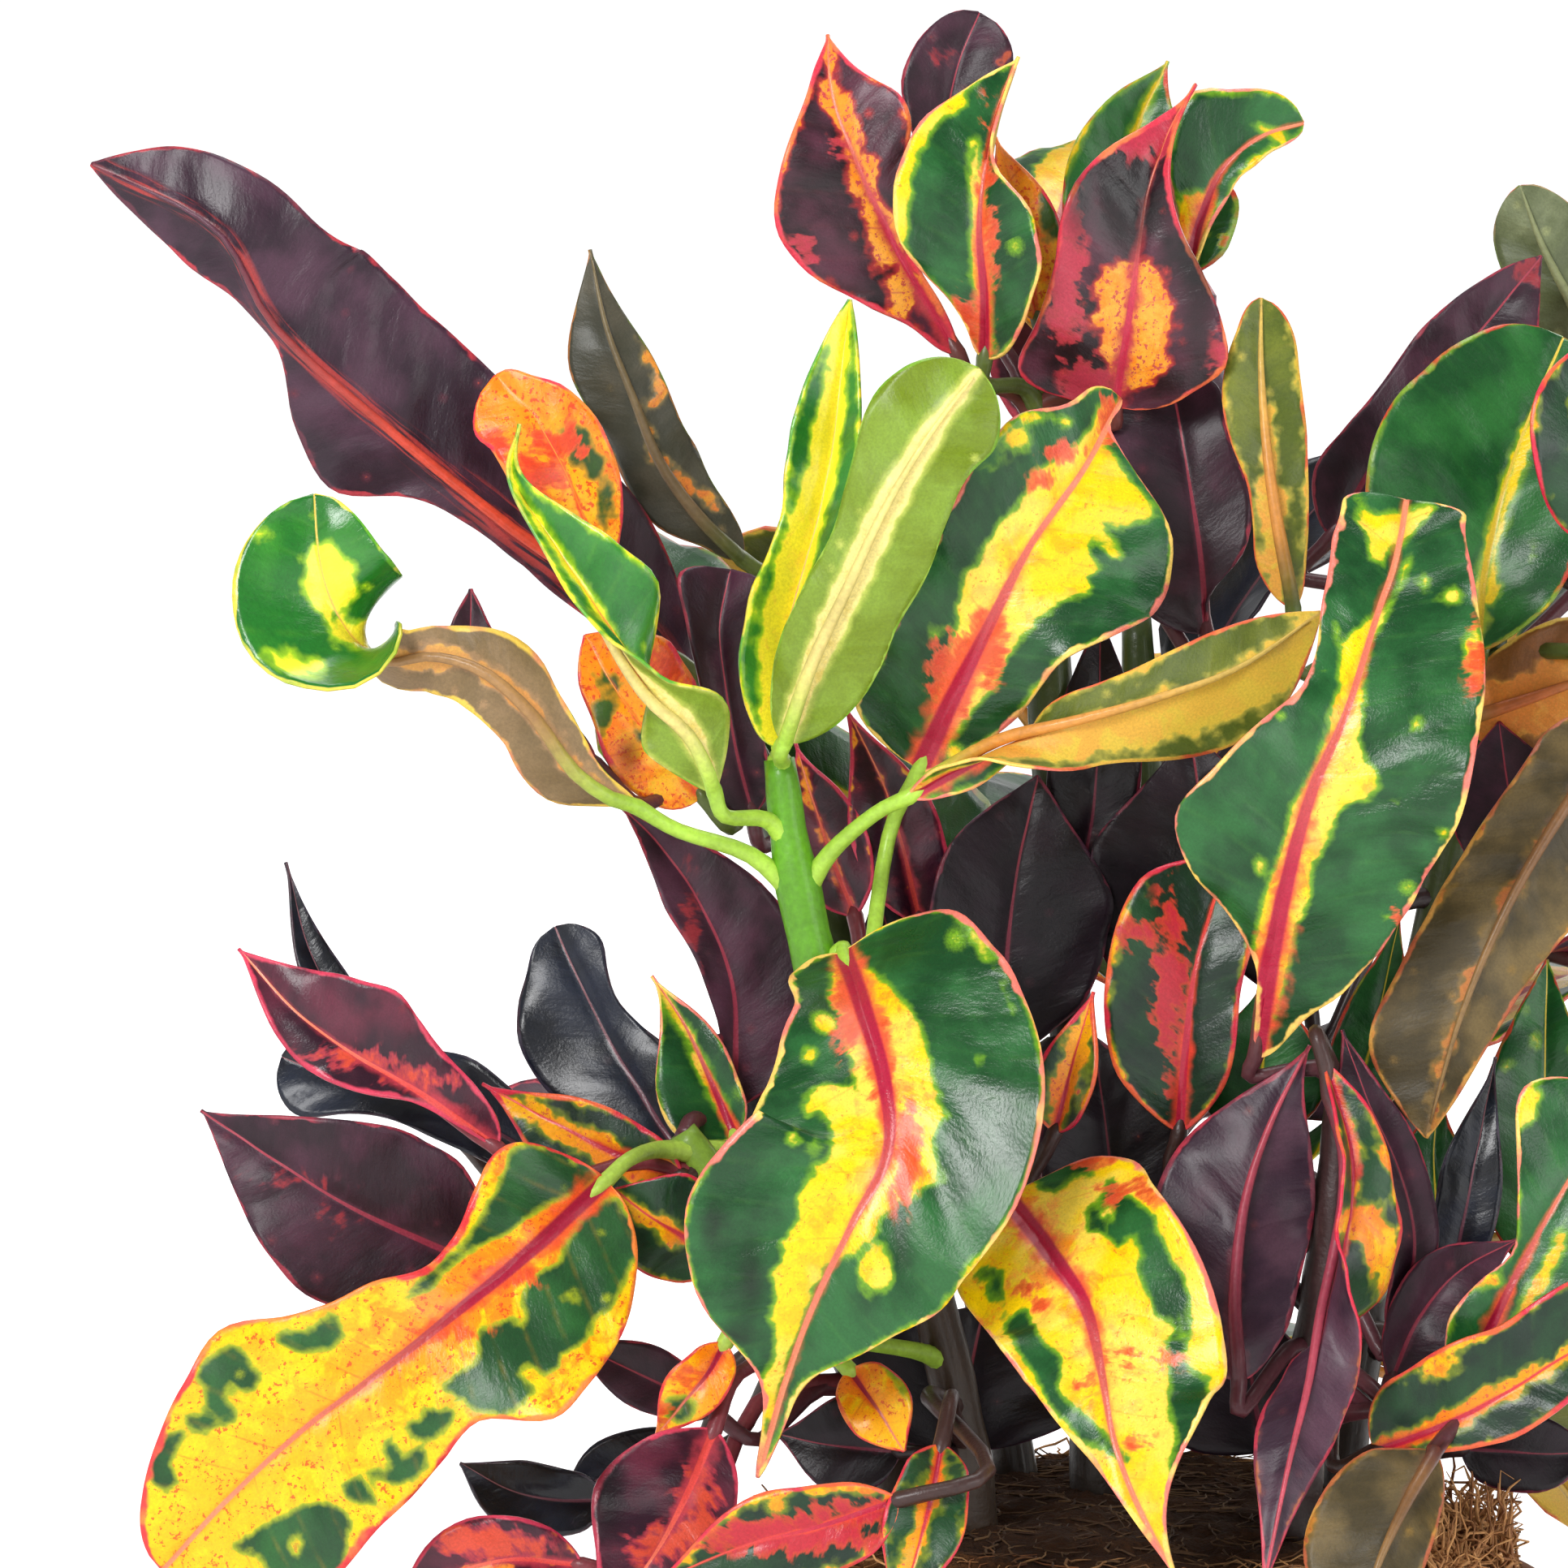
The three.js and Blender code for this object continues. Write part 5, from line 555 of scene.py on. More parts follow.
MARKS = {
    "hero": Marks(Look.GREEN_GOLD, rim=0.6, patches=((-56.2, 103.5, -57, 99, -57, 95.2, -54.9, 92.2, -53.7, 86.2,
        -52.1, 82.5, -52.2, 80, -56.7, 81, -59.7, 80.2, -61.5, 77, -60.8, 74.8, -58.5, 75.5, -57, 74, -56.1, 71.2,
        -57.9, 66.8, -60, 65.6, -60.3, 63.5, -62.2, 61.8, -63, 59, -62.4, 56.2, -65.2, 51.5, -66, 48.5, -67.8, 45.8,
        -67.2, 41.2, -68.2, 37.5, -66.8, 33, -67.8, 29.2, -70.5, 26, -70.5, 21.8, -68.1, 18.4, -66.3, 19.5, -65.7,
        26.2, -63.3, 32.2, -60.8, 38.6, -58.8, 44.2, -57, 47.6, -52.8, 48.8, -49.8, 50.9, -48, 54, -46.5, 57.2, -43.5,
        59.2, -41.4, 58.3, -39.6, 62.6, -36.3, 62.8, -37.8, 68.2, -37.8, 71.6, -34.8, 74.6, -36.3, 78.8, -38.1, 83,
        -38.2, 86.2, -39.3, 91.1, -42.3, 95.2, -45, 97.5, -47.2, 100.5, -50.2, 102.8, -52.5, 105.5), (-34.5, 112.1,
        -32.2, 112.1, -27.8, 107.2, -24, 101.2, -22.5, 93.8, -24.3, 99, -26.7, 102.8, -29.2, 104, -30.6, 107.2)),
        gold=((-63.3, 70.8, 1.3, 1.5), (-59.6, 69.3, 1.3, 1.1), (-60.3, 86.2, 1.5, 1.5), (-48.2, 46.5, 3, 4.5), (-29,
        85.5, 0.8, 0.8), (-39, 63.8, 3, 1.5)), blush=((-42.3, 69.5, 1.9, 6.3), (-43.2, 62, 1.5, 3.6), (-53.1, 95.2,
        2.7, 7.5), (-47.2, 86.2, 1.8, 6)), dark=((-43.5, 53.2, 1.3, 5.1), (-78, 54.8, 1.5, 3.9), (-71.2, 45.8, 1.8,
        4.5), (-74.2, 34.5, 3.6, 1.5))),
    "low_gold": Marks(Look.GOLD, (40,), (40,), rim=2, islands=((-113.7, 70.1, -109.2, 69, -105, 68.2, -101.7, 66.8,
        -99.6, 63.8, -102.8, 60.8, -106.5, 60, -111, 57.8, -114, 55.5, -117, 53.2, -121.5, 51, -126, 48, -129, 45,
        -133.5, 41.9, -135, 41.2, -132.8, 44.2, -129, 47.6, -124.8, 50.6, -121.8, 54.5, -120, 58.1, -117.9, 62,
        -116.4, 65.2, -115.2, 68.6), (-98.2, 60, -95.7, 59.2, -92.1, 53.2, -91.5, 49.4, -93.8, 47, -95.2, 42.5, -97.5,
        39.5, -100.5, 38, -101.2, 33.8, -104.2, 32.2, -106.5, 30.8, -106.8, 27.5, -109.8, 27, -112.5, 28.7, -114,
        27.8, -111.6, 23.9, -113.2, 21.4, -117, 19.8, -120, 20.1, -123.8, 21.6, -127.8, 24.4, -126, 27, -121.5, 30,
        -121.5, 34.5, -118.5, 36.8, -114.8, 37.5, -113.2, 41.2, -111.8, 45, -106.5, 47.2, -105, 51.8, -102, 56.2),
        (-159, 33.6, -157.5, 35.2, -152.2, 35.2, -150, 38.6, -147.6, 38.2, -146.8, 34.5, -149.2, 32.1, -153, 31.7,
        -156.8, 32.1), (-173.6, 28.2, -171, 30.3, -169.5, 31.8, -167.2, 32.6, -164.8, 31.2, -164.1, 29.2, -162, 26.9,
        -163.3, 24.6, -165, 24.3, -167.1, 26.1, -168.6, 25.4, -168.6, 23.2, -167.1, 20.2, -167.1, 17.9, -169.5, 17.9,
        -171.4, 20.9, -171.9, 24.6, -173.4, 26.1), (-176.1, 19.5, -172.5, 20.4, -169.3, 18.8, -171.6, 16.4, -174.8,
        17.1), (-182.6, 11.2, -180.2, 15.2, -176.8, 16.4, -177.6, 13.4, -178.3, 10.4, -177.2, 7.4, -178.8, 5.9,
        -180.8, 6.6, -182.4, 8.9), (-133.1, 21.9, -129, 19.9, -126.6, 21.2, -125.7, 19.5, -128.1, 17.1, -131.1, 14.9,
        -133.9, 15.6, -135.3, 17.7, -132, 18.8), (-138.3, 16.1, -136.1, 12.8, -134.9, 11.9, -131.9, 13.5, -131.4,
        10.4, -133.7, 8.1, -138, 6.9, -142.1, 8.4, -140.9, 9.6, -138, 9, -137.2, 11.1, -139.7, 13.4), (-146.7, 6.8,
        -144, 8.9, -141.6, 6.2, -140.7, 3.9, -143.2, 3.4, -145.9, 4.2), (-160.5, -0.8, -156.8, 1.5, -153, 3.2, -148.3,
        3.2, -145.2, 0.8, -145.9, -3.8, -147, -9.8, -160.5, -9.8, -162.3, -6, -166.8, -4.6, -163.5, -2.2)),
        gold=((-113.9, 38.2, 1.2, 2.1), (-104.5, 41.2, 1.3, 0.9), (-162.3, 28.8, 1.1, 1.1), (-154.8, -4.1, 1.5, 1.9)),
        blush=((-126, 35.2, 3.6, 1.3), (-116.2, 45, 3.6, 1.2))),
    "centre_gold": Marks(Look.GREEN_GOLD, (30,), (30,), rim=1, islands=((-18.8, 71.2, -16.5, 71.2, -15, 68.2, -12,
        69.8, -10.2, 67.5, -7.5, 66.8, -8.2, 64.3, -11.7, 63.8, -15, 60.8, -17.4, 62, -19.8, 64.3, -18.8, 68.2),
        (-4.5, 63, -2.1, 59.8, 0, 58.5, 3, 57, 3.9, 53.8, 6.2, 50.2, 6.3, 47.9, 8.4, 45.5, 9.4, 41.2, 10.2, 35.2, 9.3,
        32.9, 7.5, 35.2, 6.4, 37.4, 3.8, 38.2, 3, 41.2, 1.2, 44.2, 1.2, 47.6, 1.8, 50.2, 0, 53.2, -2.1, 52.3, -3,
        50.9, -5.2, 53, -8.2, 54, -9, 57, -6.8, 58.5, -6, 60), (5.4, 33.5, 8.7, 34.1, 9, 32, 8.4, 30.2, 10.5, 27.8,
        13.5, 26.2, 14.1, 21.8, 12.8, 16.9, 12.3, 12.8, 12.9, 9, 12.3, 5.2, 9, 5.6, 6.8, 9, 6.3, 11.9, 7.8, 13.1, 7.5,
        15.8, 6, 21, 6, 26.2, 6.4, 29.2), (-23.2, 38.2, -20.2, 38.9, -18.6, 35.2, -17.1, 32.9, -14.7, 30.8, -14.1,
        27.8, -15.3, 24.8, -13.2, 22.4, -9, 19.4, -4.5, 15, -0.3, 10.9, -3.8, 11.9, -9, 14.9, -13.5, 18.4, -16.5,
        22.9, -18.8, 27.8, -21.3, 31.5, -23.4, 33.8, -24.2, 36), (-30, 45.8, -27.8, 47.2, -24.6, 45.8, -24.6, 41.2,
        -27, 41, -28.5, 42.8, -26.7, 43.8, -26.1, 45.3, -27.9, 45, -29.2, 44)), gold=((-5, 56.7, 1.3, 1.1),),
        blush=((-20.2, 43.1, 1.5, 0.9), (-17.7, 40.1, 1.3, 1.1), (-9.3, 24.8, 0.9, 1.6), (0.8, 14.7, 1.3, 0.8), (0.9,
        30, 4.2, 0.8), (-8.2, 66.8, 3, 0.9), (0, 60.8, 4.5, 1.5))),
    "young_green": Marks(Look.YOUNG, (3, 5, 6, 5, 3), (1, 2, 3, 3, 2), rim=0.8),
    "pale_paddle": Marks(Look.YOUNG, (2, 3, 3.2, 3.2, 2.6, 1), (1.5, 2.5, 3, 3, 2.2, 1)),
    "big_gold": Marks(Look.GREEN_GOLD, rim=0.4, patches=((-37.5, 142.5, -38.2, 147.8, -36.8, 153.8, -35.2, 161.2,
        -33.3, 165.8, -32.7, 171.8, -31.8, 175.5, -29.2, 177.8, -27.8, 181.5, -25.5, 184.5, -22.5, 187.5, -19.8,
        190.5, -19.8, 192.8, -17.2, 195.4, -13.5, 197.7, -11.2, 199.5, -9, 201.8, -7.5, 206.6, -2.2, 207.4, -3.3,
        203.2, -5.7, 198.8, -3.3, 196.9, 0, 191.2, 3, 189, 4.2, 186.8, 2.2, 185.1, -2.2, 183.8, -6.3, 184.4, -4.5,
        182.2, -2.1, 178.4, -3.8, 177.3, -7.5, 180.4, -8.7, 181.1, -8.2, 177.8, -5.8, 175.2, -9, 174.3, -8.1, 172.4,
        -11.2, 170.1, -14.2, 170.4, -16.5, 168, -20.2, 164.2, -23.2, 159.8, -25.5, 155.2, -29.2, 150.8, -32.2, 147,
        -34.5, 143.6),), gold=((-21.8, 200.2, 2.5, 2.4), (-18.8, 204.2, 3.6, 1.2), (-25.8, 195.3, 1.2, 1.1), (-36.8,
        164.6, 1.5, 1.2), (-13.2, 203.2, 1.1, 1.1)), blush=((-5.1, 204, 2.1, 3.9), (-17.6, 192.4, 1.3, 1.2), (-33.8,
        156.8, 3.9, 7.5), (-27.8, 161.2, 3.9, 6), (-13.2, 197.6, 2.1, 1.2))),
    "olive_arm": Marks(Look.GREEN_GOLD, (2, 5, 8, 9, 8), (1, 1, 1, 1, 1), rim=0.6),
    "right_green": Marks(Look.GREEN_GOLD, rim=-1, patches=((21.4, 87.8, 21, 93.8, 21, 101.2, 21.8, 107.2, 22.8, 114.8,
        25.5, 122.2, 27.8, 128.2, 28.5, 132, 32.2, 138.8, 34.5, 144, 36, 150.8, 37.2, 156.8, 37.5, 161.2, 36.3, 165,
        36.6, 166.5, 38.4, 162.8, 41.2, 166.5, 45, 168.4, 47.2, 171, 49.5, 177, 50.6, 177.8, 49.9, 174.4, 48, 169.9,
        45.8, 166.4, 43.8, 162.8, 42.8, 158.2, 42, 150.8, 41.7, 145.5, 42.3, 141.8, 44.5, 139.3, 44.7, 135.8, 43.5,
        133.3, 39.8, 132.8, 37.5, 130.3, 36, 126.8, 33.3, 122.2, 32.2, 116.2, 30, 110.2, 28.5, 102.8, 27, 96.8, 24.8,
        92, 23.4, 87.5), (40.2, 190.8, 42.8, 187.7, 45, 187.1, 48, 186.8, 51, 187.1, 55.5, 188.1, 54, 185.1, 51.8,
        182.9, 48, 179.9, 45.3, 177.2, 43.5, 177.8, 42.8, 180.8, 41.2, 184.5), (63, 165.4, 60.8, 163.5, 60, 160.9,
        61.2, 156.8, 63.9, 154.5, 64.8, 161.2)), gold=((26.1, 148.5, 1.1, 0.9), (51.8, 147.5, 1.2, 1.3), (58.5, 171,
        2.2, 1.5), (53.2, 173.6, 1.2, 1.5), (22.9, 120.8, 1.2, 1.9), (48.1, 133.1, 0.8, 0.8), (56.7, 127.5, 1.1, 0.9),
        (46.1, 111.8, 0.9, 1.1)), blush=((48.4, 112.1, 0.9, 1.1), (62.7, 159.4, 1.2, 3.9))),
    "young_curl": Marks(Look.YOUNG, (2, 3, 2, 2, 2, 1), (1, 2, 1, 1, 1, 1), rim=0.6),
    "curled_arm": Marks(Look.TAN_YOUNG, (1, 2, 2, 2, 2, 2, 0, -9, -9), (1, 2, 2, 2, 2, 2, 0, -9, -9), rim=-9,
        patches=((-153.8, 176.2, -152.2, 180.4, -148.5, 181.5, -144.8, 177.8, -143.2, 172.5, -145.5, 168.8, -150,
        166.9, -153, 169.5), (-150, 166.9, -144, 167.2, -138, 165.8, -138, 162.8, -144, 160.9, -149.2, 162), (-160.5,
        161.2, -156, 159.4, -150, 159, -150, 156.8, -157.5, 156.4)), gold=((-161.7, 182.2, 1.1, 0.9), (-157.5, 160.4,
        3.9, 1.2))),
    "round_orange": Marks(Look.FLAME_GOLD, (30,), (30,), rim=0.5, islands=((-104.5, 206.2, -102, 201.8, -99.8, 197.9,
        -97.8, 192.8, -97.2, 186.8, -98.7, 184.5, -100.5, 189.8, -101.7, 194.2, -104.2, 197.9, -105.6, 201.8),),
        blush=((-112.5, 192.8, 6, 3.9), (-120, 197.2, 4.5, 4.5), (-106.5, 199.5, 4.5, 3))),
    "long_plum": Marks(Look.STRIPED_PLUM),
    "grey_blade": Marks(Look.GREY_UNDER, rim=-9, patches=((-92.1, 218.2, -90.6, 218.6, -86.7, 211.9, -86.9, 207.4,
        -89.6, 204.4, -89.6, 201.4, -89.1, 198.3, -86.1, 194.9, -81.6, 191.9, -77.1, 188.9, -77.4, 186.8, -82.8,
        190.4, -87.9, 193.4, -90.6, 197.2, -91.5, 201.4, -91.8, 205.1, -88.8, 208.1, -88.8, 211.9),)),
    "plum_upright": Marks(Look.PLUM),
    "orange_spotted": Marks(Look.FLAME_GOLD, (30,), (30,), islands=((-98.7, 157.4, -96, 155.2, -96.6, 150.8, -98.4,
        146.2, -100, 147.2, -99.3, 152.2),), green=((-90, 146.2, 1.5, 2.1),), blush=((-85.5, 158.2, 4.5, 2.4),),
        dark=((-93.8, 141.8, 2.1, 3),)),
    "plum_point": Marks(Look.PLUM),
    "hanging_plum": Marks(Look.PLUM, blush=((-82.5, 101.2, 2.1, 13.5),)),
    "slate_spoon": Marks(Look.SLATE),
    "olive_point": Marks(Look.GREEN_GOLD, (1, 2, 1), (1, 1, 1), rim=0.2),
    "purple_red": Marks(Look.WINE, gold=((-141.8, 84.5, 1.3, 0.9), (-131.7, 83, 1.5, 1.1)), blush=((-145.5, 86, 5.1,
        1.3), (-132, 81.8, 4.5, 1.2))),
    "dark_tongue": Marks(Look.PLUM, blush=((-149.2, 56.2, 3.3, 1.8), (-157.5, 63, 6, 1.1))),
    "slate_behind": Marks(Look.SLATE),
    "grey_tip": Marks(Look.SLATE),
    "red_green": Marks(Look.GREEN_RED, (3, 4, 3, 2), (2, 3, 2, 1), rim=0.6),
    "low_plum_red": Marks(Look.WINE, blush=((-81, 2.2, 3.9, 7.5), (-87, -4.5, 6, 3.3)), dark=((-98.2, 6.8, 3, 9),)),
    "low_pink": Marks(Look.WINE, (0, 2, 1), (0, 1, 1), rim=0.4, blush=((-120, -3.8, 9, 3),)),
    "low_dark_left": Marks(Look.SLATE),
    "low_dark_mid": Marks(Look.SLATE),
    "low_red_edge": Marks(Look.GREEN_RED, rim=1.6, blush=((-64.5, -2.7, 16.5, 3), (-51, 1.5, 7.5, 2.1))),
    "low_narrow": Marks(Look.GREEN_RED, (1, 2, 1), (2, 3, 1), rim=0.4),
    "small_ochre": Marks(Look.GOLD, (6, 6, 6), (6, 6, 6), rim=0.3),
    "crimson_inner": Marks(Look.WINE, (1, 1), (1, 1), rim=0.3),
    "top_left": Marks(Look.FLAME, (1, 2, 2), (1, 2, 3, 2), rim=0.6, gold=((-50.7, 248.6, 3.3, 4.5), (-46.5, 237.8,
        3.6, 7.5), (-43.5, 227.2, 3.6, 5.4)), blush=((-61.5, 234.8, 1.8, 2.1), (-54, 254.2, 2.1, 1.5))),
    "top_round": Marks(Look.PLUM, gold=((-24.3, 270.4, 1.5, 1.8),), blush=((-36.3, 270.8, 1.5, 1.3),)),
    "top_green": Marks(Look.GREEN_GOLD, rim=0.3, patches=((-32.2, 266.2, -38.2, 261.8, -43.2, 256.5, -45.8, 250.5,
        -46.5, 241.9, -45, 235.5, -42.6, 237.8, -42, 241.9, -41.7, 246.8, -40.2, 252, -37.2, 256.9, -31.5, 261.8),
        (-31.2, 255.4, -29.1, 256.1, -26.4, 236.2, -26.1, 215.2, -29.4, 215.2, -30.6, 231.8)), blush=((-27.6, 236.2,
        1.2, 13.5), (-31.5, 221.2, 2.1, 4.5))),
    "top_coral": Marks(Look.FLAME_GOLD, (30,), (30,), rim=-9, green=((-15, 242.2, 2.1, 3.9),)),
    "top_flame": Marks(Look.FLAME, patches=((-8.2, 229.5, -3, 233.6, 3, 232.9, 6, 228.8, 6.9, 221.2, 5.4, 213.8, 0.8,
        208.4, -4.2, 209.2, -7.2, 216.8, -9.3, 222.8),), blush=((0.8, 258, 7.5, 6), (-13.2, 231.8, 3, 13.5), (-9,
        210.8, 4.5, 4.5), (16.2, 210.8, 1.5, 7.5)), dark=((-1.8, 242.6, 5.4, 9), (11.7, 231.8, 3.6, 16.5), (-10.5,
        243.8, 2.4, 6))),
    "top_behind": Marks(Look.GREEN, (0, 1, 1), (0, 1, 1), rim=0.5, blush=((16.5, 236.2, 1.5, 1.2),)),
    "top_lobe": Marks(Look.GREEN_GOLD, rim=0.6, patches=((7.2, 245.8, 12, 246.4, 15.3, 245.2, 15.9, 241.9, 12.9,
        237.8, 8.2, 235.3, 6.9, 239.2), (12.9, 265.1, 18, 265.6, 21.8, 263.9, 17.4, 263.2), (21, 259.1, 27, 257.6,
        31.5, 251.8, 30, 250.3, 25.5, 255.4, 21.8, 257.2))),
    "dark_shoulder": Marks(Look.PLUM),
    "brown_paddle": Marks(Look.GREEN_GOLD, rim=0.5, patches=((21.9, 191.2, 23.1, 197.2, 24.9, 206.2, 26.4, 197.2,
        27.3, 185.2, 27.9, 169.5, 24, 169.1, 22.5, 179.2),)),
    "dark_wing": Marks(Look.PLUM, blush=((72.8, 231.8, 3, 3),)),
    "broad_green": Marks(Look.GREEN, rim=0.3, patches=((71.7, 203.9, 75, 202.4, 71.1, 191.2, 67.8, 182.2, 66.3, 169.5,
        61.8, 169.5, 64.5, 182.2, 67.5, 192.8),), gold=((73.5, 179.2, 0.9, 1.2), (66.8, 172.5, 1.1, 1.3))),
    "pink_edge": Marks(Look.GREEN_RED, (2, 3, 2), (1, 2, 1), rim=0.6),
    "grey_far": Marks(Look.SAGE_UNDER),
    "brown_blade": Marks(Look.BROWN_UNDER, (0, 1, 1), (0, 0, 0), rim=0.4),
    "orange_under": Marks(Look.ORANGE_UNDER, (6, 8, 6), (4, 6, 4), rim=0.6),
    "magenta_rim": Marks(Look.GREEN_RED, rim=0.4, blush=((6, 99, 2.5, 15), (0.8, 108.8, 3, 2.1))),
    "folded_plum": Marks(Look.PLUM),
    "plum_side": Marks(Look.PLUM),
    "red_twist": Marks(Look.GREEN_RED, (1, 1, -9, -9, -9), (1, 1, -9, -9, -9), rim=0.6, patches=((24, 47.2, 28.5,
        53.2, 36, 57.8, 43.5, 59, 48, 54.8, 48.9, 47.2, 45, 41.2, 40.8, 37.7, 43.5, 45.8, 41.4, 50.9, 36, 51.8, 30,
        47.2, 26.2, 39.8),)),
    "low_right": Marks(Look.GREEN_GOLD, rim=0.3, patches=((58.5, 19.5, 60.9, 23.2, 64.8, 30.5, 68.7, 36.8, 79.8, 56.2,
        79.8, 50.2, 72, 37.5, 67.5, 30.5, 64.5, 23.9, 60.9, 18.4), (67.5, 80.2, 72, 81.8, 75, 78.8, 74.4, 73.5, 70.5,
        72.5, 67.8, 75.5), (61.8, 46.4, 67.5, 46.4, 67.5, 43.4, 63, 42.8))),
    "low_spread": Marks(Look.GREEN_RED, (1, 2, 2, 2), (1, 2, 2, 2), rim=0.6, gold=((55.5, 29.2, 3.6, 2.7),)),
    "low_olive": Marks(Look.BROWN_UNDER, rim=0.5),
    "inner_dark_a": Marks(Look.DARK),
    "inner_dark_b": Marks(Look.DARK),
    "inner_dark_c": Marks(Look.DARK),
    "inner_dark_d": Marks(Look.DARK),
    "inner_dark_e": Marks(Look.DARK),
    "inner_dark_f": Marks(Look.DARK),
    "inner_stripe": Marks(Look.GREEN_RED, (2, 3, 2), (2, 3, 2), rim=0.2),
    "small_stripe": Marks(Look.GREEN_RED, (0, 2, 2, 1), (0, 2, 2, 1), rim=0.4),
    "plum_strip": Marks(Look.PLUM),
    "red_notch": Marks(Look.GOLD, (30,), (30,), rim=1, green=((-84, 21, 2.4, 2.1),), blush=((-88.2, 20.2, 1.5, 4.5),
        (-82.5, 26.2, 1.8, 1.5))),
    "inner_black_a": Marks(Look.DARK),
    "inner_black_b": Marks(Look.DARK),
    "plum_low": Marks(Look.PLUM),
    "plum_pocket": Marks(Look.DARK),
    "inner_cream": Marks(Look.WINE, (0, 0), (-1, 0, 1), rim=0.8),
    "far_plum": Marks(Look.PLUM),
    "inner_olive": Marks(Look.OLIVE_DARK),
    "far_dark": Marks(Look.GREEN, gold=((68.2, 84, 1.1, 1.3), (73.5, 88.5, 1.1, 1.3))),
    "far_green": Marks(Look.GREEN, gold=((57.8, 64.5, 1.2, 1.2), (56.2, 59.2, 1.1, 1.1))),
    "slate_far": Marks(Look.SLATE),
    "mid_plum": Marks(Look.DARK),
    "gap_green": Marks(Look.GREEN),
    "far_low": Marks(Look.DARK),
}


@dataclass(frozen=True)
class Rule:
    """Leaves that stand a golden angle apart on a stem, inside a sector of compass bearings."""

    stem: str
    count: int
    start: float
    bearings: tuple[float, float]
    lengths: tuple[float, float]
    rises: tuple[float, float]
    seed: int

    LAST = 0.98
    STALK = 16
    RIBS = 4
    SECTION = (0.55, 1, 1.05, 0.72)

    def spec(self, index: int, path: Array, draw: Draws) -> LeafSpec:
        """Draws one of the rule's leaves.

        Args:
            index: Its place in the row of leaves on the stem.
            path: The stem's points.
            draw: The stream for what varies.

        Returns:
            The leaf, with its rib already in the object's own frame.
        """
        share = index / (self.count - 1)
        at = self.start + (self.LAST - self.start) * share
        spread = (index * GOLDEN_SHARE + draw() * 0.3) % 1
        bearing = math.radians(self.bearings[0] + (self.bearings[1] - self.bearings[0]) * spread)
        length = (self.lengths[0] + (self.lengths[1] - self.lengths[0]) * share) * (0.86 + 0.3 * draw())
        rise = math.radians(self.rises[0] + (self.rises[1] - self.rises[0]) * share + 24 * (draw() - 0.5))
        droop = math.radians(8 + 44 * draw())
        outward = np.array([math.cos(bearing), math.sin(bearing), 0])
        sideways = np.array([-math.sin(bearing), math.cos(bearing), 0])
        stalk = self.STALK + self.STALK * draw()
        sweep = (draw() - 0.5) * 0.5
        point = keyed(path, stem_share(path, at))[0] + outward * stalk * math.cos(rise)
        point[2] += stalk * math.sin(rise) + 4
        points = [point.copy()]
        for k in range(self.RIBS):
            slope = rise - droop * (k / (self.RIBS - 1))
            point = (point + outward * (length / self.RIBS) * math.cos(slope)
                     + sideways * (length / self.RIBS) * sweep * (k / (self.RIBS - 1)))
            point[2] += (length / self.RIBS) * math.sin(slope)
            points.append(point.copy())
        width = length * RULE_WIDTH_SHARE * (0.85 + 0.35 * draw())

        def side() -> tuple:
            """Half widths along one side."""
            return tuple(width * key * (0.9 + 0.2 * draw()) for key in self.SECTION)

        begin = 26 * (draw() - 0.5)
        sign = -1 if draw() < 0.5 else 1
        twist = sign * (20 + 70 * draw() * draw())
        tip = Tip.ROUND if draw() < 0.4 else Tip.DRAWN
        middle_fold = 8 + 10 * draw()
        left, right = side(), side()
        return LeafSpec(f"{self.stem}_{index + 1}", self.stem, at, tip, left=left, right=right,
                        roll=(begin, begin + twist * 0.3, begin + twist), fold=(14, middle_fold, 8),
                        wave=(1.4 + 1.6 * draw(), 1.6 + 0.6 * draw(), 6 * draw()), points=np.array(points),
                        face=unit(np.array([outward[0] * 0.45, outward[1] * 0.45, 1])))


RULES = (
    Rule("back", 12, 0.12, (10, 170), (100, 74), (-4, 66), 11),
    Rule("far", 9, 0.16, (-40, 80), (108, 78), (-6, 56), 23),
    Rule("left", 8, 0.16, (100, 190), (98, 76), (-4, 58), 37),
    Rule("right", 5, 0.2, (-55, 0), (88, 70), (-8, 34), 41),
    Rule("crown", 8, 0.5, (20, 165), (86, 66), (26, 72), 53),
)


def stem_path(places: tuple) -> Array:
    """The whole path of a stem: straight through the soil, then on through its own places."""
    above = VIEW.seen(places)
    foot = above[0] * (1, 1, 0)
    return np.concatenate([[foot + (0, 0, SOIL_TOP - STEM_SUNK), foot + (0, 0, SOIL_TOP - STEM_SUNK / 2)], above])


def stem_share(stem: Array, at: float) -> float:
    """The share of a stem's whole path that lies at a share of what stands above the soil."""
    return (2 + at * (len(stem) - 3)) / (len(stem) - 1)


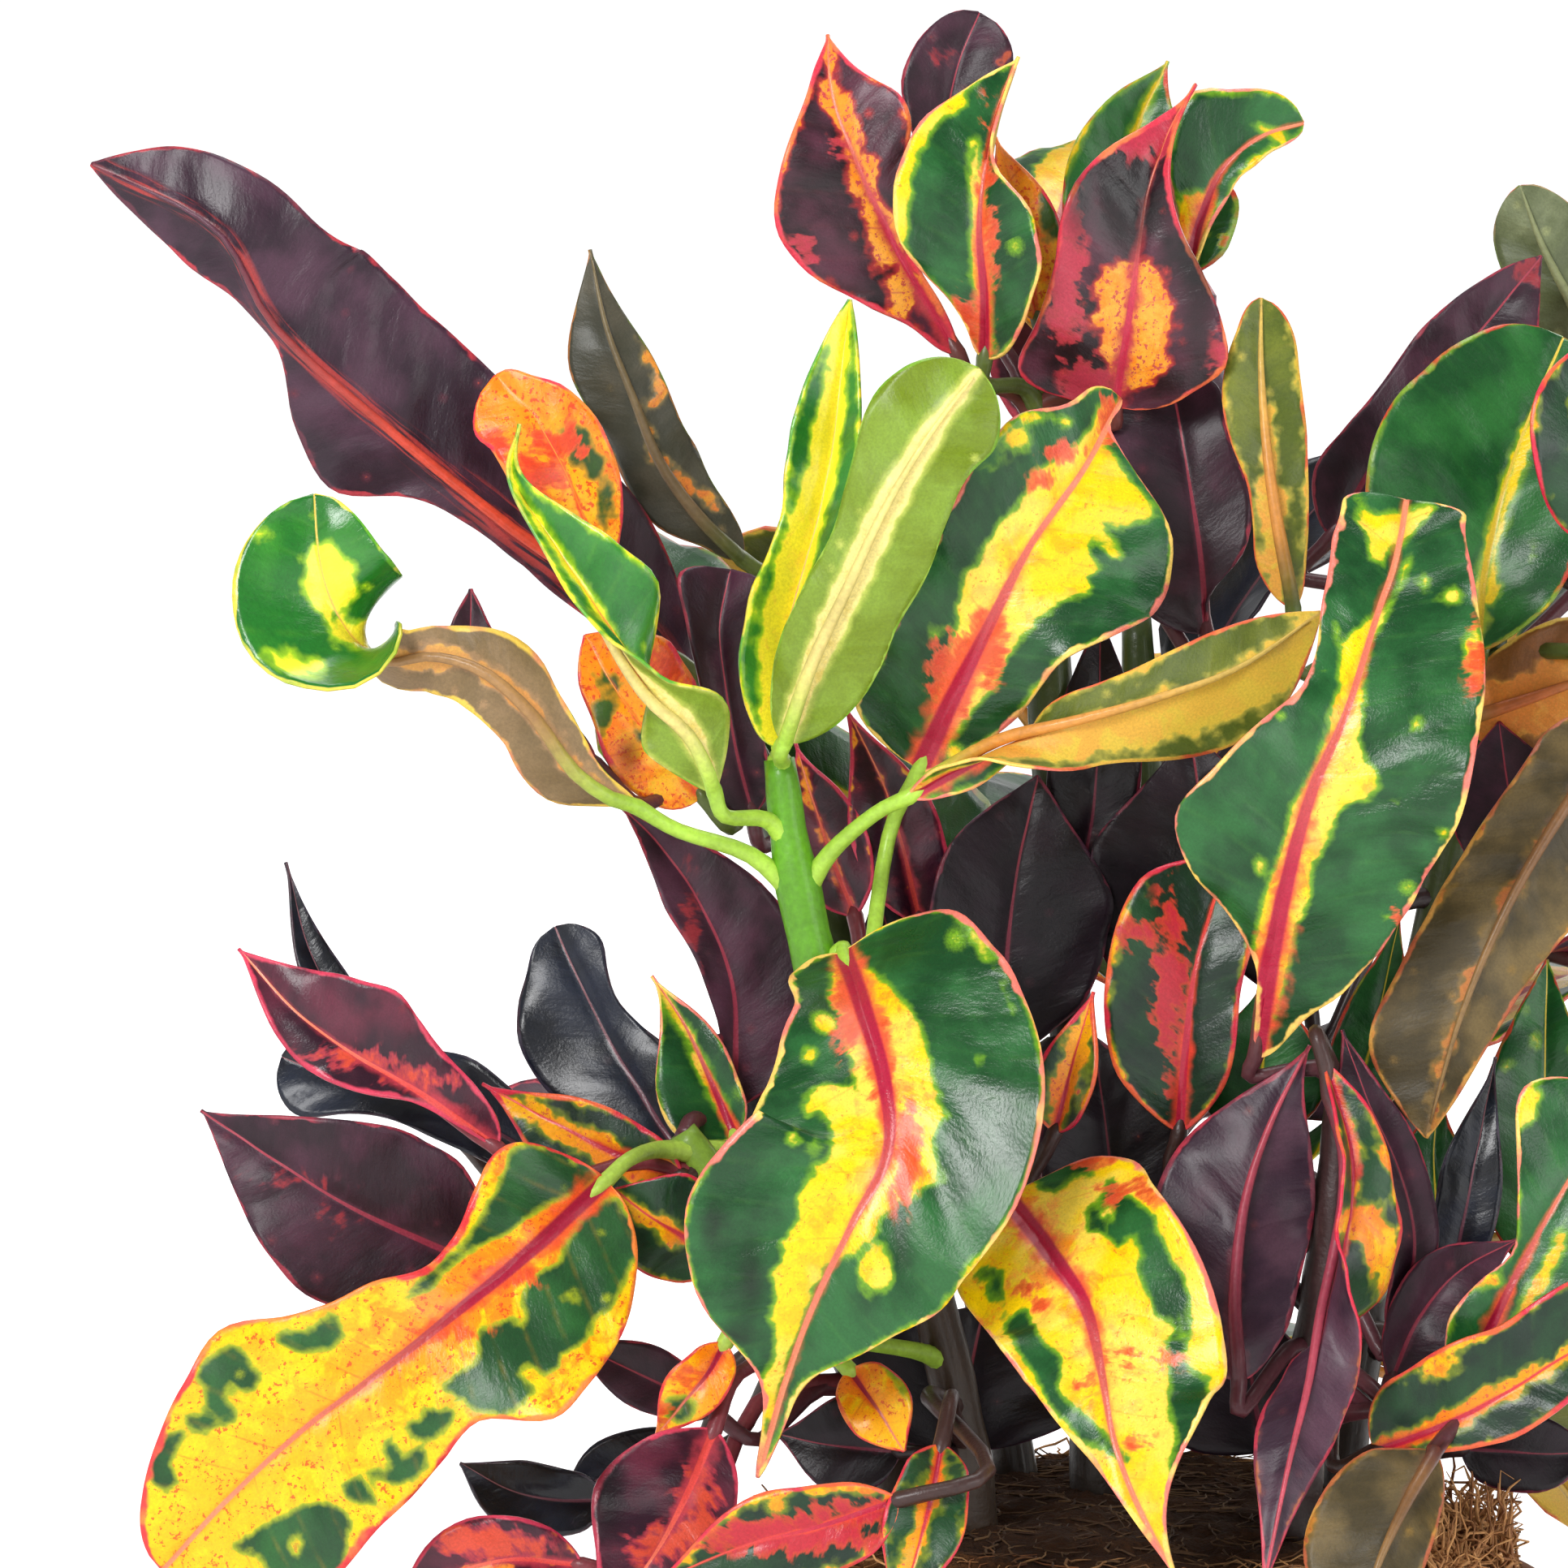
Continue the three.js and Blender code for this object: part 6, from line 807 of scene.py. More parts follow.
class Blade:
    """One blade: its rib in the object's frame, and its mid surface at any share of length and width."""

    def __init__(self, spec: LeafSpec) -> None:
        """Places the rib.

        Args:
            spec: The leaf that the blade belongs to.
        """
        self.spec = spec
        self.rib = VIEW.seen(spec.rib) if spec.points is None else spec.points
        self.face = VIEW.axes[2] if spec.face is None else spec.face

    def frame(self, t: Array) -> tuple[Array, Array, Array]:
        """The directions along the rib, out of the upper face and to the right, at shares t of the length."""
        ahead = keyed(self.rib, np.minimum(1, t + 0.01))
        tangent = unit(ahead - keyed(self.rib, np.maximum(0, t - 0.01)))
        face_on = unit(self.face - (tangent @ self.face)[:, None] * tangent)
        side_on = np.cross(tangent, face_on)
        roll = np.radians(keyed(self.spec.roll, t))[:, None]
        up = face_on * np.cos(roll) + side_on * np.sin(roll)
        return tangent, up, side_on * np.cos(roll) - face_on * np.sin(roll)

    def half_width(self, t: Array, q: Array, least: float = LEAST_HALF_WIDTH) -> Array:
        """The blade's half width at shares t, on the side that q lies on, and never under the least."""
        width = np.where(q < 0, keyed(self.spec.left, t), keyed(self.spec.right, t))
        return np.maximum(least, width * opened(t, *BASE_END) * opened(1 - t, *self.spec.tip.value))

    def at(self, t: Array, q: Array, least: float = LEAST_HALF_WIDTH) -> Array:
        """Finds points of the mid surface.

        Args:
            t: Shares of the length, from the base.
            q: Shares of the half width, from -1 at the left margin to 1 at the right one.
            least: The least half width.

        Returns:
            The points, in millimetres.
        """
        _, up, side = self.frame(t)
        across = np.abs(q)
        reach = across * self.half_width(t, q, least)
        fold = np.radians(keyed(self.spec.fold, t))
        height, count, phase = self.spec.wave
        turn = 2 * math.pi * (count * t + np.where(q < 0, 0.25, 0)) + phase
        wave = height * np.sin(turn) * across ** 1.8 * np.sin(math.pi * np.minimum(1, t + 0.08))
        return (keyed(self.rib, t) + side * (np.sign(q) * reach * np.cos(fold))[:, None]
                + up * (reach * np.sin(fold) + wave)[:, None])

    def samples(self) -> Array:
        """Points over the blade, which keep leaves clear of one another."""
        t, q = np.meshgrid(np.arange(9) / 8, np.arange(-2, 3) / 2, indexing="ij")
        return self.at(t.ravel(), q.ravel())

    def stalk(self, stem: Array) -> Array:
        """The petiole's points, from the middle of its stem to the base of the blade."""
        share = stem_share(stem, self.spec.at)
        start = keyed(stem, share)[0]
        line = unit(keyed(stem, min(1, share + 0.02))[0] - keyed(stem, max(0, share - 0.02))[0])
        end = keyed(self.rib, 0)[0]
        gap = np.linalg.norm(end - start)
        outward = unit(unit(end - start) + 0.35 * line)
        tangent = self.frame(np.array([0.0]))[0][0]
        return np.array([start, start + outward * gap * 0.36, end - tangent * gap * 0.26, end])


def apart(points: Array, others: Array, distance: float) -> bool:
    """Whether every point of one set is farther than a distance from every point of another."""
    gaps = points[:, None, :] - others[None, :, :]
    return bool(np.min(np.einsum("ijk,ijk->ij", gaps, gaps)) > distance * distance)


def covered(places: Array, cover: Array) -> bool:
    """Whether places lie behind places of the front leaves, or right of what these show."""
    inside = places[places[:, 0] <= PICTURE_EDGE]
    if not len(inside):
        return True
    near = np.hypot(inside[:, None, 0] - cover[None, :, 0], inside[:, None, 1] - cover[None, :, 1]) < COVER
    return bool(np.all(np.any(near & (cover[None, :, 2] > inside[:, None, 2]), axis=1)))


def clear_of_pot(points: Array) -> bool:
    """Whether points stand clear of the pot and the soil."""
    radius = np.hypot(points[:, 0], points[:, 1])
    return bool(np.all((points[:, 2] > SOIL_TOP + SOIL_CLEARANCE)
                       | (radius > POT_TOP_RADIUS + RIM_STEP + POT_CLEARANCE)))


def all_blades(paths: dict[str, Array]) -> list[Blade]:
    """Places every blade: those seen at the front, then those of the rules, each drawn until it is clear.

    Args:
        paths: The points of each stem.

    Returns:
        The blades, in order.
    """
    blades = [Blade(spec) for spec in LEAVES]
    taken = np.concatenate([blade.samples() for blade in blades]
                           + [keyed(path, np.arange(17) / 16) for path in paths.values()])
    t, q = np.meshgrid(np.arange(1, 10) / 10, (-0.75, -0.25, 0.25, 0.75), indexing="ij")
    cover = np.concatenate([VIEW.places(blade.at(t.ravel(), q.ravel())) for blade in blades])
    for rule in RULES:
        for index in range(rule.count):
            for attempt in range(TRIES):
                draw = Draws(rule.seed + 101 * index + 1009 * attempt)
                draw()
                blade = Blade(rule.spec(index, paths[rule.stem], draw))
                points = blade.samples()
                if np.min(points[:, 2]) < LOWEST or not clear_of_pot(points):
                    continue
                if covered(VIEW.places(points), cover) and apart(points, taken, CLEARANCE):
                    blades.append(blade)
                    taken = np.concatenate([taken, points])
                    break
    return blades


def linear(code: str) -> tuple[float, float, float, float]:
    """Turns an sRGB hex colour, such as '#a01c34', into Blender's linear one."""
    parts = (int(code[k:k + 2], 16) / 255 for k in (1, 3, 5))
    return (*(part / 12.92 if part <= 0.04045 else ((part + 0.055) / 1.055) ** 2.4 for part in parts), 1.0)


def add(tree: bpy.types.NodeTree, kind: str, *values: object, named: dict[str, object] | None = None,
        **settings: object) -> bpy.types.Node:
    """Adds a node with its settings, and sets or links its inputs.

    Args:
        tree: The material's or world's node tree.
        kind: The node's type, without its ShaderNode beginning.
        values: What the inputs in use take, in order: a value, a socket, or a node whose first output is meant. None
            leaves an input as it is.
        named: The same for inputs given by name.
        settings: The node's own settings.

    Returns:
        The node.
    """
    node = tree.nodes.new("ShaderNode" + kind)
    for name, value in settings.items():
        setattr(node, name, value)
    used = [socket for socket in node.inputs if socket.enabled]
    pairs = list(zip(used, values)) + [(node.inputs[name], value) for name, value in (named or {}).items()]
    for socket, value in pairs:
        if isinstance(value, bpy.types.Node):
            value = next(output for output in value.outputs if output.enabled)
        if isinstance(value, bpy.types.NodeSocket):
            tree.links.new(value, socket)
        elif value is not None:
            socket.default_value = value
    return node


def new_tree(name: str) -> tuple[bpy.types.Material, bpy.types.NodeTree]:
    """Starts a node material with an empty tree."""
    material = bpy.data.materials.new(name)
    material.use_nodes = True
    material.node_tree.nodes.clear()
    return material, material.node_tree


@dataclass(frozen=True)
class LeafFinish:
    """One side of a croton leaf: a waxy skin over green, gold and red tissue, with veins that sink into it.

    Deep and light mix in the green, halo edges the gold, warm is the sunned gold, red its flecks, and glow the tissue
    beside the rib. Ragged, comb and spots break up the edge of the gold along the lobes, along the veins and by
    islands of its own. A relief under 0 raises the veins, as on an underside.
    """

    name: str
    deep: str
    light: str
    halo: str
    gold: str
    warm: str
    red: str
    rib: str
    glow: str
    margin: str
    margin_alt: str
    vein: str
    rib_mm: float = 1.0
    glow_mm: float = 2.2
    margin_mm: float = 0.7
    ragged: float = 1.8
    comb: float = 0.5
    spots: float = 0.0
    warmth: float = 0.5
    freckles: float = 0.5
    mottle: float = 0.6
    veined: float = 0.1
    stripes: float = 0.0
    relief: float = 0.55
    roughness: float = 0.34
    coat: float = 0.12
    rib_tip: str = "#f08c64"
    cream: float = 0.0

    BLOTCHES = 0.115
    LOBES = 0.27
    FINE = 0.5
    GRIT = 2.2
    BED = 0.07
    CELLS = 0.14
    VEIN_LEAN = 0.62
    VEIN_BOW = 0.008
    VEIN_HALF_GAP = 3.3
    VEIN_WIDTH = 0.85
    CREAM = "#fff090"

    def build(self) -> bpy.types.Material:
        """Builds the material.

        It reads a leaf's own attributes: place is along the rib, across it and in from the margin, in millimetres; tint
        is the depth in the gold, the blush and the darkness; trait is a number of the leaf's own and its share of the
        length.

        Returns:
            The material.
        """
        material, tree = new_tree(self.name)
        place = add(tree, "SeparateXYZ", add(tree, "Attribute", attribute_name="place").outputs["Vector"])
        tint = add(tree, "SeparateXYZ", add(tree, "Attribute", attribute_name="tint").outputs["Vector"])
        trait = add(tree, "SeparateXYZ", add(tree, "Attribute", attribute_name="trait").outputs["Vector"])
        along, across, edge = place.outputs
        off = add(tree, "Math", across, operation="ABSOLUTE")
        side = add(tree, "Math", add(tree, "Math", across, operation="SIGN"), 17.3, operation="MULTIPLY")
        own = add(tree, "Math", trait.outputs[0], 91.7, side, operation="MULTIPLY_ADD")
        # side veins leave the rib at about 60 degrees and flatten out toward the margin
        lean = add(tree, "Math", off, -self.VEIN_LEAN, along, operation="MULTIPLY_ADD")
        lean = add(tree, "Math", add(tree, "Math", off, off, operation="MULTIPLY"), self.VEIN_BOW, lean,
                   operation="MULTIPLY_ADD")
        flow = add(tree, "CombineXYZ", lean, add(tree, "Math", off, 0.42, operation="MULTIPLY"), own)
        spread = add(tree, "CombineXYZ", along, across, own)
        # blotches are 8 to 12 mm long, with lobes of 3 to 4 mm, and their edges fray along the veins
        broad = add(tree, "TexNoise", flow, self.BLOTCHES, 2.0, 0.55)
        lobes = add(tree, "TexNoise", spread, self.LOBES, 2.0, 0.5)
        fine = add(tree, "TexNoise", flow, self.FINE, 3.0, 0.6)
        grit = add(tree, "TexNoise", spread, self.GRIT, 2.0, 0.6)
        bed = add(tree, "TexNoise", spread, self.BED, 3.0, 0.5)
        wander = add(tree, "Math", tint.outputs[0], -0.6, operation="ADD")
        for part, most in ((broad, 2.4 * self.ragged), (lobes, 3.4 * self.ragged), (fine, 1.6 * self.comb)):
            wander = add(tree, "Math", add(tree, "Math", part, 0.5, operation="SUBTRACT"), most, wander,
                         operation="MULTIPLY_ADD")
        # spots of 1 to 4 mm, one to a cell of 7 mm, where the cell's own draw is high enough
        cell = add(tree, "TexVoronoi", spread, self.CELLS, 0.0, 0.5)
        chance = add(tree, "SeparateColor", cell.outputs["Color"])
        reach = add(tree, "MapRange", chance, 1 - self.spots, 1.0, -2.0, 2.0)
        spot = add(tree, "Math", add(tree, "Math", cell, -7.0, operation="MULTIPLY"), reach, operation="ADD")
        spot = add(tree, "Math", add(tree, "Math", grit, 0.5, operation="SUBTRACT"), 0.7, spot,
                   operation="MULTIPLY_ADD")
        depth = add(tree, "Math", wander, spot, 0.6, operation="SMOOTH_MAX")

        vein = add(tree, "Math", lean, self.VEIN_HALF_GAP, operation="PINGPONG")
        line = add(tree, "MapRange", vein, 0.0, self.VEIN_WIDTH, 1.0, 0.0, interpolation_type="SMOOTHSTEP")
        worn = add(tree, "MapRange", lobes, 0.4, 0.6, 0.15, 1.0)
        faint = add(tree, "Math", line, worn, operation="MULTIPLY")
        mottle = add(tree, "MapRange", bed, 0.38, 0.66, 0.0, self.mottle, interpolation_type="SMOOTHSTEP")
        mottle = add(tree, "Math", add(tree, "Math", fine, 0.5, operation="SUBTRACT"), 0.5, mottle,
                     operation="MULTIPLY_ADD", use_clamp=True)
        blade = add(tree, "Mix", mottle, linear(self.deep), linear(self.light), data_type="RGBA")
        blade = add(tree, "Mix", add(tree, "Math", faint, self.veined, operation="MULTIPLY"), blade,
                    linear(self.vein), data_type="RGBA")
        halo = add(tree, "MapRange", depth, -1.5, 0.1, 0.0, 0.95, interpolation_type="SMOOTHSTEP")
        blade = add(tree, "Mix", halo, blade, linear(self.halo), data_type="RGBA")

        heat = add(tree, "TexNoise", spread, 0.24, 4.0, 0.65, named={"Distortion": 0.5})
        heat = add(tree, "Math", heat, add(tree, "MapRange", off, 1.5, 9.0, 0.3 * self.warmth, 0.0), operation="ADD")
        heat = add(tree, "MapRange", heat,
                   0.62 - 0.3 * self.warmth, 0.78 - 0.22 * self.warmth, 0.0, 1.0, interpolation_type="SMOOTHSTEP")
        heat = add(tree, "Math", heat, add(tree, "MapRange", trait.outputs[1], 0.25, 0.8, 1.0, 0.3),
                   operation="MULTIPLY")
        gold = add(tree, "Mix", heat, linear(self.gold), linear(self.warm), data_type="RGBA")
        pale = add(tree, "MapRange", bed, 0.4, 0.54, self.cream, 0.0, interpolation_type="SMOOTHSTEP")
        gold = add(tree, "Mix", pale, gold, linear(self.CREAM), data_type="RGBA")
        # freckles are rust flecks of under a millimetre, and threads of the same rust follow the veins
        fleck = add(tree, "Math", lobes, 0.3, add(tree, "TexNoise", spread, 1.1, 2.0, 0.7),
                    operation="MULTIPLY_ADD")
        fleck = add(tree, "MapRange", fleck, 0.82 - 0.12 * self.freckles, 0.9 - 0.12 * self.freckles, 0.0,
                    0.85 * min(1.0, self.freckles * 1.6), interpolation_type="SMOOTHSTEP")
        gold = add(tree, "Mix", fleck, gold, linear(self.red), data_type="RGBA")
        threads = add(tree, "MapRange", vein, 0.0, 0.4, 0.6 * self.freckles, 0.0, interpolation_type="SMOOTHSTEP")
        threads = add(tree, "Math", threads, add(tree, "MapRange", fine, 0.42, 0.62), operation="MULTIPLY")
        gold = add(tree, "Mix", threads, gold, linear(self.red), data_type="RGBA")
        crisp = add(tree, "MapRange", depth, -0.35, 0.35, 0.0, 1.0, interpolation_type="SMOOTHSTEP")
        skin = add(tree, "Mix", crisp, blade, gold, data_type="RGBA")

        ripe = add(tree, "Math", add(tree, "Math", fine, 0.5, operation="SUBTRACT"), 2.0, tint.outputs[1],
                   operation="MULTIPLY_ADD")
        ripe = add(tree, "Math", add(tree, "Math", lobes, 0.5, operation="SUBTRACT"), 1.8, ripe,
                   operation="MULTIPLY_ADD")
        for colour, low, high in ((self.glow, 0.15, 0.45), (self.red, 0.35, 0.8)):
            part = add(tree, "MapRange", ripe, low, high, 0.0, 0.75, interpolation_type="SMOOTHSTEP")
            part = add(tree, "Math", part, add(tree, "MapRange", tint.outputs[1], 0.02, 0.2), operation="MULTIPLY")
            skin = add(tree, "Mix", part, skin, linear(colour), data_type="RGBA")

        # the midrib narrows to a third of its width at the tip, inside a glow with a wavy, frayed edge
        taper = add(tree, "Math", add(tree, "MapRange", trait.outputs[1], 0.12, 0.6, 1.0, 0.34), trait.outputs[2],
                    operation="MULTIPLY")
        ribbed = add(tree, "Math", off, taper, operation="DIVIDE")
        frayed = add(tree, "Math", add(tree, "Math", lobes, 0.5, operation="SUBTRACT"), 4.0 * self.glow_mm ** 0.5,
                     ribbed, operation="MULTIPLY_ADD")
        glow = add(tree, "MapRange", frayed, self.rib_mm * 0.6, self.rib_mm + self.glow_mm,
                   add(tree, "MapRange", trait.outputs[1], 0.35, 0.75, 1.0, 0.3), 0.0,
                   interpolation_type="SMOOTHSTEP")
        skin = add(tree, "Mix", glow, skin, linear(self.glow), data_type="RGBA")
        rib = add(tree, "MapRange", ribbed, self.rib_mm * 0.75, self.rib_mm * 1.2, 1.0, 0.0,
                  interpolation_type="SMOOTHSTEP")
        older = add(tree, "MapRange", trait.outputs[1], 0.3, 0.85, 0.0, 0.9)
        older = add(tree, "Mix", older, linear(self.rib), linear(self.rib_tip), data_type="RGBA")
        skin = add(tree, "Mix", rib, skin, older, data_type="RGBA")
        if self.stripes:
            # red streaks run beside the midrib, under a millimetre wide and many times as long
            streak = add(tree, "TexNoise", add(tree, "CombineXYZ", add(tree, "Math", along, 0.06,
                         operation="MULTIPLY"), across, own), 1.1, 2.0, 0.6)
            streak = add(tree, "MapRange", streak, 0.45, 0.6, 0.0, 1.0, interpolation_type="SMOOTHSTEP")
            near = add(tree, "MapRange", ribbed, self.stripes * 0.4, self.stripes, 1.0, 0.0,
                       interpolation_type="SMOOTHSTEP")
            skin = add(tree, "Mix", add(tree, "Math", streak, near, operation="MULTIPLY"), skin,
                       linear(self.glow), data_type="RGBA")

        border = add(tree, "Math", add(tree, "Math", lobes, 0.5, operation="SUBTRACT"), 2.4,
                     add(tree, "Math", edge, trait.outputs[2], operation="DIVIDE"), operation="MULTIPLY_ADD")
        border = add(tree, "Math", add(tree, "Math", bed, 0.46, operation="SUBTRACT"), 3.0, border,
                     operation="MULTIPLY_ADD")
        border = add(tree, "MapRange", border, self.margin_mm * 0.6, self.margin_mm * 1.35, 1.0, 0.0,
                     interpolation_type="SMOOTHSTEP")
        turn = add(tree, "MapRange", broad, 0.44, 0.58, 0.0, 1.0, interpolation_type="SMOOTHSTEP")
        rim = add(tree, "Mix", turn, linear(self.margin), linear(self.margin_alt), data_type="RGBA")
        skin = add(tree, "Mix", border, skin, rim, data_type="RGBA")
        shade = add(tree, "Math", tint.outputs[2], -0.75, 1.0, operation="MULTIPLY_ADD")
        shade = add(tree, "Math", shade, add(tree, "MapRange", grit, 0.3, 0.7, 0.86, 1.1), operation="MULTIPLY")
        skin = add(tree, "Mix", 1.0, skin, add(tree, "CombineColor", shade, shade, shade), data_type="RGBA",
                   blend_type="MULTIPLY")

        # the skin swells a tenth of a millimetre between the veins, and it is finely pebbled
        swell = add(tree, "MapRange", vein, 0.0, self.VEIN_HALF_GAP, 0.0, 0.2 * self.relief,
                    interpolation_type="SMOOTHSTEP")
        height = add(tree, "Math", faint, -0.08 * self.relief, swell, operation="MULTIPLY_ADD")
        height = add(tree, "Math", fine, 0.24, height, operation="MULTIPLY_ADD")
        height = add(tree, "Math", grit, 0.07, height, operation="MULTIPLY_ADD")
        bump = add(tree, "Bump", named={"Height": height, "Distance": MM, "Strength": 0.8})
        gloss = add(tree, "MapRange", bed, 0.3, 0.7, self.roughness - 0.05, self.roughness + 0.08)
        shader = add(tree, "BsdfPrincipled", named={
            "Base Color": skin, "Roughness": gloss, "IOR": 1.42, "Coat Weight": self.coat, "Coat Roughness": 0.2,
            "Normal": bump})
        add(tree, "OutputMaterial", shader)
        return material


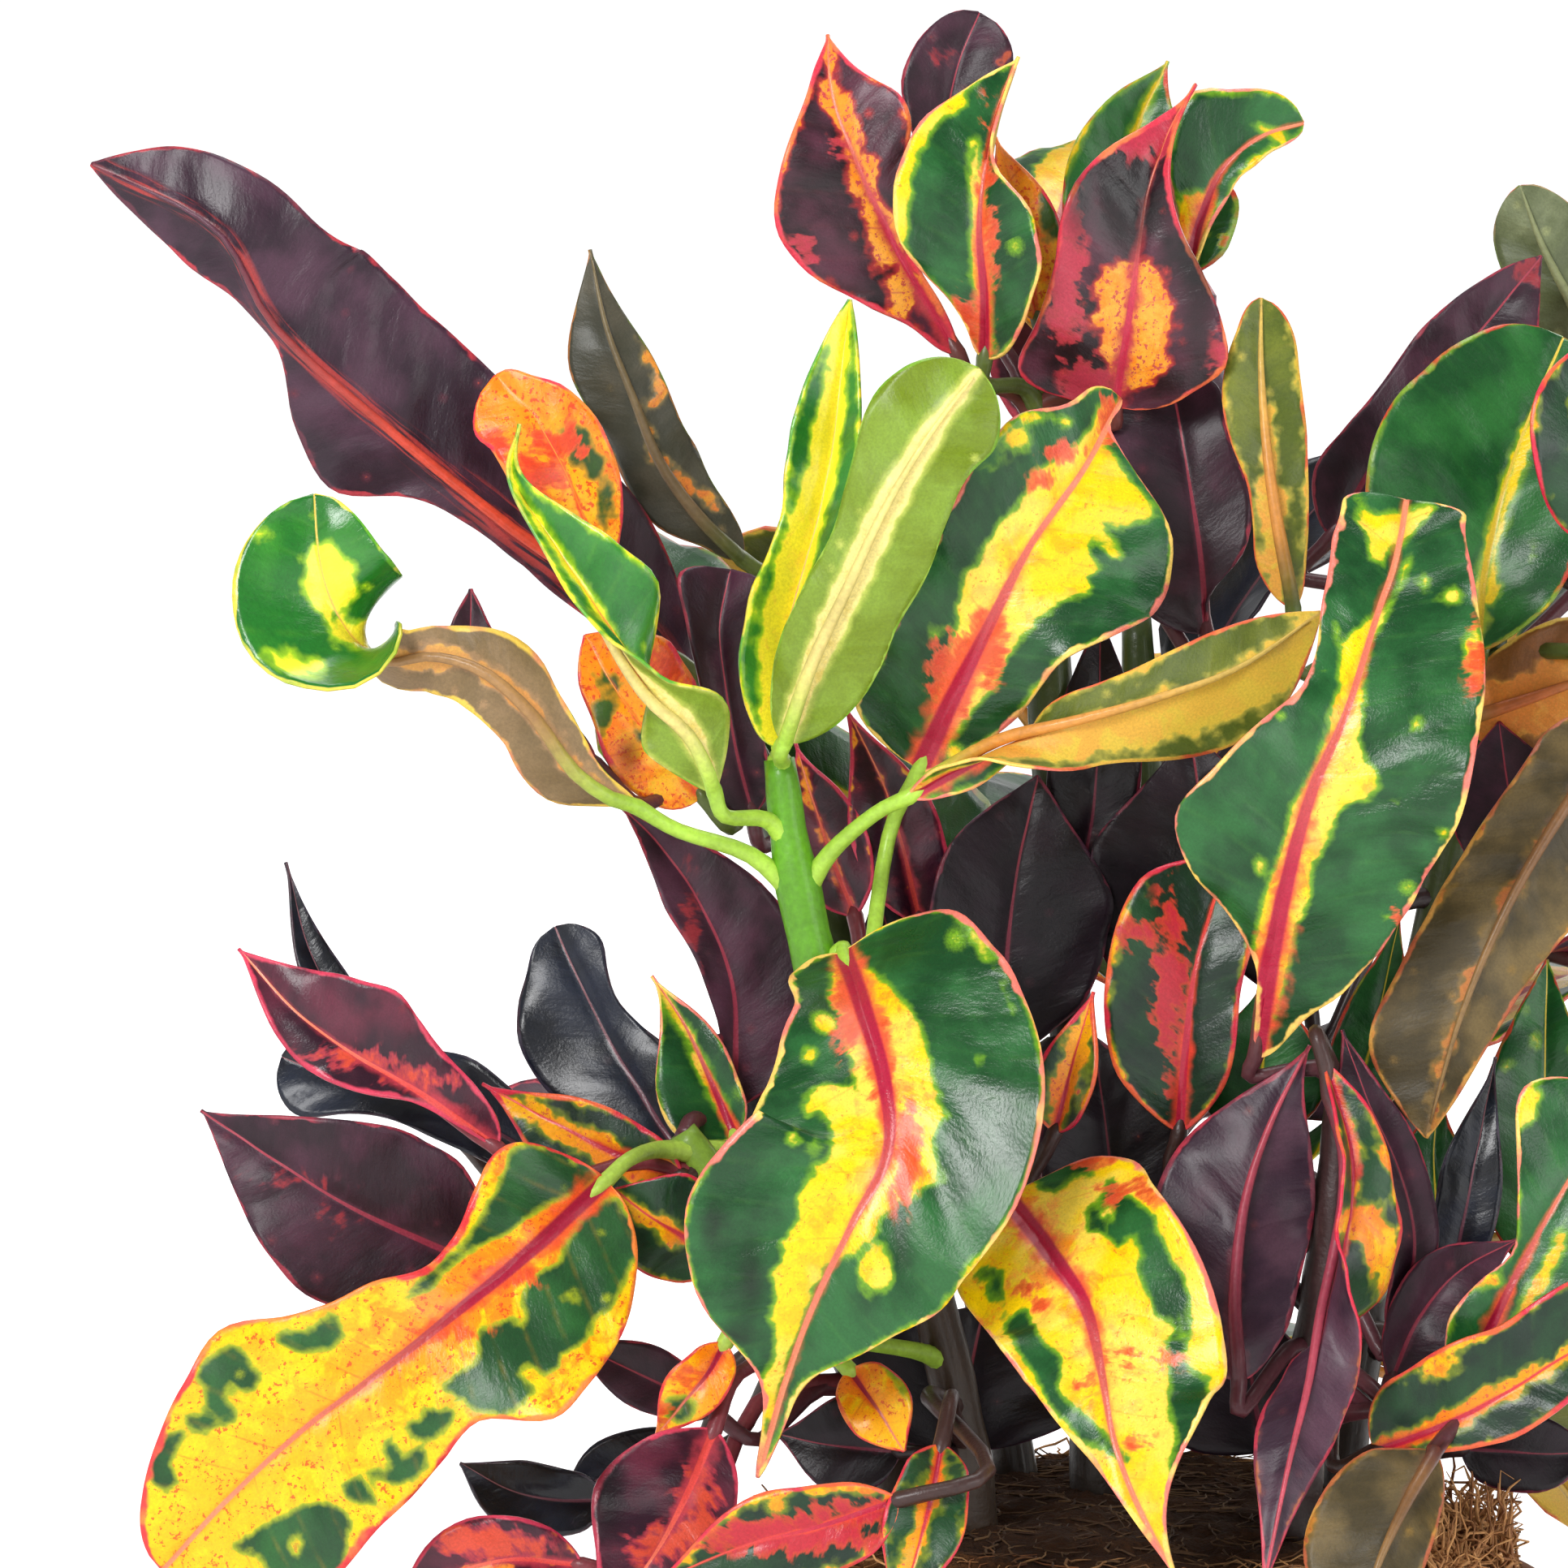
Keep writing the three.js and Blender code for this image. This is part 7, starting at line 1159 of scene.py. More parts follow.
LEAF_FINISHES = (
    # upper sides: a waxed skin gives broad soft highlights over strong colours
    LeafFinish("waxy_green_gold", "#0c4019", "#2e7236", "#76aa18", "#fcd000", "#ff9410", "#d43a1c", "#b01c3c",
               "#ee5c38", "#f07c6c", "#ffd468", "#4f8a34", rib_mm=1.75, glow_mm=2.2, ragged=0.7, comb=1.0, spots=0.08,
               warmth=0.35, freckles=0.4, roughness=0.3, cream=0.25),
    LeafFinish("waxy_green", "#0f461b", "#2b742e", "#6f9c1c", "#e8c400", "#d8b400", "#c8401c", "#c8a81c",
               "#8fa81c", "#c8402c", "#7a9a2c", "#3f8032", rib_mm=0.8, glow_mm=1.2, ragged=0.8, spots=0.1, warmth=0.2,
               freckles=0.1, rib_tip="#e8c850"),
    LeafFinish("waxy_green_red", "#10281a", "#1f5026", "#7a8a1c", "#f4ba00", "#f07c14", "#b81c38", "#b8203c",
               "#d8402c", "#d42a44", "#e8643c", "#3f6a2c", rib_mm=1.3, glow_mm=2.0, margin_mm=1.2, spots=0.1,
               warmth=0.6, freckles=0.5, rib_tip="#e8503c"),
    LeafFinish("waxy_gold", "#1a4420", "#2c6a2c", "#a8b41a", "#fccc00", "#fb8608", "#d03c18", "#a01434",
               "#e8501c", "#e03a3c", "#ff8a3c", "#d89a10", rib_mm=1.4, glow_mm=2.4, margin_mm=1.0, ragged=0.6,
               comb=0.8, warmth=0.62, freckles=0.7),
    LeafFinish("young_green", "#1a6a1e", "#3a8f22", "#a0cc20", "#fbe830", "#fad03c", "#f0a02c", "#e8702c",
               "#ffb84a", "#5fa82c", "#e8d84a", "#6fb02c", rib_mm=0.6, glow_mm=1.0, margin_mm=0.6, ragged=1.1,
               warmth=0.2, freckles=0.0, roughness=0.26, coat=0.4, rib_tip="#f0c850"),
    LeafFinish("waxy_orange", "#2c4a18", "#4a6a1c", "#c8901c", "#fc7c0c", "#fcb410", "#d43014", "#f07820",
               "#f05028", "#e0384a", "#f08a3c", "#d86a18", rib_mm=0.5, glow_mm=2.0, margin_mm=1.0, warmth=0.5,
               freckles=0.9, rib_tip="#f0a030"),
    LeafFinish("waxy_flame", "#1e0c14", "#56283a", "#b02c2c", "#fa8c1c", "#f8a838", "#b83048", "#c02c48",
               "#c03a44", "#d8384c", "#f07848", "#6a2428", rib_mm=1.0, glow_mm=2.6, margin_mm=1.0, ragged=1.6,
               comb=1.2, warmth=0.5, freckles=0.9, mottle=1.0),
    LeafFinish("waxy_plum", "#240c1a", "#4a2236", "#5a2434", "#b04a2c", "#96402c", "#a02c34", "#8e2a40",
               "#4a2030", "#9a2c40", "#3c1c2c", "#2c1622", rib_mm=1.0, glow_mm=1.8, margin_mm=0.6, mottle=0.9,
               relief=0.35, roughness=0.46, coat=0.05, rib_tip="#a83c4c"),
    # painted shade: a near-black finish for the leaves that fill the dark gaps inside the crown
    LeafFinish("waxy_painted_shade", "#0e060d", "#20101c", "#30141e", "#a03c2c", "#c0602c", "#7a2030", "#6a2034",
               "#34141e", "#6a2434", "#38182a", "#1c0c16", rib_mm=0.9, glow_mm=1.4, margin_mm=0.6, mottle=0.9,
               roughness=0.42, coat=0.0, rib_tip="#8a3440"),
    LeafFinish("waxy_wine", "#2c0c1e", "#5e2034", "#7a2434", "#f0a02c", "#f07c2c", "#e0502c", "#e04a44",
               "#b43444", "#d8405c", "#c03450", "#4a1826", rib_mm=1.2, glow_mm=3.0, margin_mm=1.3, mottle=1.0,
               warmth=0.6, freckles=0.6),
    LeafFinish("waxy_slate", "#0a0d16", "#1b2233", "#2c2430", "#6a2c34", "#8a3a34", "#5a2434", "#6a3a48",
               "#261e2a", "#3a3442", "#3a2430", "#161c24", rib_mm=0.9, glow_mm=1.2, margin_mm=0.6, mottle=0.9,
               roughness=0.34, coat=0.2, rib_tip="#8a5a60"),
    # undersides: a matt skin, paler, with raised veins
    LeafFinish("matt_olive", "#4c5a14", "#7c8426", "#a8a03c", "#d8b83c", "#e0a03c", "#d0703c", "#d89040",
               "#d0ac50", "#e0643c", "#e8b848", "#7f7c30", rib_mm=1.0, glow_mm=2.0, margin_mm=0.8, warmth=0.5,
               freckles=0.1, relief=-0.7, roughness=0.52, coat=0.0, rib_tip="#c8a850"),
    LeafFinish("young_underside", "#6c820c", "#88a838", "#b4c050", "#f0de88", "#e0c860", "#d8a040", "#dcc878",
               "#e0d470", "#7aa82c", "#a0c44c", "#93b840", rib_mm=0.5, glow_mm=1.2, margin_mm=0.5, ragged=0.5,
               comb=0.2, warmth=0.2, freckles=0.0, relief=-0.6, roughness=0.42, coat=0.1, rib_tip="#f0dc80"),
    LeafFinish("matt_tan", "#75603e", "#957a58", "#a8845c", "#d8a850", "#d0904c", "#b06848", "#a07848",
               "#a88058", "#e8c04c", "#d88a60", "#806844", rib_mm=0.8, glow_mm=1.4, margin_mm=0.9, warmth=0.5,
               freckles=0.2, relief=-0.6, roughness=0.5, coat=0.05, rib_tip="#b08a58"),
    LeafFinish("matt_grey", "#38382a", "#5a5444", "#7a6a40", "#d8942c", "#d87a2c", "#a84a2c", "#6e5a3c",
               "#5a4c34", "#a86a34", "#5c6a2c", "#4a4430", rib_mm=0.5, glow_mm=1.0, margin_mm=0.6, relief=-0.6,
               roughness=0.46, coat=0.1, rib_tip="#6e6040"),
    LeafFinish("matt_sage", "#565f3c", "#8d9670", "#9aa06c", "#c8b070", "#c0a060", "#a07048", "#8a9064",
               "#868c60", "#a89068", "#6c7c44", "#7c8560", rib_mm=0.6, glow_mm=1.6, margin_mm=0.5, mottle=0.9,
               relief=-0.6, roughness=0.5, coat=0.05, rib_tip="#8a9064"),
    LeafFinish("matt_brown", "#3e341a", "#6c5a34", "#80642c", "#c08030", "#b86030", "#9a4430", "#7a5430",
               "#705030", "#b8603c", "#d09848", "#5c4a24", rib_mm=0.8, glow_mm=2.0, margin_mm=0.9, mottle=1.0,
               relief=-0.7, roughness=0.5, coat=0.05, rib_tip="#86683c"),
    LeafFinish("matt_ochre", "#6a5a20", "#8a7028", "#b08c30", "#e0a430", "#dc8030", "#c0502c", "#c05a38",
               "#d0803c", "#d8503c", "#e0903c", "#8a6c2c", rib_mm=1.0, glow_mm=2.0, margin_mm=0.8, warmth=0.6,
               freckles=0.3, relief=-0.7, roughness=0.5, coat=0.05, rib_tip="#c88a48"),
    LeafFinish("matt_orange", "#7a4c20", "#a0602a", "#b87a34", "#e8a040", "#e08430", "#c8582c", "#c86a34",
               "#d88a40", "#e8c050", "#d8703c", "#8a5a28", rib_mm=1.0, glow_mm=2.0, margin_mm=0.9, warmth=0.6,
               freckles=0.3, relief=-0.7, roughness=0.5, coat=0.05, rib_tip="#d08a48"),
    LeafFinish("matt_plum", "#30182a", "#543444", "#5a2c34", "#a05a34", "#a84a34", "#8a2c38", "#9a3a4c",
               "#6a3040", "#c03c50", "#7a3444", "#38202a", rib_mm=1.1, glow_mm=2.0, margin_mm=0.9, mottle=0.9,
               relief=-0.7, roughness=0.46, coat=0.1, rib_tip="#c04858"),
    LeafFinish("striped_plum", "#260f20", "#49293c", "#5a2434", "#c04a2c", "#d8702c", "#a82c38", "#d8482e",
               "#a83634", "#b43440", "#5a2838", "#2c1822", rib_mm=1.0, glow_mm=1.2, margin_mm=0.7, mottle=0.9,
               stripes=7.0, relief=-0.4, roughness=0.4, coat=0.1, rib_tip="#54283a"),
)


def grid_places(bm: bmesh.types.BMesh) -> tuple[Array, Array]:
    """The places of a grid's vertices, from 0 to 1 along and from -1 to 1 across."""
    spots = np.array([vertex.co[:2] for vertex in bm.verts])
    return (spots[:, 1] + 1) / 2, spots[:, 0]


def shape_grid(bm: bmesh.types.BMesh, points: Array, **layers: Array) -> None:
    """Moves a mesh's vertices to new points, and keeps what colours them.

    Args:
        bm: The mesh.
        points: One point in millimetres for each vertex.
        layers: One vector for each vertex, by the name of the attribute that its material reads.
    """
    for vertex, point in zip(bm.verts, points * MM):
        vertex.co = point
    for key, values in layers.items():
        layer = bm.verts.layers.float_vector.new(key)
        for vertex, value in zip(bm.verts, values):
            vertex[layer] = value


def finish_piece(name: str, bm: bmesh.types.BMesh, materials: list, node: str) -> bpy.types.Object:
    """Makes a piece of the plant from a mesh, which rides on the body and stands for a solid.

    Args:
        name: The piece's name.
        bm: Its mesh, which is freed.
        materials: Its materials, in the order of its slots.
        node: The solid that it stands for.

    Returns:
        The object.
    """
    mesh = bpy.data.meshes.new(name)
    bm.to_mesh(mesh)
    bm.free()
    for material in materials:
        mesh.materials.append(material)
    mesh.polygons.foreach_set("use_smooth", [True] * len(mesh.polygons))
    piece = bpy.data.objects.new(name, mesh)
    bpy.context.scene.collection.objects.link(piece)
    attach(piece, "root")
    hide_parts(node)
    log.info("%s: %d faces", name, len(mesh.polygons))
    return piece


class Tubes:
    """A mesh of round tubes, each along its own path, with the colour of each point kept as its tone."""

    def __init__(self) -> None:
        """Starts with an empty mesh."""
        self.bm = bmesh.new()
        self.tone = self.bm.verts.layers.float_vector.new("tone")

    def run(self, points: Array, radii: Array, tones: Array, sides: int = 10) -> None:
        """Adds a closed tube.

        Args:
            points: The path, in millimetres.
            radii: The tube's radius at each point.
            tones: The linear colour at each point.
            sides: How many faces run round the tube.
        """
        rows = len(points)
        made = bmesh.ops.create_grid(self.bm, x_segments=sides, y_segments=rows - 1, size=1)["verts"]
        tangents = unit(np.gradient(points, axis=0))
        spoke = np.cross(tangents[0], (0, 0, 1) if abs(tangents[0][2]) < 0.9 else (1, 0, 0))
        spokes = []
        for tangent in tangents:
            spoke = unit(spoke - tangent * (spoke @ tangent))
            spokes.append(spoke)
        others = np.cross(tangents, spokes)
        ends = []
        for vertex in made:
            row = round((vertex.co.y + 1) / 2 * (rows - 1))
            turn = math.pi * vertex.co.x
            out = spokes[row] * math.cos(turn) + others[row] * math.sin(turn)
            vertex.co = (points[row] + out * radii[row]) * MM
            vertex[self.tone] = tones[row][:3]
            if row in (0, rows - 1):
                ends.append(vertex)
        bmesh.ops.remove_doubles(self.bm, verts=made, dist=1e-7)
        rims = {edge for vertex in ends if vertex.is_valid for edge in vertex.link_edges if edge.is_boundary}
        bmesh.ops.holes_fill(self.bm, edges=list(rims), sides=0)

    def mesh(self) -> bmesh.types.BMesh:
        """Turns the faces of the closed tubes outward.

        Returns:
            The mesh.
        """
        bmesh.ops.recalc_face_normals(self.bm, faces=self.bm.faces[:])
        return self.bm


class LeafMesh:
    """The fine surface of one leaf on the form of its blade: a channelled rib, swollen skin and a thin edge."""

    THICKNESS = 0.55
    CHANNEL = 0.55
    SWELL = 0.4
    SWELL_LENGTH = 15.0
    RUFFLE = 0.75
    RUFFLE_LENGTH = 13.0
    CHANNEL_WIDTH = 1.4
    STEPS = 64
    LEAST_ROWS = 24
    LEAST_COLUMNS = 12
    ROW_LENGTH = 1.5
    COLUMN_WIDTH = 2.8

    def __init__(self, blade: Blade, marks: Marks, number: float) -> None:
        """Keeps what the leaf is made from.

        Args:
            blade: Its blade.
            marks: Its markings.
            number: A number of its own between 0 and 1, which sets its patterns apart.
        """
        self.blade = blade
        self.marks = marks
        self.number = number

    def surface(self, t: Array, q: Array) -> tuple[Array, dict[str, Array]]:
        """Finds the leaf's mid surface and what colours it.

        Args:
            t: Shares of the length.
            q: Shares of the half width, negative at the left.

        Returns:
            The points, and the vectors place, tint and trait that the finish reads.
        """
        blade = self.blade
        shares = np.arange(self.STEPS + 1) / self.STEPS
        lengths = np.linalg.norm(np.diff(keyed(blade.rib, shares), axis=0), axis=1)
        along = np.interp(t, shares, np.concatenate([[0], np.cumsum(lengths)]))
        half = blade.half_width(t, q, FINE_HALF_WIDTH)
        across = q * half
        edge = (1 - np.abs(q)) * half
        size = min(1.1, max(0.45, float(np.max(half)) / 22))
        points = blade.at(t, q, FINE_HALF_WIDTH)
        _, up, _ = blade.frame(t)
        lean = along - 0.6 * np.abs(across) + np.where(across < 0, 6.5, 0) + 40 * self.number
        drift = 1.6 * np.sin(lean / 9.7 + 5 * self.number) + 1.1 * np.sin(across / 5.3 + 9 * self.number)
        swell = self.SWELL * np.sin(2 * math.pi * lean / self.SWELL_LENGTH + drift)
        swell = swell * np.sin(math.pi * np.abs(q) ** 0.8)
        side = np.where(across < 0, 2.1, 0) + 7 * self.number
        ruffle = np.sin(2 * math.pi * along / self.RUFFLE_LENGTH + side) * np.sin(along / 8.3 + 2 * side)
        ruffle = self.RUFFLE * ruffle * np.abs(q) ** 5 * smooth(1 - t, 0, 0.15)
        channel = -self.CHANNEL * np.exp(-(across / self.CHANNEL_WIDTH) ** 2) * smooth(t, 0, 0.1)
        points = points + up * ((swell + ruffle) * np.minimum(1, half / 9) + channel)[:, None]
        return points, {
            "place": np.stack([along, across, edge], axis=-1),
            "tint": self.marks.tint(VIEW.places(points), t, across, edge),
            "trait": np.stack([np.full(len(t), self.number), t, np.full(len(t), size)], axis=-1),
        }

    def build(self, node: str, finishes: dict[str, bpy.types.Material], fine: bool) -> bpy.types.Object:
        """Builds the leaf.

        Args:
            node: The solid that it stands for, with others.
            finishes: The finishes, by name.
            fine: Whether the leaf is seen from close by.

        Returns:
            The leaf, with its underside in its second material.
        """
        bm = bmesh.new()
        rows, columns = self.LEAST_ROWS, self.LEAST_COLUMNS
        if fine:
            length = float(np.sum(np.linalg.norm(np.diff(self.blade.rib, axis=0), axis=1)))
            width = max(self.blade.spec.left) + max(self.blade.spec.right)
            rows = max(self.LEAST_ROWS, round(length / self.ROW_LENGTH))
            columns = 2 * max(self.LEAST_COLUMNS // 2, round(width / self.COLUMN_WIDTH))
        bmesh.ops.create_grid(bm, x_segments=columns, y_segments=rows, size=1)
        t, q = grid_places(bm)
        t = 0.45 * t + 0.55 * (1 - np.cos(math.pi * t)) / 2
        points, layers = self.surface(t, np.sign(q) * np.abs(q) ** 1.12)
        shape_grid(bm, points, **layers)
        piece = finish_piece("leaf_" + self.blade.spec.name, bm, [finishes[name] for name in self.marks.look.value],
                             node)
        shell = piece.modifiers.new("skin", "SOLIDIFY")
        shell.thickness = self.THICKNESS * MM
        shell.offset = 0
        shell.material_offset = 1
        return piece


@dataclass(frozen=True)
class StemTones:
    """How a stem is coloured: its old bark, its young shoot, and the petioles of its green leaves."""

    bark: str = "#3a2a1c"
    shoot: str = "#5c9a16"
    stalk: str = "#a4cc44"


STEM_TONES = {"front": StemTones(), "low": StemTones("#32241a", "#7a9a34", "#b0d050"),
              "right": StemTones("#2e1f1c", "#3c2424", "#5a2e34")}
SHADED_STEM = StemTones("#2c221a", "#3a4a1c", "#56642a")


@dataclass
class LeafyStem:
    """One leafy stem of the plant: its stem, petioles and midribs in one piece, and its leaves."""

    name: str
    path: Array
    leaves: list[LeafMesh]
    tones: StemTones

    STEM_ROWS = 45
    STEM_SIDES = 20
    PETIOLE_ROWS = 13
    MIDRIB_ROWS = 26
    RIB_RADIUS = 1.35

    @property
    def node(self) -> str:
        """The solid that the stem's pieces stand for."""
        return "leafy_stem_" + self.name

    def stalk_tone(self, leaf: LeafMesh) -> str:
        """The colour of a leaf's petiole: lime under green leaves and purplish under dark ones."""
        # the petioles of the near-black leaves of painted shade are painted near-black too
        dark = {Look.PLUM: "#5a2c34", Look.STRIPED_PLUM: "#7a3a34", Look.DARK: "#2a1a1c", Look.SLATE: "#4a3a34",
                Look.WINE: "#7a3038", Look.FLAME: "#6a3430", Look.GREEN_RED: "#3c2420"}
        return dark.get(leaf.marks.look, self.tones.stalk)

    def frame_mesh(self) -> Tubes:
        """Builds the stem with its petioles, and a midrib under each blade.

        Returns:
            The tubes.
        """
        tubes = Tubes()
        t = np.linspace(0, 1, self.STEM_ROWS)
        bark, shoot = np.array(linear(self.tones.bark)), np.array(linear(self.tones.shoot))
        tones = bark + (shoot - bark) * smooth(t, 0.55, 0.8)[:, None]
        radii = STEM_RADIUS * (1 - 0.3 * smooth(t, 0.8, 1)) * (1 + 0.05 * np.sin(t * 61))
        tubes.run(keyed(self.path, t), radii, tones, self.STEM_SIDES)
        for leaf in self.leaves:
            blade = leaf.blade
            s = np.linspace(0, 1, self.PETIOLE_ROWS)
            petiole = keyed(blade.stalk(self.path), s)
            petiole_radii = self.RIB_RADIUS + 0.95 * (1 - s) ** 3 + 0.25 * s ** 6
            t = np.linspace(0.02, 0.97, self.MIDRIB_ROWS)
            _, up, _ = blade.frame(t)
            rib_radii = self.RIB_RADIUS * (1 - t) ** 0.8 + 0.12
            sunk = (0.9 + rib_radii) * smooth(t, 0, 0.06)
            midrib = keyed(blade.rib, t) - up * sunk[:, None]
            tone = np.array(linear(self.stalk_tone(leaf)))
            under = FINISH_BY_NAME[leaf.marks.look.value[1]]
            old, young = np.array(linear(under.rib)), np.array(linear(under.rib_tip))
            rib_tones = old + (young - old) * smooth(t, 0.35, 0.85)[:, None]
            rib_tones = tone + (rib_tones - tone) * smooth(t, 0.0, 0.25)[:, None]
            tubes.run(np.concatenate([petiole, midrib]), np.concatenate([petiole_radii, rib_radii]),
                      np.concatenate([np.repeat(tone[None], len(s), axis=0), rib_tones]))
        return tubes

    def build(self, finishes: dict[str, bpy.types.Material]) -> None:
        """Builds the stem and its leaves.

        Args:
            finishes: The finishes, by name.
        """
        finish_piece("stem_" + self.name, self.frame_mesh().mesh(), [finishes["green_bark"]], self.node)
        for leaf in self.leaves:
            leaf.build(self.node, finishes, leaf.blade.spec.points is None)


@dataclass(frozen=True)
class BarkFinish:
    """A smooth green or woody stem: thin bark with fine length-wise grain and pale pores."""

    name: str = "green_bark"

    def build(self) -> bpy.types.Material:
        """Builds the material, which takes its colour from the attribute tone."""
        material, tree = new_tree(self.name)
        spot = add(tree, "TexCoord").outputs["Object"]
        tone = add(tree, "Attribute", attribute_name="tone").outputs["Vector"]
        cloud = add(tree, "TexNoise", spot, 90.0, 3.0, 0.6)
        grain = add(tree, "TexNoise", spot, 900.0, 2.0, 0.6)
        shade = add(tree, "MapRange", cloud, 0.3, 0.7, 0.8, 1.15)
        shade = add(tree, "Math", shade, add(tree, "MapRange", grain, 0.3, 0.7, 0.85, 1.1), operation="MULTIPLY")
        skin = add(tree, "Mix", 1.0, tone, add(tree, "CombineColor", shade, shade, shade), data_type="RGBA",
                   blend_type="MULTIPLY")
        bump = add(tree, "Bump", named={"Height": grain, "Distance": 0.0002, "Strength": 0.6})
        add(tree, "OutputMaterial", add(tree, "BsdfPrincipled", named={
            "Base Color": skin, "Roughness": 0.42, "IOR": 1.45, "Coat Weight": 0.1, "Normal": bump}))
        return material


@dataclass(frozen=True)
class CoirFinish:
    """Coir and peat: dried out, crumbly and fibrous, brown with pale straw-coloured strands."""

    name: str
    dark: str
    pale: str
    grain_mm: float
    depth_mm: float

    def build(self) -> bpy.types.Material:
        """Builds the material."""
        material, tree = new_tree(self.name)
        spot = add(tree, "TexCoord").outputs["Object"]
        crumb = add(tree, "TexNoise", spot, 1 / (self.grain_mm * MM), 6.0, 0.7)
        clod = add(tree, "TexNoise", spot, 1 / (9 * MM), 3.0, 0.6)
        grain = add(tree, "TexVoronoi", spot, 1 / (1.4 * MM), 1.0, 0.5)
        mix = add(tree, "MapRange", add(tree, "Math", crumb, clod, operation="MULTIPLY"), 0.12, 0.42, 0.0, 1.0)
        # the middle is painted dark, as the shade under the leaves, and the painted shade lifts toward the rim
        reach = add(tree, "VectorMath", spot, (1, 1, 0), operation="MULTIPLY")
        reach = add(tree, "VectorMath", reach, operation="LENGTH").outputs["Value"]
        unshaded = add(tree, "MapRange", reach, 0.045, 0.068, 0.08, 1.0, interpolation_type="SMOOTHSTEP")
        mix = add(tree, "Math", mix, unshaded, operation="MULTIPLY")
        skin = add(tree, "Mix", mix, linear(self.dark), linear(self.pale), data_type="RGBA")
        height = add(tree, "Math", grain, 0.5, crumb, operation="MULTIPLY_ADD")
        bump = add(tree, "Bump", named={"Height": height, "Distance": self.depth_mm * MM, "Strength": 1.0})
        add(tree, "OutputMaterial", add(tree, "BsdfPrincipled", named={
            "Base Color": skin, "Roughness": 0.92, "IOR": 1.4, "Specular IOR Level": 0.25, "Normal": bump}))
        return material


@dataclass(frozen=True)
class CoirStrandFinish:
    """Loose coir strands: dull, dried fibre, each with its own tone."""

    name: str = "coir_strands"

    def build(self) -> bpy.types.Material:
        """Builds the material."""
        material, tree = new_tree(self.name)
        tone = add(tree, "Attribute", attribute_name="tone").outputs["Vector"]
        grain = add(tree, "TexNoise", add(tree, "TexCoord").outputs["Object"], 700.0, 2.0, 0.6)
        shade = add(tree, "MapRange", grain, 0.3, 0.7, 0.7, 1.15)
        skin = add(tree, "Mix", 1.0, tone, add(tree, "CombineColor", shade, shade, shade), data_type="RGBA",
                   blend_type="MULTIPLY")
        add(tree, "OutputMaterial", add(tree, "BsdfPrincipled", named={
            "Base Color": skin, "Roughness": 0.8, "IOR": 1.45}))
        return material


def turned(profile: list[tuple[float, float]], steps: int) -> bmesh.types.BMesh:
    """Turns a profile once round the pot's axis.

    Args:
        profile: Each point's distance from the axis and its height, in millimetres.
        steps: How many faces run round the skin.

    Returns:
        The mesh, with its faces outward.
    """
    bm = bmesh.new()
    chain = [bm.verts.new((r * MM, 0, z * MM)) for r, z in profile]
    edges = [bm.edges.new(pair) for pair in zip(chain, chain[1:])]
    bmesh.ops.spin(bm, geom=chain + edges, cent=(0, 0, 0), axis=(0, 0, 1), angle=2 * math.pi, steps=steps,
                   use_merge=True)
    bmesh.ops.remove_doubles(bm, verts=bm.verts[:], dist=WELD)
    bmesh.ops.recalc_face_normals(bm, faces=bm.faces[:])
    return bm


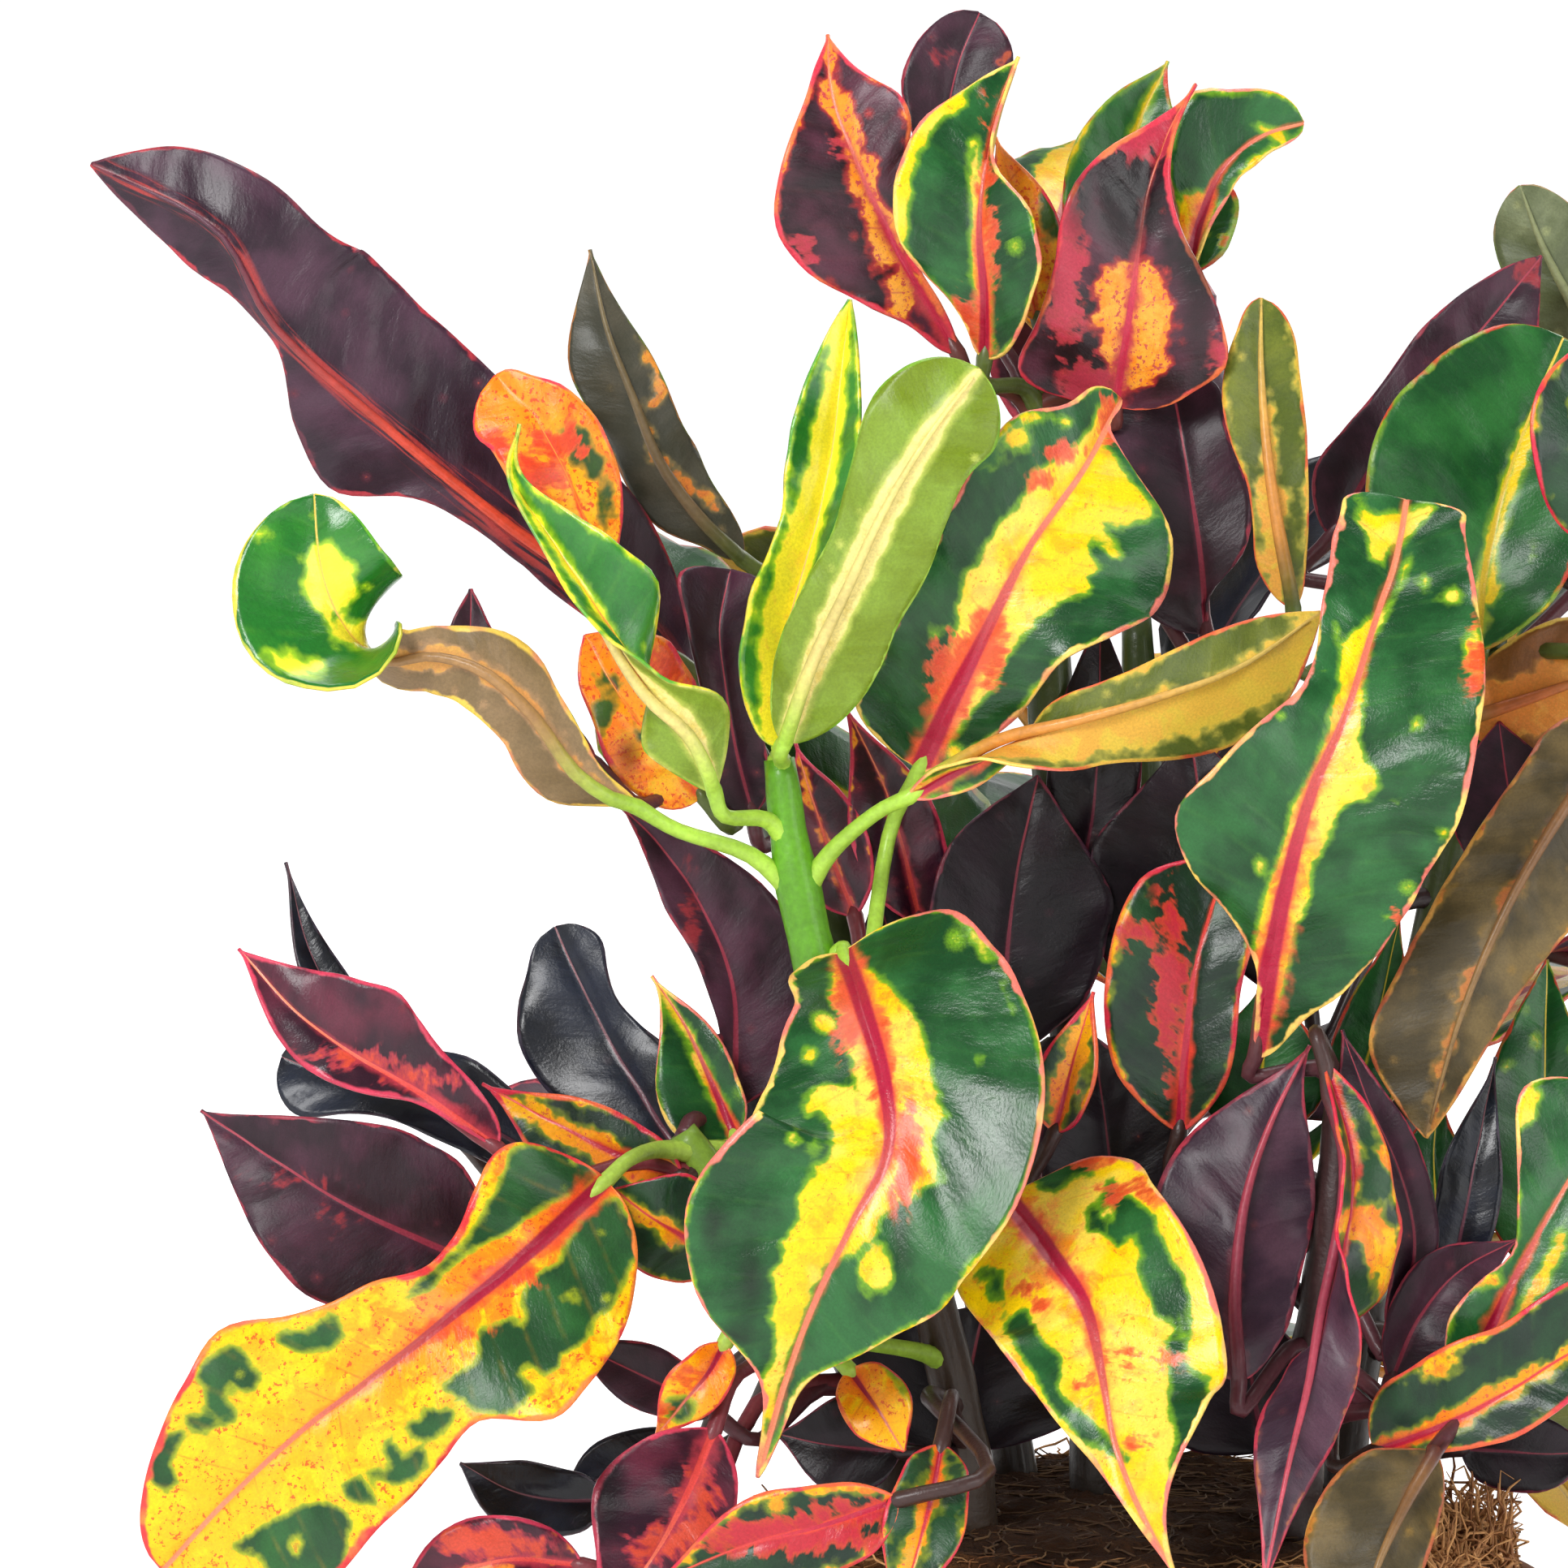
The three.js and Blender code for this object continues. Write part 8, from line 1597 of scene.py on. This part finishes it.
@dataclass
class RootBall:
    """The coir root ball: a crumbly mound in the pot, with loose fibres over it."""

    outline: tuple = ((0, 3.4), (53, 3.4), (73.2, 123), (73.2, 136), (71.8, 143), (66.3, 150), (55.3, 154.5),
                      (35.3, 156.5), (14, 157), (0, 157))
    fibres: int = 1100
    tuft: tuple = ((64, -12), (57, -34), (48, -48), (66, 6))
    crumb_height: float = 1.6
    crumbs_above: float = 136.0
    sides: int = 144
    fine_pitch: float = 1.6
    coarse_pitch: float = 12.0
    fine_above: float = 130.0
    reach: float = 71.0
    turns_back: float = 70.0
    bends: int = 6
    ceilings: tuple[float, float] = (165.0, 158.0)
    straw: str = "#dca468"
    rust: str = "#8a5630"

    def height_at(self, radius: float) -> float:
        """The mound's height at a distance from the pot's axis."""
        top = self.outline[4:][::-1]
        return float(np.interp(radius, [p[0] for p in top], [p[1] for p in top]))

    def mound(self) -> bmesh.types.BMesh:
        """Turns the outline and breaks the top into crumbs.

        Returns:
            The mesh.
        """
        profile = []
        for (r1, z1), (r2, z2) in zip(self.outline, self.outline[1:]):
            pitch = self.fine_pitch if z1 > self.fine_above else self.coarse_pitch
            steps = max(2, round(math.hypot(r2 - r1, z2 - z1) / pitch))
            profile += [(r1 + (r2 - r1) * k / steps, z1 + (z2 - z1) * k / steps) for k in range(steps)]
        profile.append(self.outline[-1])
        bm = turned(profile, self.sides)
        for vertex in bm.verts:
            if vertex.co.z > self.crumbs_above * MM:
                rough = noise.fractal(vertex.co * 160, 0.9, 2.1, 5) + 0.5 * noise.noise(vertex.co * 60)
                vertex.co.z += rough * self.crumb_height * MM
        return bm

    def strands(self) -> Tubes:
        """Lays loose fibres over the mound and stands a tuft of them at the right front.

        Returns:
            The tubes.
        """
        tubes = Tubes()
        draws = np.random.default_rng(7)
        straw, rust = np.array(linear(self.straw)), np.array(linear(self.rust))
        for k in range(self.fibres):
            tufted = k % 3 == 0
            if tufted:
                x, y = np.array(self.tuft[k // 3 % len(self.tuft)]) + draws.normal(0, 4.5, 2)
            else:
                radius, turn = self.reach * math.sqrt(draws.random()), 2 * math.pi * draws.random()
                x, y = radius * math.cos(turn), radius * math.sin(turn)
            radius = math.hypot(x, y)
            x, y = x * min(1, self.reach / radius), y * min(1, self.reach / radius)
            heading = 2 * math.pi * draws.random()
            rise = math.radians(draws.uniform(10, 80) if tufted else draws.uniform(-8, 22))
            length = draws.uniform(8, 20) if tufted else draws.uniform(6, 24)
            curl, ceiling = (0.9, self.ceilings[0]) if tufted else (0.5, self.ceilings[1])
            point = np.array([x, y, self.height_at(min(self.reach, radius)) + 0.4])
            points = [point]
            for _ in range(self.bends):
                heading += draws.normal(0, curl)
                rise += draws.normal(-0.12, 0.5 * curl)
                # a fibre that nears the rim turns back, and one that stands too high bends down
                if math.hypot(point[0], point[1]) > self.turns_back:
                    heading = math.atan2(-point[1], -point[0]) + draws.normal(0, 0.8)
                if point[2] > ceiling - 2:
                    rise = -0.5
                step = np.array([math.cos(heading) * math.cos(rise), math.sin(heading) * math.cos(rise),
                                 math.sin(rise)])
                point = point + step * length / self.bends
                point[2] = max(point[2], self.height_at(min(72, math.hypot(point[0], point[1]))) + 0.2)
                points.append(point)
            thick = draws.uniform(0.2, 0.42) if tufted else draws.uniform(0.12, 0.3)
            # fibres in the middle are painted darker, as the shade under the leaves, down to a sixth of their tone
            # inside 46 mm
            tone = (straw + (rust - straw) * draws.random()) * (0.16 + 0.84 * smooth(radius, 46, 62))
            tubes.run(np.array(points), thick * np.array([1, 1, 1, 0.9, 0.8, 0.6, 0.3]),
                      np.repeat(tone[None], self.bends + 1, axis=0), 4)
        return tubes

    def build(self, finishes: dict[str, bpy.types.Material]) -> None:
        """Builds the mound and its fibres."""
        finish_piece("root_ball", self.mound(), [finishes["coir"]], "soil")
        finish_piece("coir_fibres", self.strands().mesh(), [finishes["coir_strands"]], "soil")


@dataclass(frozen=True)
class PotFinish:
    """Injection-moulded polypropylene: matt, with a fine spark-eroded grain and a faint sheen."""

    name: str = "moulded_polypropylene"
    colour: str = "#8a4a34"
    worn: str = "#a0604a"

    def build(self) -> bpy.types.Material:
        """Builds the material."""
        material, tree = new_tree(self.name)
        spot = add(tree, "TexCoord").outputs["Object"]
        cloud = add(tree, "TexNoise", spot, 22.0, 4.0, 0.6)
        grain = add(tree, "TexNoise", spot, 1800.0, 2.0, 0.5)
        skin = add(tree, "Mix", add(tree, "MapRange", cloud, 0.35, 0.75, 0.0, 0.55), linear(self.colour),
                   linear(self.worn), data_type="RGBA")
        bump = add(tree, "Bump", named={"Height": grain, "Distance": 0.00012, "Strength": 0.7})
        gloss = add(tree, "MapRange", cloud, 0.3, 0.7, 0.5, 0.62)
        add(tree, "OutputMaterial", add(tree, "BsdfPrincipled", named={
            "Base Color": skin, "Roughness": gloss, "IOR": 1.49, "Normal": bump}))
        return material


@dataclass
class Pot:
    """A plain round nursery pot: a tapered wall, a stepped and rolled rim, and drain holes in its floor."""

    sides: int = 160
    drain_radius: float = 4.5
    drain_circle: float = 34.0
    drain_count: int = 6

    def outline(self) -> list[tuple[float, float]]:
        """The wall's section, from the middle of the underside round the rim to the middle of the floor."""
        top, base, wall = POT_TOP_RADIUS, POT_BASE_RADIUS, POT_WALL
        step, rim = RIM_STEP, POT_HEIGHT - RIM_HEIGHT
        outer = [(0, 1.2), (base - 9, 1.2), (base - 7.5, 0), (base - 1.5, 0), (base - 0.4, 0.4), (base, 1.4)]
        wall_steps = [(base + (top - base) * k / 10, 1 + (rim - 1) * k / 10) for k in range(1, 11)]
        lip = [(top + step - 0.8, rim + 0.5), (top + step - 0.2, rim + 1), (top + step, rim + 2),
               (top + step, POT_HEIGHT - 2.2), (top + step - 0.4, POT_HEIGHT - 0.9), (top + step - 1.4, POT_HEIGHT),
               (top - wall + 1.2, POT_HEIGHT), (top - wall + 0.2, POT_HEIGHT - 0.5), (top - wall, POT_HEIGHT - 1.4)]
        inner = [(top - wall, rim), (base - wall, POT_FLOOR), (0, POT_FLOOR)]
        return outer + wall_steps + lip + inner

    def body(self) -> bmesh.types.BMesh:
        """Turns the wall's section.

        Returns:
            The mesh.
        """
        return turned(self.outline(), self.sides)

    def build(self, finishes: dict[str, bpy.types.Material]) -> None:
        """Builds the pot and drills its floor."""
        piece = finish_piece("nursery_pot", self.body(), [finishes["moulded_polypropylene"]], "pot")
        drills = bmesh.new()
        for k in range(self.drain_count):
            turn = 2 * math.pi * (k + 0.5) / self.drain_count
            place = Matrix.Translation(Vector((math.cos(turn), math.sin(turn), 0)) * self.drain_circle * MM)
            bmesh.ops.create_cone(drills, cap_ends=True, segments=32, radius1=self.drain_radius * MM,
                                  radius2=self.drain_radius * MM, depth=0.02, matrix=place)
        mesh = bpy.data.meshes.new("drills")
        drills.to_mesh(mesh)
        drills.free()
        cutter = bpy.data.objects.new("drills", mesh)
        bpy.context.scene.collection.objects.link(cutter)
        cut = piece.modifiers.new("drains", "BOOLEAN")
        cut.operation = "DIFFERENCE"
        cut.object = cutter
        bpy.context.view_layer.update()
        drilled = bpy.data.meshes.new_from_object(piece.evaluated_get(bpy.context.evaluated_depsgraph_get()))
        piece.modifiers.clear()
        piece.data = drilled
        bpy.data.objects.remove(cutter)
        log.info("nursery_pot: %d drain holes", self.drain_count)


@dataclass
class Studio:
    """A plain white floor, soft lights and the camera."""

    AIM = (-0.03, 0, 0.28)
    FLOOR_RADIUS = 60

    def floor(self) -> None:
        """Lays the white floor, which glows a little, as a lit sweep does."""
        material, tree = new_tree("white_sweep")
        cloud = add(tree, "TexNoise", add(tree, "TexCoord").outputs["Object"], 2.0, 2.0, 0.5)
        shade = add(tree, "Mix", cloud, linear("#f0f0f0"), linear("#f8f8f8"), data_type="RGBA")
        spot = add(tree, "SeparateXYZ", add(tree, "TexCoord").outputs["Object"])
        far = add(tree, "Math", add(tree, "Math", spot, 2.0, operation="POWER"),
                  add(tree, "Math", spot.outputs[1], 2.0, operation="POWER"), operation="ADD")
        glow = add(tree, "MapRange", far, 0.1, 1.2, 0.1, 0.75, interpolation_type="SMOOTHSTEP")
        add(tree, "OutputMaterial", add(tree, "BsdfPrincipled", named={
            "Base Color": shade, "Roughness": 0.9, "Specular IOR Level": 0.1,
            "Emission Color": linear("#ffffff"), "Emission Strength": glow}))
        bm = bmesh.new()
        bmesh.ops.create_circle(bm, cap_ends=True, segments=96, radius=self.FLOOR_RADIUS)
        mesh = bpy.data.meshes.new("floor")
        bm.to_mesh(mesh)
        bm.free()
        mesh.materials.append(material)
        floor = bpy.data.objects.new("floor", mesh)
        bpy.context.scene.collection.objects.link(floor)

    def light(self, name: str, place: tuple, size: float, power: float) -> None:
        """Hangs a soft square light that faces the plant.

        Args:
            name: Its name.
            place: Where it hangs, in metres.
            size: Its side, in metres.
            power: Its power, in watts.
        """
        data = bpy.data.lights.new(name, "AREA")
        data.shape = "SQUARE"
        data.size = size
        data.energy = power
        lamp = bpy.data.objects.new(name, data)
        lamp.location = place
        lamp.rotation_mode = "QUATERNION"
        lamp.rotation_quaternion = (Vector(place) - Vector(self.AIM)).to_track_quat("Z", "Y")
        bpy.context.scene.collection.objects.link(lamp)

    def camera(self) -> None:
        """Stands the camera at the photograph's angle."""
        _, up, toward = VIEW.axes
        data = bpy.data.cameras.new("camera")
        data.sensor_width = VIEW.sensor
        data.lens = VIEW.sensor * VIEW.distance / VIEW.width
        data.clip_end = 200
        camera = bpy.data.objects.new("camera", data)
        camera.location = (VIEW.aim + toward * VIEW.distance + (-0.1, 0, 0) + up * 0.35) * MM
        camera.rotation_mode = "QUATERNION"
        camera.rotation_quaternion = Vector(toward).to_track_quat("Z", "Y")
        bpy.context.scene.collection.objects.link(camera)
        bpy.context.scene.camera = camera

    def build(self) -> None:
        """Builds the studio."""
        world = bpy.data.worlds.new("studio")
        world.use_nodes = True
        tree = world.node_tree
        tree.nodes.clear()
        # white walls that fade into a greyer ceiling from 6 to 27 degrees above the floor
        rise = add(tree, "SeparateXYZ", add(tree, "TexCoord").outputs["Generated"]).outputs[2]
        wall = add(tree, "MapRange", rise, 0.1, 0.45, 1.0, 0.3, interpolation_type="SMOOTHSTEP")
        add(tree, "OutputWorld", add(tree, "Background", linear("#ffffff"), wall))
        bpy.context.scene.world = world
        bpy.context.scene.view_settings.view_transform = "Standard"
        self.floor()
        self.light("key", (-0.8, -1.5, 1.3), 0.6, 26)
        self.light("fill", (1.3, -1.2, 0.6), 0.8, 7)
        self.light("top", (0.1, 0.3, 1.8), 0.8, 12)
        self.light("back", (0.9, 1.4, 0.9), 1.0, 10)
        self.camera()
        log.info("studio: floor, four lights and camera")


FINISH_BY_NAME = {finish.name: finish for finish in LEAF_FINISHES}


def rule_marks(number: float, half: float) -> Marks:
    """Draws the markings of a leaf that a rule placed.

    Args:
        number: The leaf's own number between 0 and 1.
        half: Its greatest half width.

    Returns:
        Its markings.
    """
    draw = Draws(int(number * 100000) + 5)
    draw()
    look = draw()
    looks = ((0.26, Look.GREEN_GOLD), (0.38, Look.GREEN), (0.5, Look.GREEN_RED), (0.6, Look.GOLD),
             (0.8, Look.PLUM), (0.9, Look.WINE), (1.01, Look.SLATE))
    chosen = next(name for top, name in looks if look < top)
    if chosen in (Look.PLUM, Look.SLATE):
        return Marks(chosen)

    def band(most: float) -> tuple:
        """Half widths of the golden band on one side."""
        return tuple(half * most * (0.4 + 0.9 * draw()) for _ in range(5))

    most = {Look.GREEN_GOLD: 0.42, Look.GREEN: 0.14, Look.GREEN_RED: 0.25, Look.GOLD: 0.85, Look.WINE: 0.12}[chosen]
    return Marks(chosen, band(most), band(most), rim=0.6 + draw())


def main() -> None:
    """Builds the potted croton, its studio and the camera."""
    finishes = {finish.name: finish.build() for finish in LEAF_FINISHES}
    for finish in (BarkFinish(), CoirFinish("coir", "#2c1a10", "#a8703c", 3.0, 1.6),
                   CoirStrandFinish(), PotFinish()):
        finishes[finish.name] = finish.build()
    paths = {name: stem_path(places) for name, places in STEMS.items()}
    leaves = []
    for index, blade in enumerate(all_blades(paths)):
        number = (index * GOLDEN_SHARE + 0.13) % 1
        half = max(max(blade.spec.left), max(blade.spec.right))
        marks = MARKS.get(blade.spec.name) or rule_marks(number, half)
        leaves.append(LeafMesh(blade, marks, number))
    for name, path in paths.items():
        own = [leaf for leaf in leaves if leaf.blade.spec.stem == name]
        LeafyStem(name, path, own, STEM_TONES.get(name, SHADED_STEM)).build(finishes)
    RootBall().build(finishes)
    Pot().build(finishes)
    Studio().build()


if __name__ == "__main__":
    main()
